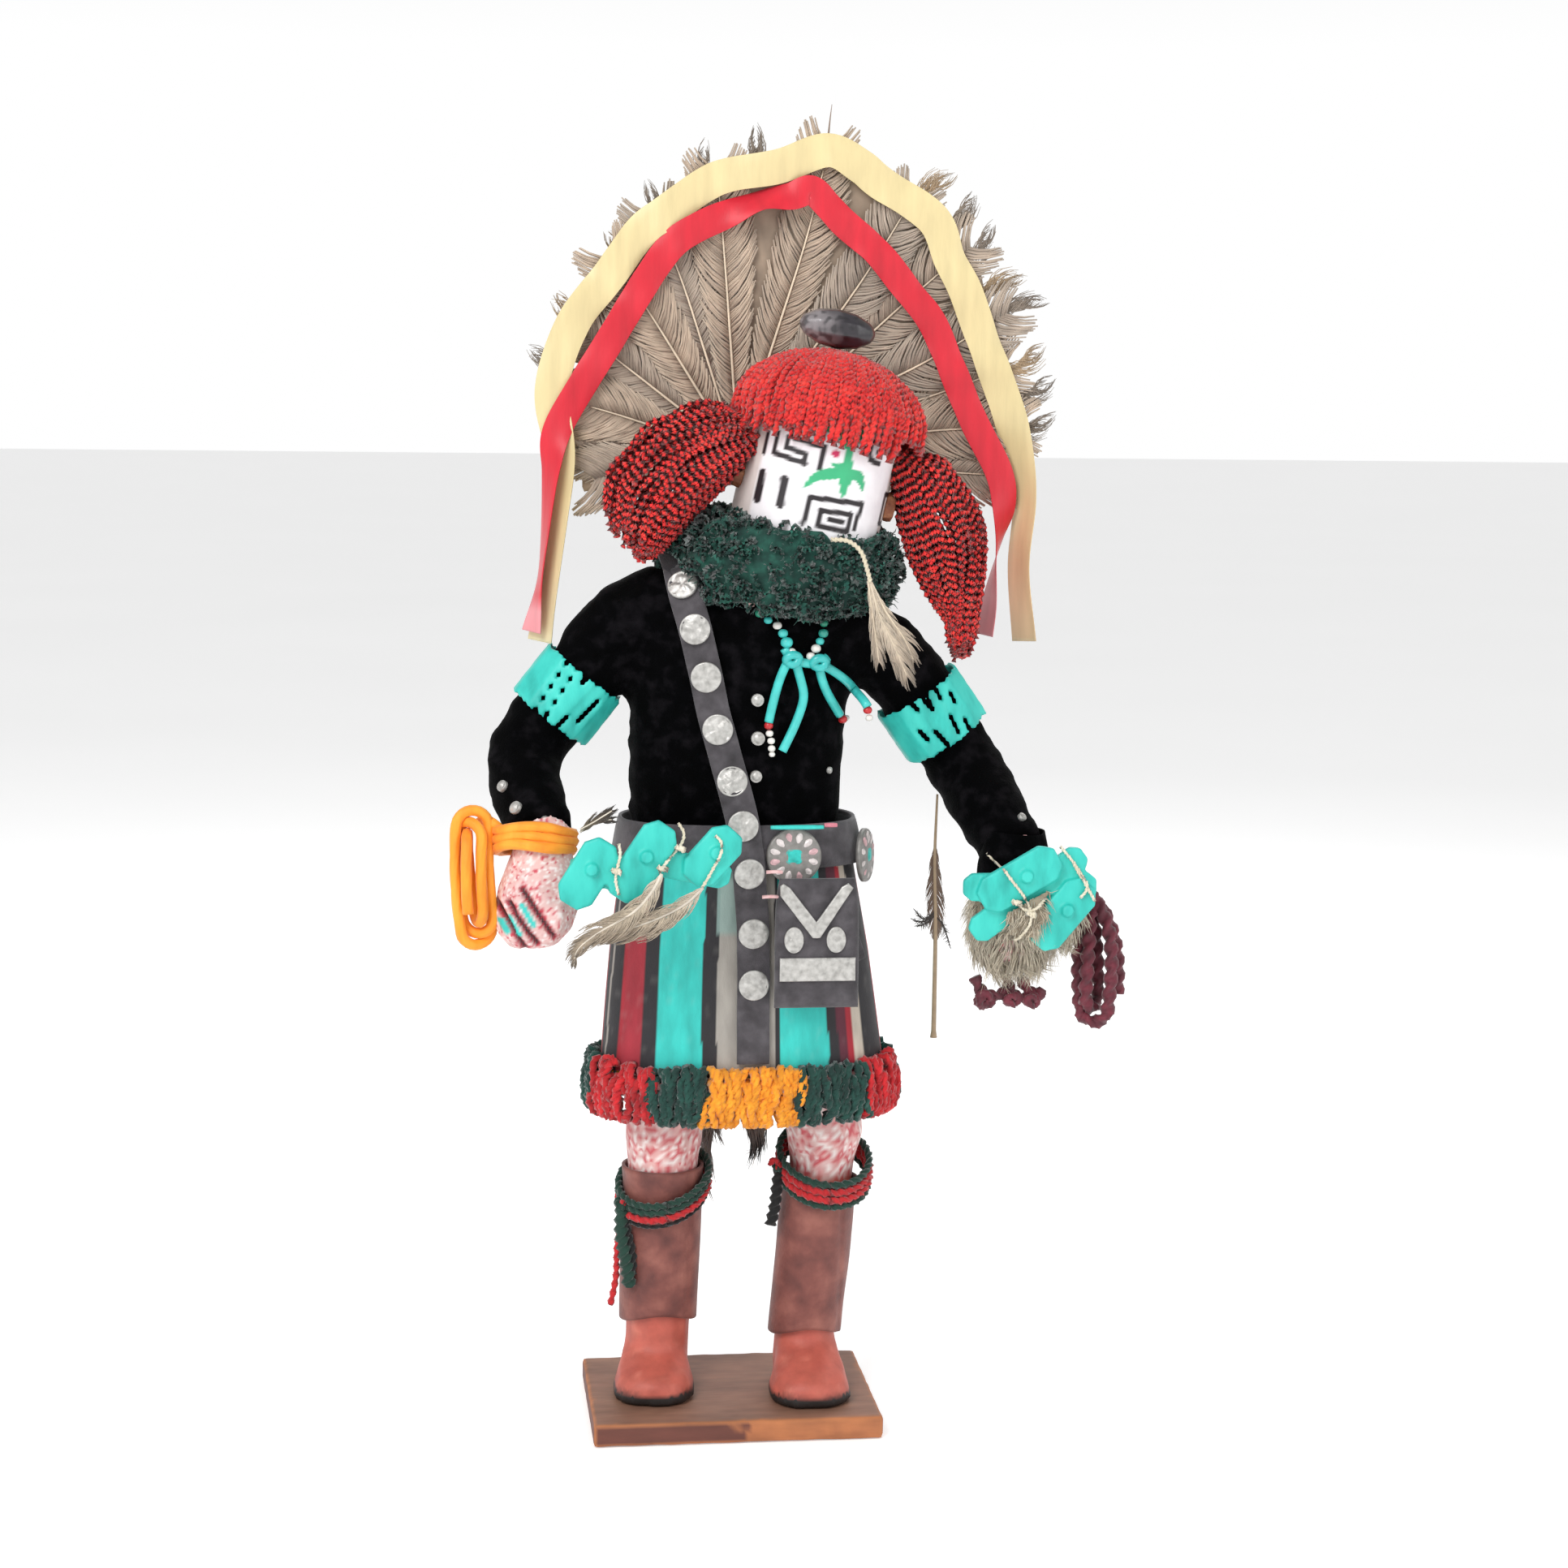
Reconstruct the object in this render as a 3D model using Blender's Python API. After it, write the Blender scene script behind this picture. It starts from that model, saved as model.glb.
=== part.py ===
"""A dressed kachina doll on its wooden base, in metres, +Z up, facing -Y.

The origin is the centre of the base's underside. Left and right are the viewer's: left is -X.
The figure is built from the inside out: legs and shirt first, then what is worn over them,
each laid on the surface below it or cut back from its neighbours by a small gap.
"""

import math

import bmesh
import bpy
from mathutils import Matrix, Vector
from mathutils.bvhtree import BVHTree

# Clearances
GAP = 0.0004  # between pieces that touch
CUT_GAP = 0.0007  # how far a neighbour is grown before it cuts a piece
SINK = 0.0003  # how far a disc or a slat is sunk in what it is joined to

# Base
BASE_WIDTH = 0.100
BASE_DEPTH = 0.072
BASE_THICKNESS = 0.008
BASE_ROUNDING = 0.0012

# Heights of the figure, above the top of the base
KNEE_HEIGHT = 0.092
HEM_HEIGHT = 0.118
WAIST_HEIGHT = 0.199
BODY_LENGTH = 0.094  # waist to the top of the collar

# Sections
FLAT_ANGLE = math.radians(1.5)  # faces that turn less than this are merged after a cut
LIMB_SIDES = 10
BODY_SIDES = 18
KILT_SIDES = 24
SLEEVE_SIDES = 10
HAND_SIDES = 12
HAIR_SIDES = 12
CROWN_SIDES = 18
MASK_SIDES = 20
FUR_SIDES = 10
BEAD_SIDES = 4
DISC_SIDES = 8

# Legs and feet
FOOT_WIDTH = 0.029
KNEE_RADIUS = 0.0138
THIGH_RADIUS = 0.0150
SOLE_THICKNESS = 0.004
SOLE_WELT = 0.0008
LEGGING_WALL = 0.0012
LEGGING_LENGTH = 0.056
LEGGING_EASE = 0.0006  # leather to leg
GARTER_WIDTH = 0.0075
GARTER_THICKNESS = 0.0026
GARTER_TAIL = 0.0022  # radius of the hanging ends

# Kilt
KILT_WAIST = (0.0390, 0.0250)  # half width, half depth
KILT_HEM = (0.0500, 0.0290)
KILT_HEM_SHIFT = 0.0035  # the hem's centre lies this far to the right
KILT_WALL = 0.0015
KILT_SQUARENESS = 2.3
KILT_RISE = 0.001  # above the waist
FRINGE_DROP = 0.021
FRINGE_THICKNESS = 0.0055
FRINGE_OVERLAP = 0.005  # over the kilt's lower edge

# Belt, bandolier and what hangs from them
BELT_HEIGHT = 0.015
BELT_THICKNESS = 0.0014
CONCHO_RADIUS = 0.0097
CONCHO_THICKNESS = 0.0015
STRAP_WIDTH = 0.0105
STRAP_THICKNESS = 0.0012
CONCHO_X = 0.0172
DISC_RADIUS = 0.0052
DISC_THICKNESS = 0.0012
SHOULDER_HEIGHT = 0.083  # above the waist: higher than this the strap lies on the shoulder
SHOULDER_LIFT = 0.0022  # the stiff strap stands off the round shoulder
STRAP_STEP = 0.013  # between the sections along the strap
DISC_HEIGHTS = (0.7851, 0.6043, 0.4106, 0.2351, 0.0809, -0.1012, -0.3679, -0.5815)  # as the route's
BANDOLIER_ROUTE = (  # from the back over the left shoulder and down the front, the heights as shares:
    # above the waist of the body's length, and below it of the kilt's
    (0.0140, 0.03, 0.1064),
    (0.0080, 0.03, 0.2340),
    (-0.0030, 0.03, 0.5319),
    (-0.0140, 0.02, 0.8085),
    (-0.0200, 0.012, 1.0638),
    (-0.0215, -0.004, 1.0638),
    (-0.0210, -0.018, 0.9362),
    (-0.0163, -0.02, 0.7851),
    (-0.0124, -0.02, 0.6043),
    (-0.0087, -0.02, 0.4106),
    (-0.0037, -0.02, 0.2351),
    (0.0000, -0.02, 0.0809),
    (0.0018, -0.02, -0.0988),
    (0.0040, -0.02, -0.3704),
    (0.0038, -0.02, -0.5926),
    (0.0040, -0.02, -0.9321),
)
POUCH_WIDTH = 0.0285
POUCH_HEIGHT = 0.044
POUCH_THICKNESS = 0.0045
POUCH_STRAP_X = 0.0036  # the strap's middle beside the pouch
POUCH_DROP = 0.0020  # the pouch's top below the belt's foot
POUCH_BAR_RISE = 0.0135
POUCH_BAR_HEIGHT = 0.0080
OVAL_SIZE = (0.0033, 0.0045)
TRIM_THICKNESS = 0.0008
BAR_HEIGHT = 0.0022
BAR_THICKNESS = 0.0016
BEAD_RADIUS = 0.0011
BEAD_STEP = 0.009  # between the sections along a strand
HIP_TIE_WIDTH = 0.0072
HIP_TIE_THICKNESS = 0.0011

# Arms
SLEEVE_RADIUS = 0.0136
SLEEVE_STEP = 0.0125  # between the sections along an arm
WRIST_RADIUS = 0.0112
ARMBAND_WIDTH = 0.0210
ARMBAND_WALL = 0.0011
ARMBAND_EASE = 1.07  # the sleeve is a little thicker towards the shoulder
HAND_WIDTH = 0.0270
HAND_LENGTH = 0.0360
HAND_LEAN = {"left": -0.0050, "right": -0.0030}

# Head
MASK_RADIUS = 0.0250
MASK_HEIGHT = 0.054
MASK_TILT = math.radians(12.5)
EAR_SIZE = 0.0055
RUFF_REACH = (0.0290, 0.0235)  # centreline of the ruff, half width and half depth
RUFF_TUBE = (0.0140, 0.0185)  # half thickness outwards and half height
RUFF_STEPS = 18
RUFF_SIDES = 7
HAIR_ROOM = CUT_GAP * 2.2  # how far a bundle of hair is grown before it cuts its neighbours
SEED_SIZE = (0.0132, 0.0075, 0.0070)

# Fan and ribbons
FAN_FEATHERS = 16
FAN_SIDE_RADIUS = 0.086
FAN_TOP_RADIUS = 0.097
FAN_THICKNESS = 0.0026
FAN_RIDGE = (0.0, 0.0011, 0.0007)  # how far each feather stands up, from edge to edge
FAN_START = math.radians(-9)
FAN_END = math.radians(190)
TIP_FEATHER = 0.008
RIBBON_WIDTH = 0.0115
RIBBON_THICKNESS = 0.0006

# Lattices
SLAT_WIDTH = 0.0130
SLAT_THICKNESS = 0.0030
PEG_RADIUS = 0.0025
PEG_HEIGHT = 0.0025

BASE_TOP = BASE_THICKNESS
HEM_Z = BASE_TOP + HEM_HEIGHT
WAIST_Z = BASE_TOP + WAIST_HEIGHT
COLLAR_Z = WAIST_Z + BODY_LENGTH
BELT_FOOT = WAIST_Z - BELT_HEIGHT * 0.6
HEAD = Vector((0.0265, -0.006, COLLAR_Z + 0.0300))
UP = Vector((0, 0, 1))


def low(x, y, z):
    """A point given above the base's top."""
    return Vector((x, y, BASE_TOP + z))


def high(x, y, z):
    """A point given above the waist."""
    return Vector((x, y, WAIST_Z + z))


def rise_of(share):
    """A height from the waist, as a share of the body's length above it or the kilt's below it."""
    return share * (BODY_LENGTH if share > 0 else WAIST_HEIGHT - HEM_HEIGHT)


def by_head(x, y, z):
    """A point given from the middle of the head."""
    return HEAD + Vector((x, y, z))


# Materials


def material(name, colour, roughness, metallic=0.0):
    made = bpy.data.materials.new(name)
    made.use_nodes = True
    shader = made.node_tree.nodes["Principled BSDF"]
    shader.inputs["Base Color"].default_value = (*colour, 1)
    shader.inputs["Roughness"].default_value = roughness
    shader.inputs["Metallic"].default_value = metallic
    return made


# Making meshes


def add(name, points, faces, finish):
    """A new object from points and faces, its faces turned outward and shaded smooth."""
    mesh = bpy.data.meshes.new(name)
    mesh.from_pydata([tuple(p) for p in points], [], faces)
    mesh.materials.append(finish)
    mesh.shade_smooth()
    mesh.set_sharp_from_angle(angle=math.radians(40))
    piece = bpy.data.objects.new(name, mesh)
    bpy.context.collection.objects.link(piece)
    return piece


def signed(value, power):
    return math.copysign(abs(value) ** power, value)


def ring(centre, side, up, half_width, half_height, sides, squareness=2.0, flute=0.0):
    """Points round a superellipse; flute moves every other point in and out, like strands."""
    points = []
    for i in range(sides):
        angle = math.tau * i / sides
        grow = 1 + (flute if i % 2 else -flute)
        x = half_width * grow * signed(math.cos(angle), 2 / squareness)
        y = half_height * grow * signed(math.sin(angle), 2 / squareness)
        points.append(centre + side * x + up * y)
    return points


def level(centre, half_width, half_depth, sides, squareness=2.0):
    """A horizontal ring, seen from above."""
    return ring(centre, Vector((1, 0, 0)), Vector((0, 1, 0)), half_width, half_depth, sides, squareness)


def wall(first, second, count, flip=False):
    """The faces between two rings whose points start at first and second."""
    faces = []
    for i in range(count):
        j = (i + 1) % count
        face = (first + i, first + j, second + j, second + i)
        faces.append(face[::-1] if flip else face)
    return faces


def volume(points, faces):
    total = 0
    for face in faces:
        for i in range(1, len(face) - 1):
            total += points[face[0]].dot(points[face[i]].cross(points[face[i + 1]]))
    return total


def outward(points, faces):
    return faces if volume(points, faces) > 0 else [face[::-1] for face in faces]


def loft(name, rings, finish):
    """A closed solid through rings of equal count, capped at both ends."""
    count = len(rings[0])
    points = [p for r in rings for p in r]
    faces = [f for k in range(len(rings) - 1) for f in wall(k * count, (k + 1) * count, count)]
    faces.append(tuple(reversed(range(count))))
    faces.append(tuple(range((len(rings) - 1) * count, len(points))))
    return add(name, points, outward(points, faces), finish)


def loop(name, rings, finish):
    """A closed solid through rings that come back to the first one, like a tyre."""
    count = len(rings[0])
    points = [p for r in rings for p in r]
    faces = []
    for k in range(len(rings)):
        faces += wall(k * count, (k + 1) % len(rings) * count, count)
    return add(name, points, outward(points, faces), finish)


def hoop(name, outer, inner, finish):
    """A tube with a wall, open at both ends, from outer and inner rings given bottom to top."""
    profile = [list(r) for r in outer] + [list(r) for r in reversed(inner)]
    return loop(name, profile, finish)


def smooth_path(points, step):
    """A Catmull-Rom curve through the points, with a point about every step."""
    ends = [points[0] * 2 - points[1], *points, points[-1] * 2 - points[-2]]
    path = []
    for a, b, c, d in zip(ends, ends[1:], ends[2:], ends[3:]):
        parts = max(1, round((c - b).length / step))
        for k in range(parts):
            t = k / parts
            path.append(
                0.5
                * (
                    b * 2
                    + (c - a) * t
                    + (a * 2 - b * 5 + c * 4 - d) * t**2
                    + (b * 3 - a - c * 3 + d) * t**3
                )
            )
    path.append(points[-1].copy())
    return path


def tangents(path):
    ends = [path[0], *path, path[-1]]
    return [(c - a).normalized() for a, c in zip(ends, ends[2:])]


def frames(path, side):
    """A side and an up vector at each point of a path, carried along it without twisting."""
    made = []
    for along in tangents(path):
        up = along.cross(side).normalized()
        side = up.cross(along).normalized()
        made.append((side.copy(), up))
    return made


def at(values, share):
    """A value read between evenly spaced values, at a share from 0 to 1 of the way."""
    place = share * (len(values) - 1)
    k = min(int(place), len(values) - 2)
    return values[k] + (values[k + 1] - values[k]) * (place - k)


def limb_rings(path, widths, heights, side, sides, flute=0.0, squareness=2.0):
    """Rings across a path, their half widths and half heights read along it."""
    rings = []
    last = len(path) - 1
    for i, (point, (across, up)) in enumerate(zip(path, frames(path, side))):
        rings.append(
            ring(point, across, up, at(widths, i / last), at(heights, i / last), sides, squareness, flute)
        )
    return rings


def limb(name, path, widths, heights, finish, side=Vector((0, 1, 0)), sides=LIMB_SIDES, flute=0.0):
    return loft(name, limb_rings(path, widths, heights, side, sides, flute), finish)


def band(name, path, across, half_width, half_thickness, finish):
    """A flat strip: across gives, for each point, the direction of its width."""
    rings = []
    for point, along, width in zip(path, tangents(path), across):
        face = width.cross(along).normalized() * half_thickness
        edge = along.cross(face).normalized() * half_width
        rings.append([point - edge - face, point + edge - face, point + edge + face, point - edge + face])
    return loft(name, rings, finish)


def plate(name, outline, back, front, finish, inset=0.0):
    """An upright plate from an outline of (x, z); its front face may be drawn in a little."""
    middle_x = sum(x for x, _ in outline) / len(outline)
    middle_z = sum(z for _, z in outline) / len(outline)
    rings = [[Vector((x, back, z)) for x, z in outline]]
    drawn_in = []
    for x, z in outline:
        away = Vector((x - middle_x, 0, z - middle_z))
        drawn_in.append(Vector((x, front, z)) - away.normalized() * inset)
    rings.append(drawn_in)
    return loft(name, rings, finish)


# Fitting pieces together


def settle(piece):
    """Give the piece the mesh that its modifiers make."""
    graph = bpy.context.evaluated_depsgraph_get()
    mesh = bpy.data.meshes.new_from_object(piece.evaluated_get(graph))
    piece.modifiers.clear()
    piece.data = mesh


def in_triangles(piece):
    """Split every face, because a Boolean takes a twisted face for a flat one."""
    mesh = bmesh.new()
    mesh.from_mesh(piece.data)
    bmesh.ops.triangulate(mesh, faces=mesh.faces)
    mesh.to_mesh(piece.data)
    mesh.free()


def cut_or_join(piece, tool, operation):
    in_triangles(piece)
    in_triangles(tool)
    tool.hide_render = True
    tool.display_type = "WIRE"
    step = piece.modifiers.new(operation.lower(), "BOOLEAN")
    step.operation = operation
    step.object = tool
    settle(piece)
    bpy.data.objects.remove(tool)
    tidy(piece, operation == "DIFFERENCE")


def join(piece, *others):
    for other in others:
        cut_or_join(piece, other, "UNION")
    return piece


def grown(piece, amount):
    """A copy of the piece, each point moved out along its normal."""
    tool = piece.copy()
    tool.data = piece.data.copy()
    bpy.context.collection.objects.link(tool)
    normals = [v.normal.copy() for v in tool.data.vertices]
    for vertex, normal in zip(tool.data.vertices, normals):
        vertex.co += normal * amount
    return tool


def keep_clear(piece, *neighbours, gap=CUT_GAP):
    """Cut the piece back from its neighbours, with a gap."""
    for neighbour in neighbours:
        cut_or_join(piece, grown(neighbour, gap), "DIFFERENCE")
    return piece


def cut_back(piece, rooms):
    """Cut the piece with solids made for it, which are used up."""
    for room in rooms:
        cut_or_join(piece, room, "DIFFERENCE")
    return piece


def drop_splinters(mesh):
    """Keep the largest body: a cut through a wavy surface can leave splinters beside it."""
    left = set(mesh.verts)
    bodies = []
    while left:
        found, edge = set(), {left.pop()}
        while edge:
            found |= edge
            edge = {e.other_vert(v) for v in edge for e in v.link_edges} - found
        left -= found
        bodies.append(found)
    for body in sorted(bodies, key=len)[:-1]:
        bmesh.ops.delete(mesh, geom=list(body), context="VERTS")


def tidy(piece, was_cut):
    """Merge the flat faces that a Boolean has split."""
    mesh = bmesh.new()
    mesh.from_mesh(piece.data)
    if was_cut:
        drop_splinters(mesh)
    bmesh.ops.dissolve_limit(mesh, angle_limit=FLAT_ANGLE, verts=mesh.verts, edges=mesh.edges)
    mesh.to_mesh(piece.data)
    mesh.free()


def surface(*pieces):
    """The faces of some pieces as one surface that others can be laid on."""
    points, faces = [], []
    for piece in pieces:
        start = len(points)
        points += [v.co.copy() for v in piece.data.vertices]
        faces += [[start + i for i in p.vertices] for p in piece.data.polygons]
    return BVHTree.FromPolygons(points, faces)


def front_of(tree, x, z):
    """Where a line from the front meets the surface."""
    hit = tree.ray_cast(Vector((x, -1, z)), Vector((0, 1, 0)))[0]
    return hit.y if hit else 0.0


def hit_from(tree, start, way):
    """Where a line along +Y (way 1) or -Y (way -1) meets the surface, with the normal there."""
    place, normal, _, _ = tree.ray_cast(start, Vector((0, way, 0)))
    return place, normal


def seat_on(tree, point, lift, reach=0.006):
    """A strap's place on the clothes near a point, and its normal: from in front or behind
    below the shoulder, over the highest of what lies within reach, and from above on it."""
    if point.z > WAIST_Z + SHOULDER_HEIGHT:
        place, normal, _, _ = tree.find_nearest(point)
        return place + normal * (lift + SHOULDER_LIFT), normal
    way = 1 if point.y < 0 else -1
    hits = []
    for rise in (-reach, 0, reach):
        hits.append(hit_from(tree, Vector((point.x, -way, point.z + rise)), way))
    place, normal = min((h for h in hits if h[0]), key=lambda h: h[0].y * way)
    return Vector((point.x, place.y - lift * way, point.z)), normal


def laid_on(tree, points, lift):
    """The points moved to stand off the surface by lift, with the surface's normal at each."""
    path, normals = [], []
    for point in points:
        place, normal, _, _ = tree.find_nearest(point)
        if normal.dot(point - place) < 0:
            normal = -normal
        path.append(place + normal * lift)
        normals.append(normal)
    return path, normals


# Base and legs


def make_base(wood):
    half = Vector((BASE_WIDTH, BASE_DEPTH, BASE_THICKNESS)) / 2
    rings = []
    for x, inset in ((-1, BASE_ROUNDING), (-1, 0), (1, 0), (1, BASE_ROUNDING)):
        depth, height = half.y - inset, half.z - inset
        step = BASE_ROUNDING if inset else 0
        x_here = x * (half.x if inset else half.x - BASE_ROUNDING)
        corners = ((-1, -1), (1, -1), (1, 1), (-1, 1))
        section = []
        for k, (sy, sz) in enumerate(corners):
            near = (BASE_ROUNDING, 0) if k % 2 == 0 else (0, BASE_ROUNDING)
            far = near[::-1]
            for dy, dz in (far, near) if k % 2 else (near[::-1], far[::-1]):
                y = sy * (depth - max(dy - step, 0))
                z = half.z + sz * (height - max(dz - step, 0))
                section.append(Vector((x_here, y, z)))
        rings.append(section)
    return loft("base", rings, wood)


def foot_rings(toe, heel):
    """Sections from heel to toe: flat below, rounded above, with a welt round the sole."""
    # share of the length, half width, height, as shares of the foot's width
    stations = (
        (0.00, 0.26, 0.42),
        (0.08, 0.37, 0.70),
        (0.32, 0.41, 0.84),
        (0.58, 0.48, 0.56),
        (0.80, 0.47, 0.40),
        (0.94, 0.34, 0.31),
        (1.00, 0.16, 0.24),
    )
    along = (toe - heel).normalized()
    across = along.cross(UP)
    rings = []
    for share, half_width, height in stations:
        centre = heel.lerp(toe, share)
        half, top = half_width * FOOT_WIDTH, height * FOOT_WIDTH
        welt = half + SOLE_WELT
        section = [(-welt * 0.96, 0), (welt * 0.96, 0), (welt, SOLE_THICKNESS * 0.5), (half, SOLE_THICKNESS)]
        shoulder = SOLE_THICKNESS + (top - SOLE_THICKNESS) * 0.62
        section += [(half * 0.86, shoulder), (half * 0.42, top)]
        section += [(-half * 0.42, top), (-half * 0.86, shoulder)]
        section += [(-half, SOLE_THICKNESS), (-welt, SOLE_THICKNESS * 0.5)]
        rings.append([centre + across * x + UP * z for x, z in section])
    return rings


# Each leg: toe, heel, ankle, knee, hip as points, and the leggings' lower and upper radii
LEGS = {
    "left": {
        "toe": (-0.0285, -0.0205),
        "heel": (-0.0245, 0.0225),
        "shin_foot": (-0.0255, 0.0075),
        "knee": (-0.0235, 0.0015),
        "hip": (-0.0180, 0.0),
        "legging_foot": 0.025,
        "garter": (0.0810, 0.0105, -0.004),
        "radii": (0.0112, 0.0128),
    },
    "right": {
        "toe": (0.0262, -0.0280),
        "heel": (0.0285, 0.0145),
        "shin_foot": (0.0255, 0.0035),
        "knee": (0.0332, 0.0000),
        "hip": (0.0190, 0.0),
        "legging_foot": 0.0195,
        "garter": (0.0865, 0.0065, 0.003),
        "radii": (0.0106, 0.0118),
    },
}
SHIN_DEPTH = 1.06  # a shin's depth as a share of its width


def shin_ring(leg, height, extra):
    """A ring round the shin, grown by extra, at a height above the base."""
    foot_x, foot_y = leg["shin_foot"]
    knee_x, knee_y = leg["knee"]
    share = height / KNEE_HEIGHT
    centre = low(foot_x + (knee_x - foot_x) * share, foot_y + (knee_y - foot_y) * share, height)
    radius = leg["radii"][0] + (leg["radii"][1] - leg["radii"][0]) * share
    return level(centre, radius + extra, radius * SHIN_DEPTH + extra, LIMB_SIDES)


def make_leg(side, leg, paint):
    foot = loft(
        f"leg_{side}",
        foot_rings(low(*leg["toe"], GAP), low(*leg["heel"], GAP)),
        paint,
    )
    rings = [shin_ring(leg, height, 0) for height in (0.008, 0.018, 0.030, KNEE_HEIGHT - 0.010)]
    knee = low(*leg["knee"], KNEE_HEIGHT)
    hip = Vector((*leg["hip"], WAIST_Z - 0.006 - GAP))
    rings.append(level(knee, KNEE_RADIUS, KNEE_RADIUS * SHIN_DEPTH, LIMB_SIDES))
    rings.append(level(knee.lerp(hip, 0.4), THIGH_RADIUS * 0.94, THIGH_RADIUS, LIMB_SIDES))
    rings.append(level(hip, THIGH_RADIUS, THIGH_RADIUS * 1.1, LIMB_SIDES))
    return join(foot, loft("shin", rings, paint))


def make_legging(side, leg, leather):
    start = leg["legging_foot"]
    heights = (start, start + LEGGING_LENGTH * 0.5, start + LEGGING_LENGTH)
    flare = (LEGGING_EASE * 2, LEGGING_EASE * 1.2, LEGGING_EASE * 1.6)
    inner = [shin_ring(leg, h, e) for h, e in zip(heights, flare)]
    outer = [shin_ring(leg, h, e + LEGGING_WALL) for h, e in zip(heights, flare)]
    return hoop(f"legging_{side}", outer, inner, leather)


def make_garter(side, leg, yarn):
    """A loose band that hangs lower in front, with a knot and two ends at its outer side."""
    height, dip, lean = leg["garter"]
    reach = LEGGING_EASE * 1.6 + LEGGING_WALL + GAP * 2
    rings = []
    steps = 12
    for i in range(steps):
        angle = math.tau * i / steps
        lift = math.sin(angle) * dip * 0.7 + math.cos(angle) * lean
        ring_here = shin_ring(leg, min(height + lift, KNEE_HEIGHT), reach)
        centre = sum(ring_here, Vector()) / LIMB_SIDES
        half_x = (ring_here[0] - centre).length / math.cos(math.pi / LIMB_SIDES)
        half_y = half_x * SHIN_DEPTH
        outward_here = Vector((math.cos(angle), math.sin(angle), 0))
        edge = Vector((centre.x + half_x * math.cos(angle), centre.y + half_y * math.sin(angle), 0))
        edge.z = BASE_TOP + height + lift
        profile = []
        for out, rise in ((0, -0.5), (0.7, -0.5), (1, 0), (0.7, 0.5), (0, 0.5)):
            profile.append(edge + outward_here * GARTER_THICKNESS * out + UP * GARTER_WIDTH * rise)
        rings.append(profile)
    garter = loop(f"garter_{side}", rings, yarn)
    sign = -1
    knot = min((r[2] for r in rings), key=lambda p: p.x) + Vector((sign * 0.0006, 0, 0))
    tails = ((0.0, 0.030, 0.001), (-0.0035, 0.038, -0.002)) if side == "left" else ((0.0, 0.020, 0.0),)
    for k, (spread, drop, back) in enumerate(tails):
        ends = [knot + UP * 0.002, knot + Vector((spread * 0.4 - 0.0012, back, -drop * 0.4))]
        ends.append(knot + Vector((spread - 0.0012, back * 1.5, -drop)))
        radii = [GARTER_TAIL * 1.25, GARTER_TAIL * 1.2, GARTER_TAIL, GARTER_TAIL * 0.7]
        join(garter, limb(f"tail_{k}", smooth_path(ends, 0.008), radii, radii, yarn, sides=6))
    return garter


# Kilt, fringe and belt


def kilt_size(height):
    """The kilt's centre and outer half sizes at a height."""
    share = max(0.0, min(1.0, (WAIST_Z - height) / (WAIST_Z - HEM_Z)))
    flare = share**0.8
    half_width = KILT_WAIST[0] + (KILT_HEM[0] - KILT_WAIST[0]) * flare
    half_depth = KILT_WAIST[1] + (KILT_HEM[1] - KILT_WAIST[1]) * flare
    return Vector((0.001 + (KILT_HEM_SHIFT - 0.001) * share, 0, height)), half_width, half_depth


def kilt_ring(height, extra, sides=KILT_SIDES):
    centre, half_width, half_depth = kilt_size(height)
    return level(centre, half_width + extra, half_depth + extra, sides, KILT_SQUARENESS)


def make_kilt(cloth):
    heights = [HEM_Z + (WAIST_Z + KILT_RISE - HEM_Z) * k / 2 for k in range(3)]
    outer = [kilt_ring(h, 0) for h in heights]
    inner = [kilt_ring(h, -KILT_WALL) for h in heights]
    return hoop("kilt", outer, inner, cloth)


def hem_point(angle, extra, height):
    centre, half_width, half_depth = kilt_size(HEM_Z)
    x = (half_width + extra) * signed(math.cos(angle), 2 / KILT_SQUARENESS)
    y = (half_depth + extra) * signed(math.sin(angle), 2 / KILT_SQUARENESS)
    return Vector((centre.x + x, centre.y + y, height))


def make_fringe(name, start, end, yarn):
    """A block of yarn loops along the hem, between two angles round the kilt."""
    steps = max(5, round((end - start) / math.radians(7)))
    rings = []
    for i in range(steps + 1):
        angle = start + (end - start) * (i / steps)
        lump = 1 if i % 2 else 0
        out = FRINGE_THICKNESS * (0.86 + 0.14 * lump)
        top = HEM_Z + FRINGE_OVERLAP - 0.001 * lump
        foot = HEM_Z + FRINGE_OVERLAP - FRINGE_DROP + 0.0016 * (1 - lump)
        section = (
            (GAP * 2, top),
            (out * 0.7, top - 0.001),
            (out, (top + foot) / 2),
            (out * 0.8, foot + 0.001),
            (GAP * 2, foot),
        )
        rings.append([hem_point(angle, extra, height) for extra, height in section])
    return loft(name, rings, yarn)


def make_belt(leather):
    """A leather band over the kilt's top edge and the shirt's foot."""
    heights = (BELT_FOOT, BELT_FOOT + BELT_HEIGHT)
    ease = (0.0014, 0.0004)
    inner = [kilt_ring(h, GAP * 2 + e) for h, e in zip(heights, ease)]
    outer = [kilt_ring(h, GAP * 2 + e + BELT_THICKNESS) for h, e in zip(heights, ease)]
    return hoop("belt", outer, inner, leather)


def domed(name, centre, normal, half_width, half_height, thickness, finish, sides=10):
    """A round or oval plate whose front is a little smaller, standing on its back's centre."""
    side = UP.cross(normal).normalized()
    up = normal.cross(side)
    rings = [
        ring(centre, side, up, half_width, half_height, sides),
        ring(centre + normal * thickness, side, up, half_width * 0.86, half_height * 0.86, sides),
    ]
    return loft(name, rings, finish)


# Shirt

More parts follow.
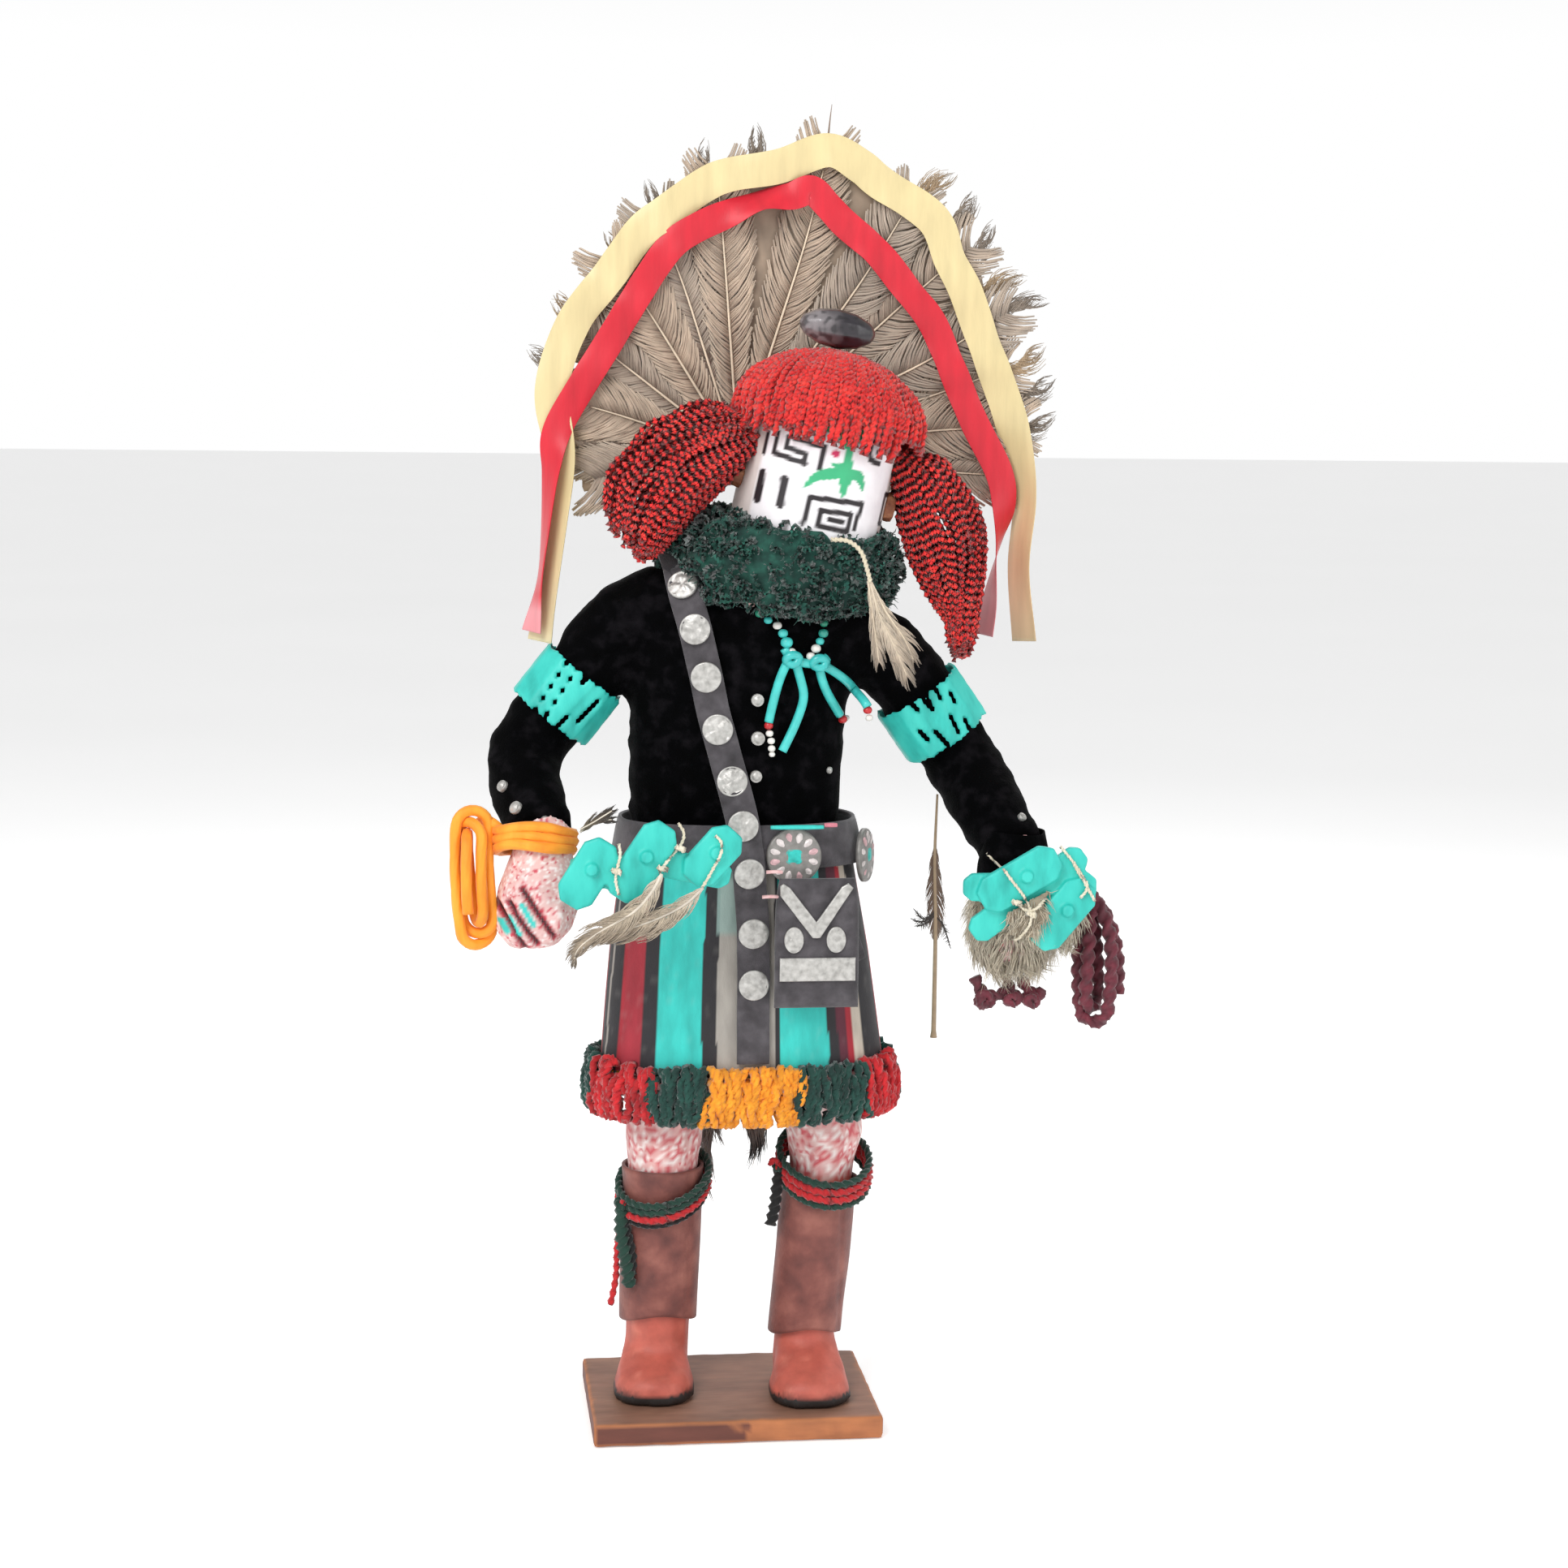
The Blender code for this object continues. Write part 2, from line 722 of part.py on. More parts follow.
TORSO = (  # height above the waist as a share of the body's length, centre x, half width, half depth
    (-0.064, 0.0005, 0.0345, 0.0205),
    (0.060, 0.0003, 0.0362, 0.0215),
    (0.260, 0.0003, 0.0372, 0.0222),
    (0.500, 0.0010, 0.0380, 0.0230),
    (0.700, 0.0055, 0.0430, 0.0235),
    (0.820, 0.0085, 0.0455, 0.0225),
    (0.910, 0.0115, 0.0385, 0.0205),
    (0.970, 0.0140, 0.0250, 0.0175),
    (1.000, 0.0155, 0.0170, 0.0150),
)
SHOULDER_SLOPE = math.radians(-9)  # the right shoulder is the lower one

ARMS = {
    "left": (
        (-0.0220, 0.0, 0.0790),
        (-0.0380, 0.0, 0.0720),
        (-0.0575, 0.0010, 0.0476),
        (-0.0715, 0.0, 0.0290),
        (-0.0715, -0.0150, 0.0160),
        (-0.0675, -0.0330, 0.0040),
    ),
    "right": (
        (0.0350, 0.0, 0.0680),
        (0.0520, 0.0, 0.0620),
        (0.0685, 0.0, 0.0410),
        (0.0800, 0.0, 0.0240),
        (0.0862, -0.0140, 0.0110),
        (0.0920, -0.0310, -0.0030),
    ),
}
SLEEVE_SHAPE = (1.12, 1.08, 1.0, 0.98, 0.95)  # shares of the sleeve's radius from shoulder to forearm


def arm_path(side):
    return smooth_path([high(*p) for p in ARMS[side]], SLEEVE_STEP)


def sleeve_radii():
    return [SLEEVE_RADIUS * share for share in SLEEVE_SHAPE] + [WRIST_RADIUS]


def sleeve_rings(side, extra=0.0):
    radii = [r + extra for r in sleeve_radii()]
    return limb_rings(arm_path(side), radii, radii, Vector((0, 1, 0)), SLEEVE_SIDES)


def make_torso(name, extra, finish):
    rings = []
    for share, x, half_width, half_depth in TORSO:
        slope = SHOULDER_SLOPE * max(0.0, share - 0.45) / 0.55
        side = Matrix.Rotation(-slope, 3, "Y") @ Vector((1, 0, 0))
        centre = high(x, 0, share * BODY_LENGTH + extra * (share > 0.9))
        rings.append(
            ring(centre, side, Vector((0, 1, 0)), half_width + extra, half_depth + extra, BODY_SIDES, 2.3)
        )
    return loft(name, rings, finish)


def make_shirt(velvet):
    shirt = make_torso("shirt", 0.0, velvet)
    sleeves = [loft(f"sleeve_{side}", sleeve_rings(side), velvet) for side in ARMS]
    return join(shirt, *sleeves)


def shirt_rooms(finish):
    """The torso and sleeves grown by the gap, to cut what rests on them."""
    rooms = [make_torso("torso_room", CUT_GAP, finish)]
    return rooms + [loft("sleeve_room", sleeve_rings(side, CUT_GAP), finish) for side in ARMS]


def stretch(points, share):
    centre = sum(points, Vector()) / len(points)
    return [centre + (p - centre) * share for p in points]


def make_armband(side, paint):
    """A band round the sleeve's upper half, made from the sleeve's own rings."""
    path = arm_path(side)
    middle = high(*ARMS[side][2])
    nearest = min(range(len(path)), key=lambda i: (path[i] - middle).length)
    half = tangents(path)[nearest] * ARMBAND_WIDTH / 2
    walls = []
    for extra in (GAP * 1.5, GAP * 1.5 + ARMBAND_WALL):
        section = stretch(sleeve_rings(side, extra)[nearest], ARMBAND_EASE)
        walls.append([[p + half * k for p in section] for k in (-1, 1)])
    inner, outer = walls
    return hoop(f"armband_{side}", outer, inner, paint)


# Hands and what they hold


HAND_STATIONS = (  # share of the hand's length, half width and half depth as shares of its width
    (0.20, 0.40, 0.38),
    (0.45, 0.50, 0.43),
    (0.68, 0.50, 0.45),
    (0.86, 0.44, 0.41),
    (1.00, 0.28, 0.24),
)


def make_hand(side, paint):
    """A closed fist: a wrist, the back of the hand and fingers bent under."""
    path = arm_path(side)
    forward = Vector((0, 1, 0))
    along = (path[-1] - path[-3]).normalized()
    down = (along * 0.3 - UP).normalized()
    inward = Vector((HAND_LEAN[side], 0, 0))
    across = down.cross(forward).normalized()
    start = path[-1] + along * GAP * 2
    wrist = WRIST_RADIUS * 0.9
    rings = [ring(start, *frames([path[-1], start], forward)[0], wrist, wrist, HAND_SIDES)]
    for share, half_width, half_depth in HAND_STATIONS:
        centre = start + down * HAND_LENGTH * share + inward * share
        flute = 0.05 if share > 0.5 else 0.0
        deep, wide = half_depth * HAND_WIDTH, half_width * HAND_WIDTH
        rings.append(ring(centre, forward, across, deep, wide, HAND_SIDES, 2.4, flute))
    return loft(f"hand_{side}", rings, paint)


def slat(name, start, end, width, thickness, finish):
    """A flat bar with rounded ends between two points, its face towards the front."""
    along = (end - start).normalized()
    across = Vector((0, 1, 0)).cross(along).normalized()
    half = width / 2
    outline = []
    for centre, sign in ((end, 1), (start, -1)):
        for k in range(4):
            angle = math.pi * (k / 3) - math.pi / 2
            outline.append(
                centre
                + along * (sign * (half * 0.7 * math.cos(angle) - half * 0.7))
                + across * half * math.sin(angle) * sign
            )
    deep = Vector((0, thickness / 2, 0))
    return loft(name, [[p + deep for p in outline], [p - deep for p in outline]], finish)


def peg(name, centre, finish):
    return domed(name, centre, Vector((0, -1, 0)), PEG_RADIUS, PEG_RADIUS, PEG_HEIGHT, finish, 7)


# Each lattice: where its middle is from the wrist, its rise, and its slats as
# (along, up, turn in degrees, length, in front or behind)
LATTICES = {
    "left": {
        "middle": (0.0299, -0.0192, -0.0069),
        "rise": math.radians(8),
        "slats": (
            (-0.0160, -0.0002, 50, 0.0255, 1),
            (0.0020, 0.0010, 48, 0.0300, 1),
            (0.0250, -0.0005, 40, 0.0230, 1),
            (-0.0080, -0.0025, -20, 0.0300, 0),
            (0.0150, -0.0030, -20, 0.0330, 0),
        ),
    },
    "right": {
        "middle": (0.0019, -0.0197, -0.0099),
        "rise": math.radians(24),
        "slats": (
            (-0.0020, 0.0055, 6, 0.0310, 1),
            (0.0065, -0.0115, 26, 0.0280, 1),
            (-0.0010, -0.0010, 12, 0.0470, 0),
            (0.0005, 0.0010, -24, 0.0460, 0),
        ),
    },
}


def make_lattice(side, paint):
    lattice = LATTICES[side]
    middle = arm_path(side)[-1] + Vector(lattice["middle"])
    turn = Matrix.Rotation(-lattice["rise"], 3, "Y")
    made = None
    for k, (along, up, angle, length, layer) in enumerate(lattice["slats"]):
        centre = middle + turn @ Vector((along, 0, up))
        centre.y -= layer * (SLAT_THICKNESS - SINK)
        direction = turn @ Matrix.Rotation(-math.radians(angle), 3, "Y") @ Vector((length / 2, 0, 0))
        width = SLAT_WIDTH if layer else SLAT_WIDTH * 0.72
        piece = slat(f"slat_{k}", centre - direction, centre + direction, width, SLAT_THICKNESS, paint)
        if layer:
            front = centre - Vector((0, SLAT_THICKNESS / 2 - SINK, 0)) + direction * 0.15
            join(piece, peg(f"peg_{k}", front, paint))
        made = join(made, piece) if made else piece
    made.name = f"lattice_{side}"
    return made


def make_yarn_wrap(side, yarn):
    """Yarn wound round the wrist, between the sleeve and the fist."""
    path = arm_path(side)
    along = tangents(path)[-1]
    centre = path[-1] - along * 0.0035
    sleeve = sleeve_rings(side)[-1]
    middle = sum(sleeve, Vector()) / len(sleeve)
    rings = []
    for i, point in enumerate(sleeve):
        out = (point - middle).normalized()
        edge = centre + out * (WRIST_RADIUS * 1.05 + GAP * 2)
        profile = []
        for k in range(5):
            turn = math.tau * k / 5
            profile.append(edge + out * 0.0020 * (1 + math.cos(turn)) + along * 0.0050 * math.sin(turn))
        rings.append(profile)
    return loop(f"yarn_wrap_{side}", rings, yarn)


def make_hank(name, points, widths, depths, finish, sides=10):
    path = smooth_path(points, 0.007)
    return limb(name, path, widths, depths, finish, sides=sides, flute=0.07)


def feather(name, points, widths, thickness, finish, step=0.007):
    """A flat feather: a lens-shaped section that follows its shaft, its width read along it."""
    face = Vector((0, -1, 0))
    path = smooth_path(points, step)
    rings = []
    for i, (point, along) in enumerate(zip(path, tangents(path))):
        across = along.cross(face).normalized()
        half = at(widths, i / (len(path) - 1))
        thick = max(thickness / 2 * min(1.0, half / 0.003), 0.0004)
        out = across.cross(along).normalized() * thick
        rings.append([point - across * half, point + out, point + across * half, point - out])
    return loft(name, rings, finish)


# Head, hair and ruff


def head_frame():
    axis = Matrix.Rotation(MASK_TILT, 3, "Y") @ UP
    side = Matrix.Rotation(MASK_TILT, 3, "Y") @ Vector((1, 0, 0))
    return axis, side


def make_mask(paint):
    axis, side = head_frame()
    rings = []
    for share, radius in ((-0.5, 0.96), (-0.46, 1.0), (0.0, 1.0), (0.44, 0.99), (0.5, 0.88)):
        centre = HEAD + axis * MASK_HEIGHT * share
        reach = MASK_RADIUS * radius
        rings.append(ring(centre, side, Vector((0, 1, 0)), reach, reach, MASK_SIDES))
    return loft("mask", rings, paint)


def make_ear(side, paint, mask):
    axis, across = head_frame()
    sign = -1 if side == "left" else 1
    centre = HEAD + across * sign * (MASK_RADIUS - 0.001) - axis * 0.006 + Vector((0, -0.004, 0))
    ear = domed(f"ear_{side}", centre, across * sign, EAR_SIZE * 0.7, EAR_SIZE, 0.0042, paint, 8)
    return keep_clear(ear, mask)


def make_hair_top(yarn, mask):
    """A cap of yarn: strands that fall from the crown over the brow."""
    axis, side = head_frame()
    # height along the head's axis, half width, half depth, shift back
    stations = (
        (0.0085, 0.0320, 0.0262, 0.000),
        (0.0150, 0.0335, 0.0272, 0.000),
        (0.0240, 0.0325, 0.0258, 0.000),
        (0.0320, 0.0270, 0.0220, 0.001),
        (0.0385, 0.0165, 0.0140, 0.002),
        (0.0410, 0.0060, 0.0050, 0.002),
    )
    rings = []
    for height, half_width, half_depth, back in stations:
        centre = HEAD + axis * height + Vector((0.0, back - 0.0035, 0))
        rings.append(ring(centre, side, Vector((0, 1, 0)), half_width, half_depth, CROWN_SIDES, 2.0, 0.025))
    return keep_clear(loft("hair_top", rings, yarn), mask)


SIDE_HAIR = {  # points from the middle of the head, and the radius at each
    "left": (
        (-0.0225, -0.004, 0.0120, 0.0090),
        (-0.0340, -0.007, 0.0110, 0.0145),
        (-0.0480, -0.010, 0.0030, 0.0170),
        (-0.0570, -0.010, -0.0080, 0.0170),
        (-0.0610, -0.009, -0.0200, 0.0130),
        (-0.0620, -0.008, -0.0300, 0.0050),
    ),
    "right": (
        (0.0250, -0.002, 0.0060, 0.0085),
        (0.0340, -0.004, -0.0020, 0.0130),
        (0.0415, -0.005, -0.0150, 0.0150),
        (0.0460, -0.005, -0.0310, 0.0125),
        (0.0500, -0.004, -0.0480, 0.0080),
        (0.0530, -0.003, -0.0620, 0.0030),
    ),
}


def side_hair(name, side, extra, yarn, flute=0.05):
    """A bundle of yarn strands beside the head; extra grows it, to cut its neighbours."""
    path = smooth_path([by_head(*p[:3]) for p in SIDE_HAIR[side]], 0.011)
    radii = [p[3] + extra for p in SIDE_HAIR[side]]
    return limb(name, path, [r * 0.85 for r in radii], radii, yarn, sides=HAIR_SIDES, flute=flute)


def make_ruff(yarn, strap_room, mask):
    """A thick lumpy collar of yarn loops, cut back from what it rests against."""
    centre = Vector((0.0150, -0.0020, COLLAR_Z - 0.0010))
    tilt = Matrix.Rotation(math.radians(4), 3, "Y")
    rings = []
    for i in range(RUFF_STEPS):
        angle = math.tau * i / RUFF_STEPS
        out = Vector((math.cos(angle), math.sin(angle), 0))
        middle = Vector((RUFF_REACH[0] * out.x, RUFF_REACH[1] * out.y, 0))
        section = []
        for k in range(RUFF_SIDES):
            turn = math.tau * k / RUFF_SIDES
            lump = 1 + 0.05 * math.sin(5 * angle + 3 * turn) + 0.04 * (1 if (i + k) % 2 else -1)
            away = RUFF_TUBE[0] * lump * math.cos(turn)
            rise = RUFF_TUBE[1] * lump * math.sin(turn)
            section.append(centre + tilt @ (middle + out * away + UP * rise))
        rings.append(section)
    ruff = loop("ruff", rings, yarn)
    cut_back(ruff, shirt_rooms(yarn))
    cut_back(ruff, [strap_room])
    cut_back(ruff, [side_hair("hair_room", side, HAIR_ROOM, yarn, flute=0.0) for side in SIDE_HAIR])
    return keep_clear(ruff, mask)


# Fan and ribbons

FAN_CENTRE = by_head(-0.0030, 0.0, 0.0220)


def fan_radius(angle):
    """The fan's reach at an angle; each feather's tip is round and the middle ones are longer."""
    base = FAN_SIDE_RADIUS + (FAN_TOP_RADIUS - FAN_SIDE_RADIUS) * max(0.0, math.sin(angle)) ** 2
    place = (angle - FAN_START) / (FAN_END - FAN_START) * FAN_FEATHERS
    across = 2 * (place - math.floor(place)) - 1
    tip = TIP_FEATHER if abs(angle - math.radians(84)) < math.radians(2) else 0.0
    return base * (1 - 0.035 * across**2) + tip


def make_fan(plumes):
    """Overlapping feathers fused in one plate, with a ridge along each shaft."""
    front = HEAD.y + MASK_RADIUS + GAP + 0.0012
    rings = []
    steps = FAN_FEATHERS * len(FAN_RIDGE)
    for i in range(steps + 1):
        angle = FAN_START + (FAN_END - FAN_START) * (i / steps)
        ridge = FAN_RIDGE[i % len(FAN_RIDGE)]
        reach = fan_radius(angle)
        out = Vector((math.cos(angle), 0, math.sin(angle)))
        section = []
        for share, lift in ((0.10, ridge), (0.80, ridge), (1.0, ridge * 0.2)):
            section.append(FAN_CENTRE + out * reach * share + Vector((0, front - FAN_CENTRE.y - lift, 0)))
        for share, thick in ((1.0, FAN_THICKNESS * 0.4), (0.10, FAN_THICKNESS)):
            section.append(FAN_CENTRE + out * reach * share + Vector((0, front - FAN_CENTRE.y + thick, 0)))
        rings.append(section)
    return loft("feather_fan", rings, plumes)


def ribbon(name, points, lift, finish):
    """A ribbon whose face is to the front: its width lies across its way in the fan's plane."""
    path = smooth_path([by_head(x, lift, z) for x, z in points], 0.018)
    for i, point in enumerate(path):
        point.y += 0.0002 * math.sin(i * 1.3)
    across = [along.cross(Vector((0, 1, 0))) for along in tangents(path)]
    return band(name, path, across, RIBBON_WIDTH / 2, RIBBON_THICKNESS / 2, finish)


CREAM_ROUTE = (
    (-0.0940, -0.0555),
    (-0.0900, -0.0190),
    (-0.0875, 0.0060),
    (-0.0855, 0.0290),
    (-0.0765, 0.0540),
    (-0.0550, 0.0850),
    (-0.0340, 0.0965),
    (-0.0100, 0.1010),
    (0.0120, 0.1040),
    (0.0340, 0.0930),
    (0.0515, 0.0670),
    (0.0660, 0.0350),
    (0.0755, 0.0120),
    (0.0785, -0.0150),
    (0.0770, -0.0580),
)
RED_ROUTE = (
    (-0.0960, -0.0540),
    (-0.0900, -0.0150),
    (-0.0855, 0.0175),
    (-0.0735, 0.0410),
    (-0.0585, 0.0610),
    (-0.0425, 0.0815),
    (-0.0230, 0.0920),
    (-0.0030, 0.0955),
    (0.0150, 0.0800),
    (0.0350, 0.0640),
    (0.0525, 0.0320),
    (0.0660, -0.0040),
    (0.0680, -0.0210),
    (0.0615, -0.0550),
)


# What is worn on the body

FRINGE_COLOURS = ("green", "red", "green", "gold", "green", "red", "green", "gold")
FRINGE_EDGES = (150, 192, 231, 255, 287, 319, 352, 390, 510)  # degrees round the kilt from +X


def make_fringes(look):
    for k, colour in enumerate(FRINGE_COLOURS):
        start, end = (math.radians(FRINGE_EDGES[k + i]) for i in (0, 1))
        make_fringe(f"fringe_{k + 1}", start + 0.01, end - 0.01, look[f"fringe {colour} yarn"])


def crossing(path, z):
    """The x where a path that falls passes a height."""
    upper, lower = next(pair for pair in zip(path, path[1:]) if pair[0].z >= z >= pair[1].z)
    return upper.x + (lower.x - upper.x) * (upper.z - z) / (upper.z - lower.z)


def make_bandolier(look, shirt, kilt, belt):
    """The strap with its discs, and a wider copy that cuts room for it in the ruff."""
    dress = surface(shirt, kilt, belt)
    lift = GAP * 2.5 + STRAP_THICKNESS / 2
    seats = [seat_on(dress, high(x, y, rise_of(share)), lift) for x, y, share in BANDOLIER_ROUTE]
    path = smooth_path([place for place, _ in seats], STRAP_STEP)
    normals = [seat_on(dress, point, lift)[1] for point in path]
    across = [along.cross(normal) for along, normal in zip(tangents(path), normals)]
    leather = look["charcoal leather"]
    strap = band("bandolier", path, across, STRAP_WIDTH / 2, STRAP_THICKNESS / 2, leather)
    room_width = STRAP_WIDTH / 2 + CUT_GAP
    room_thickness = STRAP_THICKNESS / 2 + DISC_THICKNESS + CUT_GAP
    room = band("strap_room", path, across, room_width, room_thickness, leather)
    keep_clear(strap, belt, kilt)
    cut_back(strap, shirt_rooms(leather))
    front = surface(strap)
    size = (DISC_RADIUS, DISC_RADIUS, DISC_THICKNESS)
    for k, share in enumerate(DISC_HEIGHTS):
        rise = rise_of(share)
        x = crossing([p for p in path if p.y < 0], WAIST_Z + rise)
        place, normal = hit_from(front, Vector((x, -1, WAIST_Z + rise)), 1)
        seat = place - normal * SINK
        join(strap, domed(f"disc_{k}", seat, normal, *size, look["silver sheet"], DISC_SIDES))
    return strap, room


def make_belt_plates(look, belt, bandolier):
    """Two round plates that hang on the belt, and two small bars on its upper edge."""
    front = surface(belt)
    seats = {
        "belt_concho": hit_from(front, high(CONCHO_X, -1, -0.0045), 1),
        "side_concho": front.find_nearest(high(0.080, -0.030, 0.0010))[:2],
    }
    for name, (place, normal) in seats.items():
        seat = place + normal * GAP * 2
        size = (CONCHO_RADIUS, CONCHO_RADIUS, CONCHO_THICKNESS)
        keep_clear(domed(name, seat, normal, *size, look["silver sheet"], 14), belt, bandolier)
    top = BELT_FOOT + BELT_HEIGHT
    bars = (
        ("belt_bar_turquoise", 0.0180, 0.0090, look["turquoise paint"]),
        ("belt_bar_pink", 0.0300, 0.0022, look["pink stone"]),
    )
    for name, x, half_width, finish in bars:
        outline = [(x - half_width, top - BAR_HEIGHT / 2), (x + half_width, top - BAR_HEIGHT / 2)]
        outline += [(x + half_width, top + BAR_HEIGHT / 2), (x - half_width, top + BAR_HEIGHT / 2)]
        back = front_of(front, x - half_width, top - BAR_HEIGHT) - GAP * 6 - CONCHO_THICKNESS
        plate(name, outline, back, back - BAR_THICKNESS, finish)


def make_pouch(look, bandolier):
    """A flat bag beside the strap, in front of the concho, with silver trim on its front."""
    leather, silver = look["charcoal leather"], look["silver sheet"]
    left = POUCH_STRAP_X + STRAP_WIDTH / 2 + GAP * 4
    right = left + POUCH_WIDTH
    top = BELT_FOOT - POUCH_DROP
    foot = top - POUCH_HEIGHT
    back = -KILT_HEM[1] - BELT_THICKNESS - CONCHO_THICKNESS - GAP * 2
    front = back - POUCH_THICKNESS
    outline = [(left, foot), (right, foot), (right, top - 0.004), (right - 0.0020, top), (left, top)]
    keep_clear(plate("pouch", outline, back, front, leather, 0.0005), bandolier)

    trim_back = front - GAP
    trim_front = trim_back - TRIM_THICKNESS
    middle = (left + right) / 2 + 0.0006
    chevron = [(left + 0.0012, top - 0.0012), (left + 0.0012, top - 0.0052), (middle, top - 0.0200)]
    chevron += [(right - 0.0024, top - 0.0052), (right - 0.0030, top - 0.0012), (middle, top - 0.0150)]
    plate("pouch_chevron", chevron, trim_back, trim_front, silver)
    bar_z = foot + POUCH_BAR_RISE
    corners = ((left, -1), (right, -1), (right, 1), (left, 1))
    half_bar = POUCH_BAR_HEIGHT / 2
    bar = [(x + (0.0014 if x == left else -0.0014), bar_z + up * half_bar) for x, up in corners]
    plate("pouch_bar", bar, trim_back, trim_front, silver)
    for name, x in (("pouch_disc_left", left + 0.0062), ("pouch_disc_right", right - 0.0080)):
        centre = Vector((x, trim_back, bar_z + half_bar + 0.0060))
        domed(name, centre, Vector((0, -1, 0)), *OVAL_SIZE, TRIM_THICKNESS, silver, 12)


HIP_TIE_ROUTE = ((0.046, -0.035, -0.024), (0.050, -0.030, -0.040), (0.055, -0.027, -0.0705))


def make_hip_tie(look, kilt):
    """A narrow strap down the right front of the kilt, with two silver ovals."""
    route = smooth_path([high(*p) for p in HIP_TIE_ROUTE], 0.008)
    path, normals = laid_on(surface(kilt), route, GAP * 2.5 + HIP_TIE_THICKNESS / 2)
    across = [along.cross(normal) for along, normal in zip(tangents(path), normals)]
    size = (HIP_TIE_WIDTH / 2, HIP_TIE_THICKNESS / 2)
    tie = band("hip_tie", path, across, *size, look["charcoal leather"])
    for share in (0.22, 0.52):
        k = round(share * (len(path) - 1))
        seat = path[k] + normals[k] * (HIP_TIE_THICKNESS / 2 - SINK)
        join(tie, domed("oval", seat, normals[k], 0.0034, 0.0058, DISC_THICKNESS, look["silver sheet"]))
    keep_clear(tie, kilt)


# Each strand: (x, height above the waist), to or from the knot
NECKLACE_KNOT = (0.0190, 0.0640)
NECKLACE_TOPS = (((0.0040, 0.0800), (0.0130, 0.0700)), ((0.0290, 0.0760), (0.0240, 0.0690)))
NECKLACE_LOOPS = (
    ((0.0120, 0.0520), (0.0080, 0.0400)),
    ((0.0180, 0.0480), (0.0125, 0.0310)),
    ((0.0290, 0.0540), (0.0350, 0.0430)),
    ((0.0320, 0.0590), (0.0420, 0.0470)),
)
CHEST_EDGE = 0.0320  # past it the chest turns back, and a strand hangs straight out from it


def until_near(tree, path, distance):
    """The path up to where it first comes nearer than the distance to a surface."""
    for i, point in enumerate(path):
        if tree.find_nearest(point)[3] < distance:
            return path[:i]
    return path


def make_necklace(look, shirt, bandolier, ruff):
    """Two strands from the ruff to a knot on the chest, and four that hang below it."""
    beads = look["turquoise beads"]
    chest = surface(shirt, bandolier)
    yarn = surface(ruff)
    facing = Vector((0, -1, 0))

    def on_chest(x, z, lift):
        return Vector((x, front_of(chest, min(x, CHEST_EDGE), z) - lift, z))

    knot = on_chest(NECKLACE_KNOT[0], WAIST_Z + NECKLACE_KNOT[1], 0.0026)
    made = domed("necklace", knot - facing * 0.0018, facing, 0.0026, 0.0022, 0.0036, beads, 7)
    for k, strand in enumerate(NECKLACE_TOPS + NECKLACE_LOOPS):
        route = [Vector((x, 0, WAIST_Z + z)) for x, z in strand]
        route.insert(0, Vector((knot.x, 0, knot.z)))
        step = BEAD_STEP if k >= len(NECKLACE_TOPS) else BEAD_STEP / 3
        path = [on_chest(p.x, p.z, BEAD_RADIUS + GAP * 3) for p in smooth_path(route, step)]
        path[0] = knot.copy()
        if k < len(NECKLACE_TOPS):
            path = until_near(yarn, path, BEAD_RADIUS + CUT_GAP)
        radii = [BEAD_RADIUS, BEAD_RADIUS]
        join(made, limb(f"strand_{k}", path, radii, radii, beads, sides=BEAD_SIDES))
        if k >= len(NECKLACE_TOPS):
            join(made, domed("tip", path[-1] - facing * 0.0014, facing, 0.0022, 0.0022, 0.0026, beads, 6))
    cut_back(made, shirt_rooms(beads))
    keep_clear(made, bandolier)


# What the hands hold, each from the wrist

DOWN_FEATHER = ((0.0555, -0.0080), (0.0475, -0.0190), (0.0295, -0.0280), (0.0085, -0.0365))
DOWN_FEATHER_WIDTHS = (0.0008, 0.0030, 0.0085, 0.0080, 0.0030, 0.0008)
TIP_FEATHER_ROUTE = ((0.0150, -0.0200, 0.0045), (0.0185, -0.0190, 0.0095))
TIP_FEATHER_WIDTHS = (0.0045, 0.0050, 0.0020)
ELBOW = (0.0722, 0.0040, 0.0120)
QUILL_DROPS = (0.0, 0.0300, 0.0400, 0.0520, 0.0600, 0.0880)
QUILL_WIDTHS = (0.0006, 0.0006, 0.0006, 0.0020, 0.0075, 0.0090, 0.0012, 0.0008, 0.0008)
GOLD_HANK = (
    (-0.0175, 0.003, 0.0010),
    (-0.0210, 0.002, 0.0065),
    (-0.0255, 0.000, 0.0020),
    (-0.0240, -0.004, -0.0120),
    (-0.0215, -0.006, -0.0260),
    (-0.0205, -0.007, -0.0370),
)
GOLD_HANK_WIDTHS = (0.004, 0.006, 0.0075, 0.0075, 0.007, 0.006)
GOLD_HANK_DEPTHS = (0.003, 0.0055, 0.006, 0.008, 0.009, 0.0075)
FUR_CUFF = ((0.0040, -0.0060, -0.0120), (0.0035, -0.0085, -0.0200), (0.0020, -0.0100, -0.0290))
FUR_CUFF_WIDTHS = (0.0170, 0.0185, 0.0150)
FUR_CUFF_DEPTHS = (0.0190, 0.0200, 0.0165)
MAROON_HANK = (
    (0.0220, -0.004, -0.0135),
    (0.0275, -0.006, -0.0240),
    (0.0290, -0.008, -0.0420),
    (0.0280, -0.009, -0.0590),
)
MAROON_HANK_WIDTHS = (0.003, 0.0055, 0.0065, 0.0055)
MAROON_HANK_DEPTHS = (0.0035, 0.0075, 0.0100, 0.0080)
MAROON_KNOTS = ((-0.0150, -0.0100, -0.0460), (-0.0040, -0.0100, -0.0480), (0.0060, -0.0100, -0.0500))
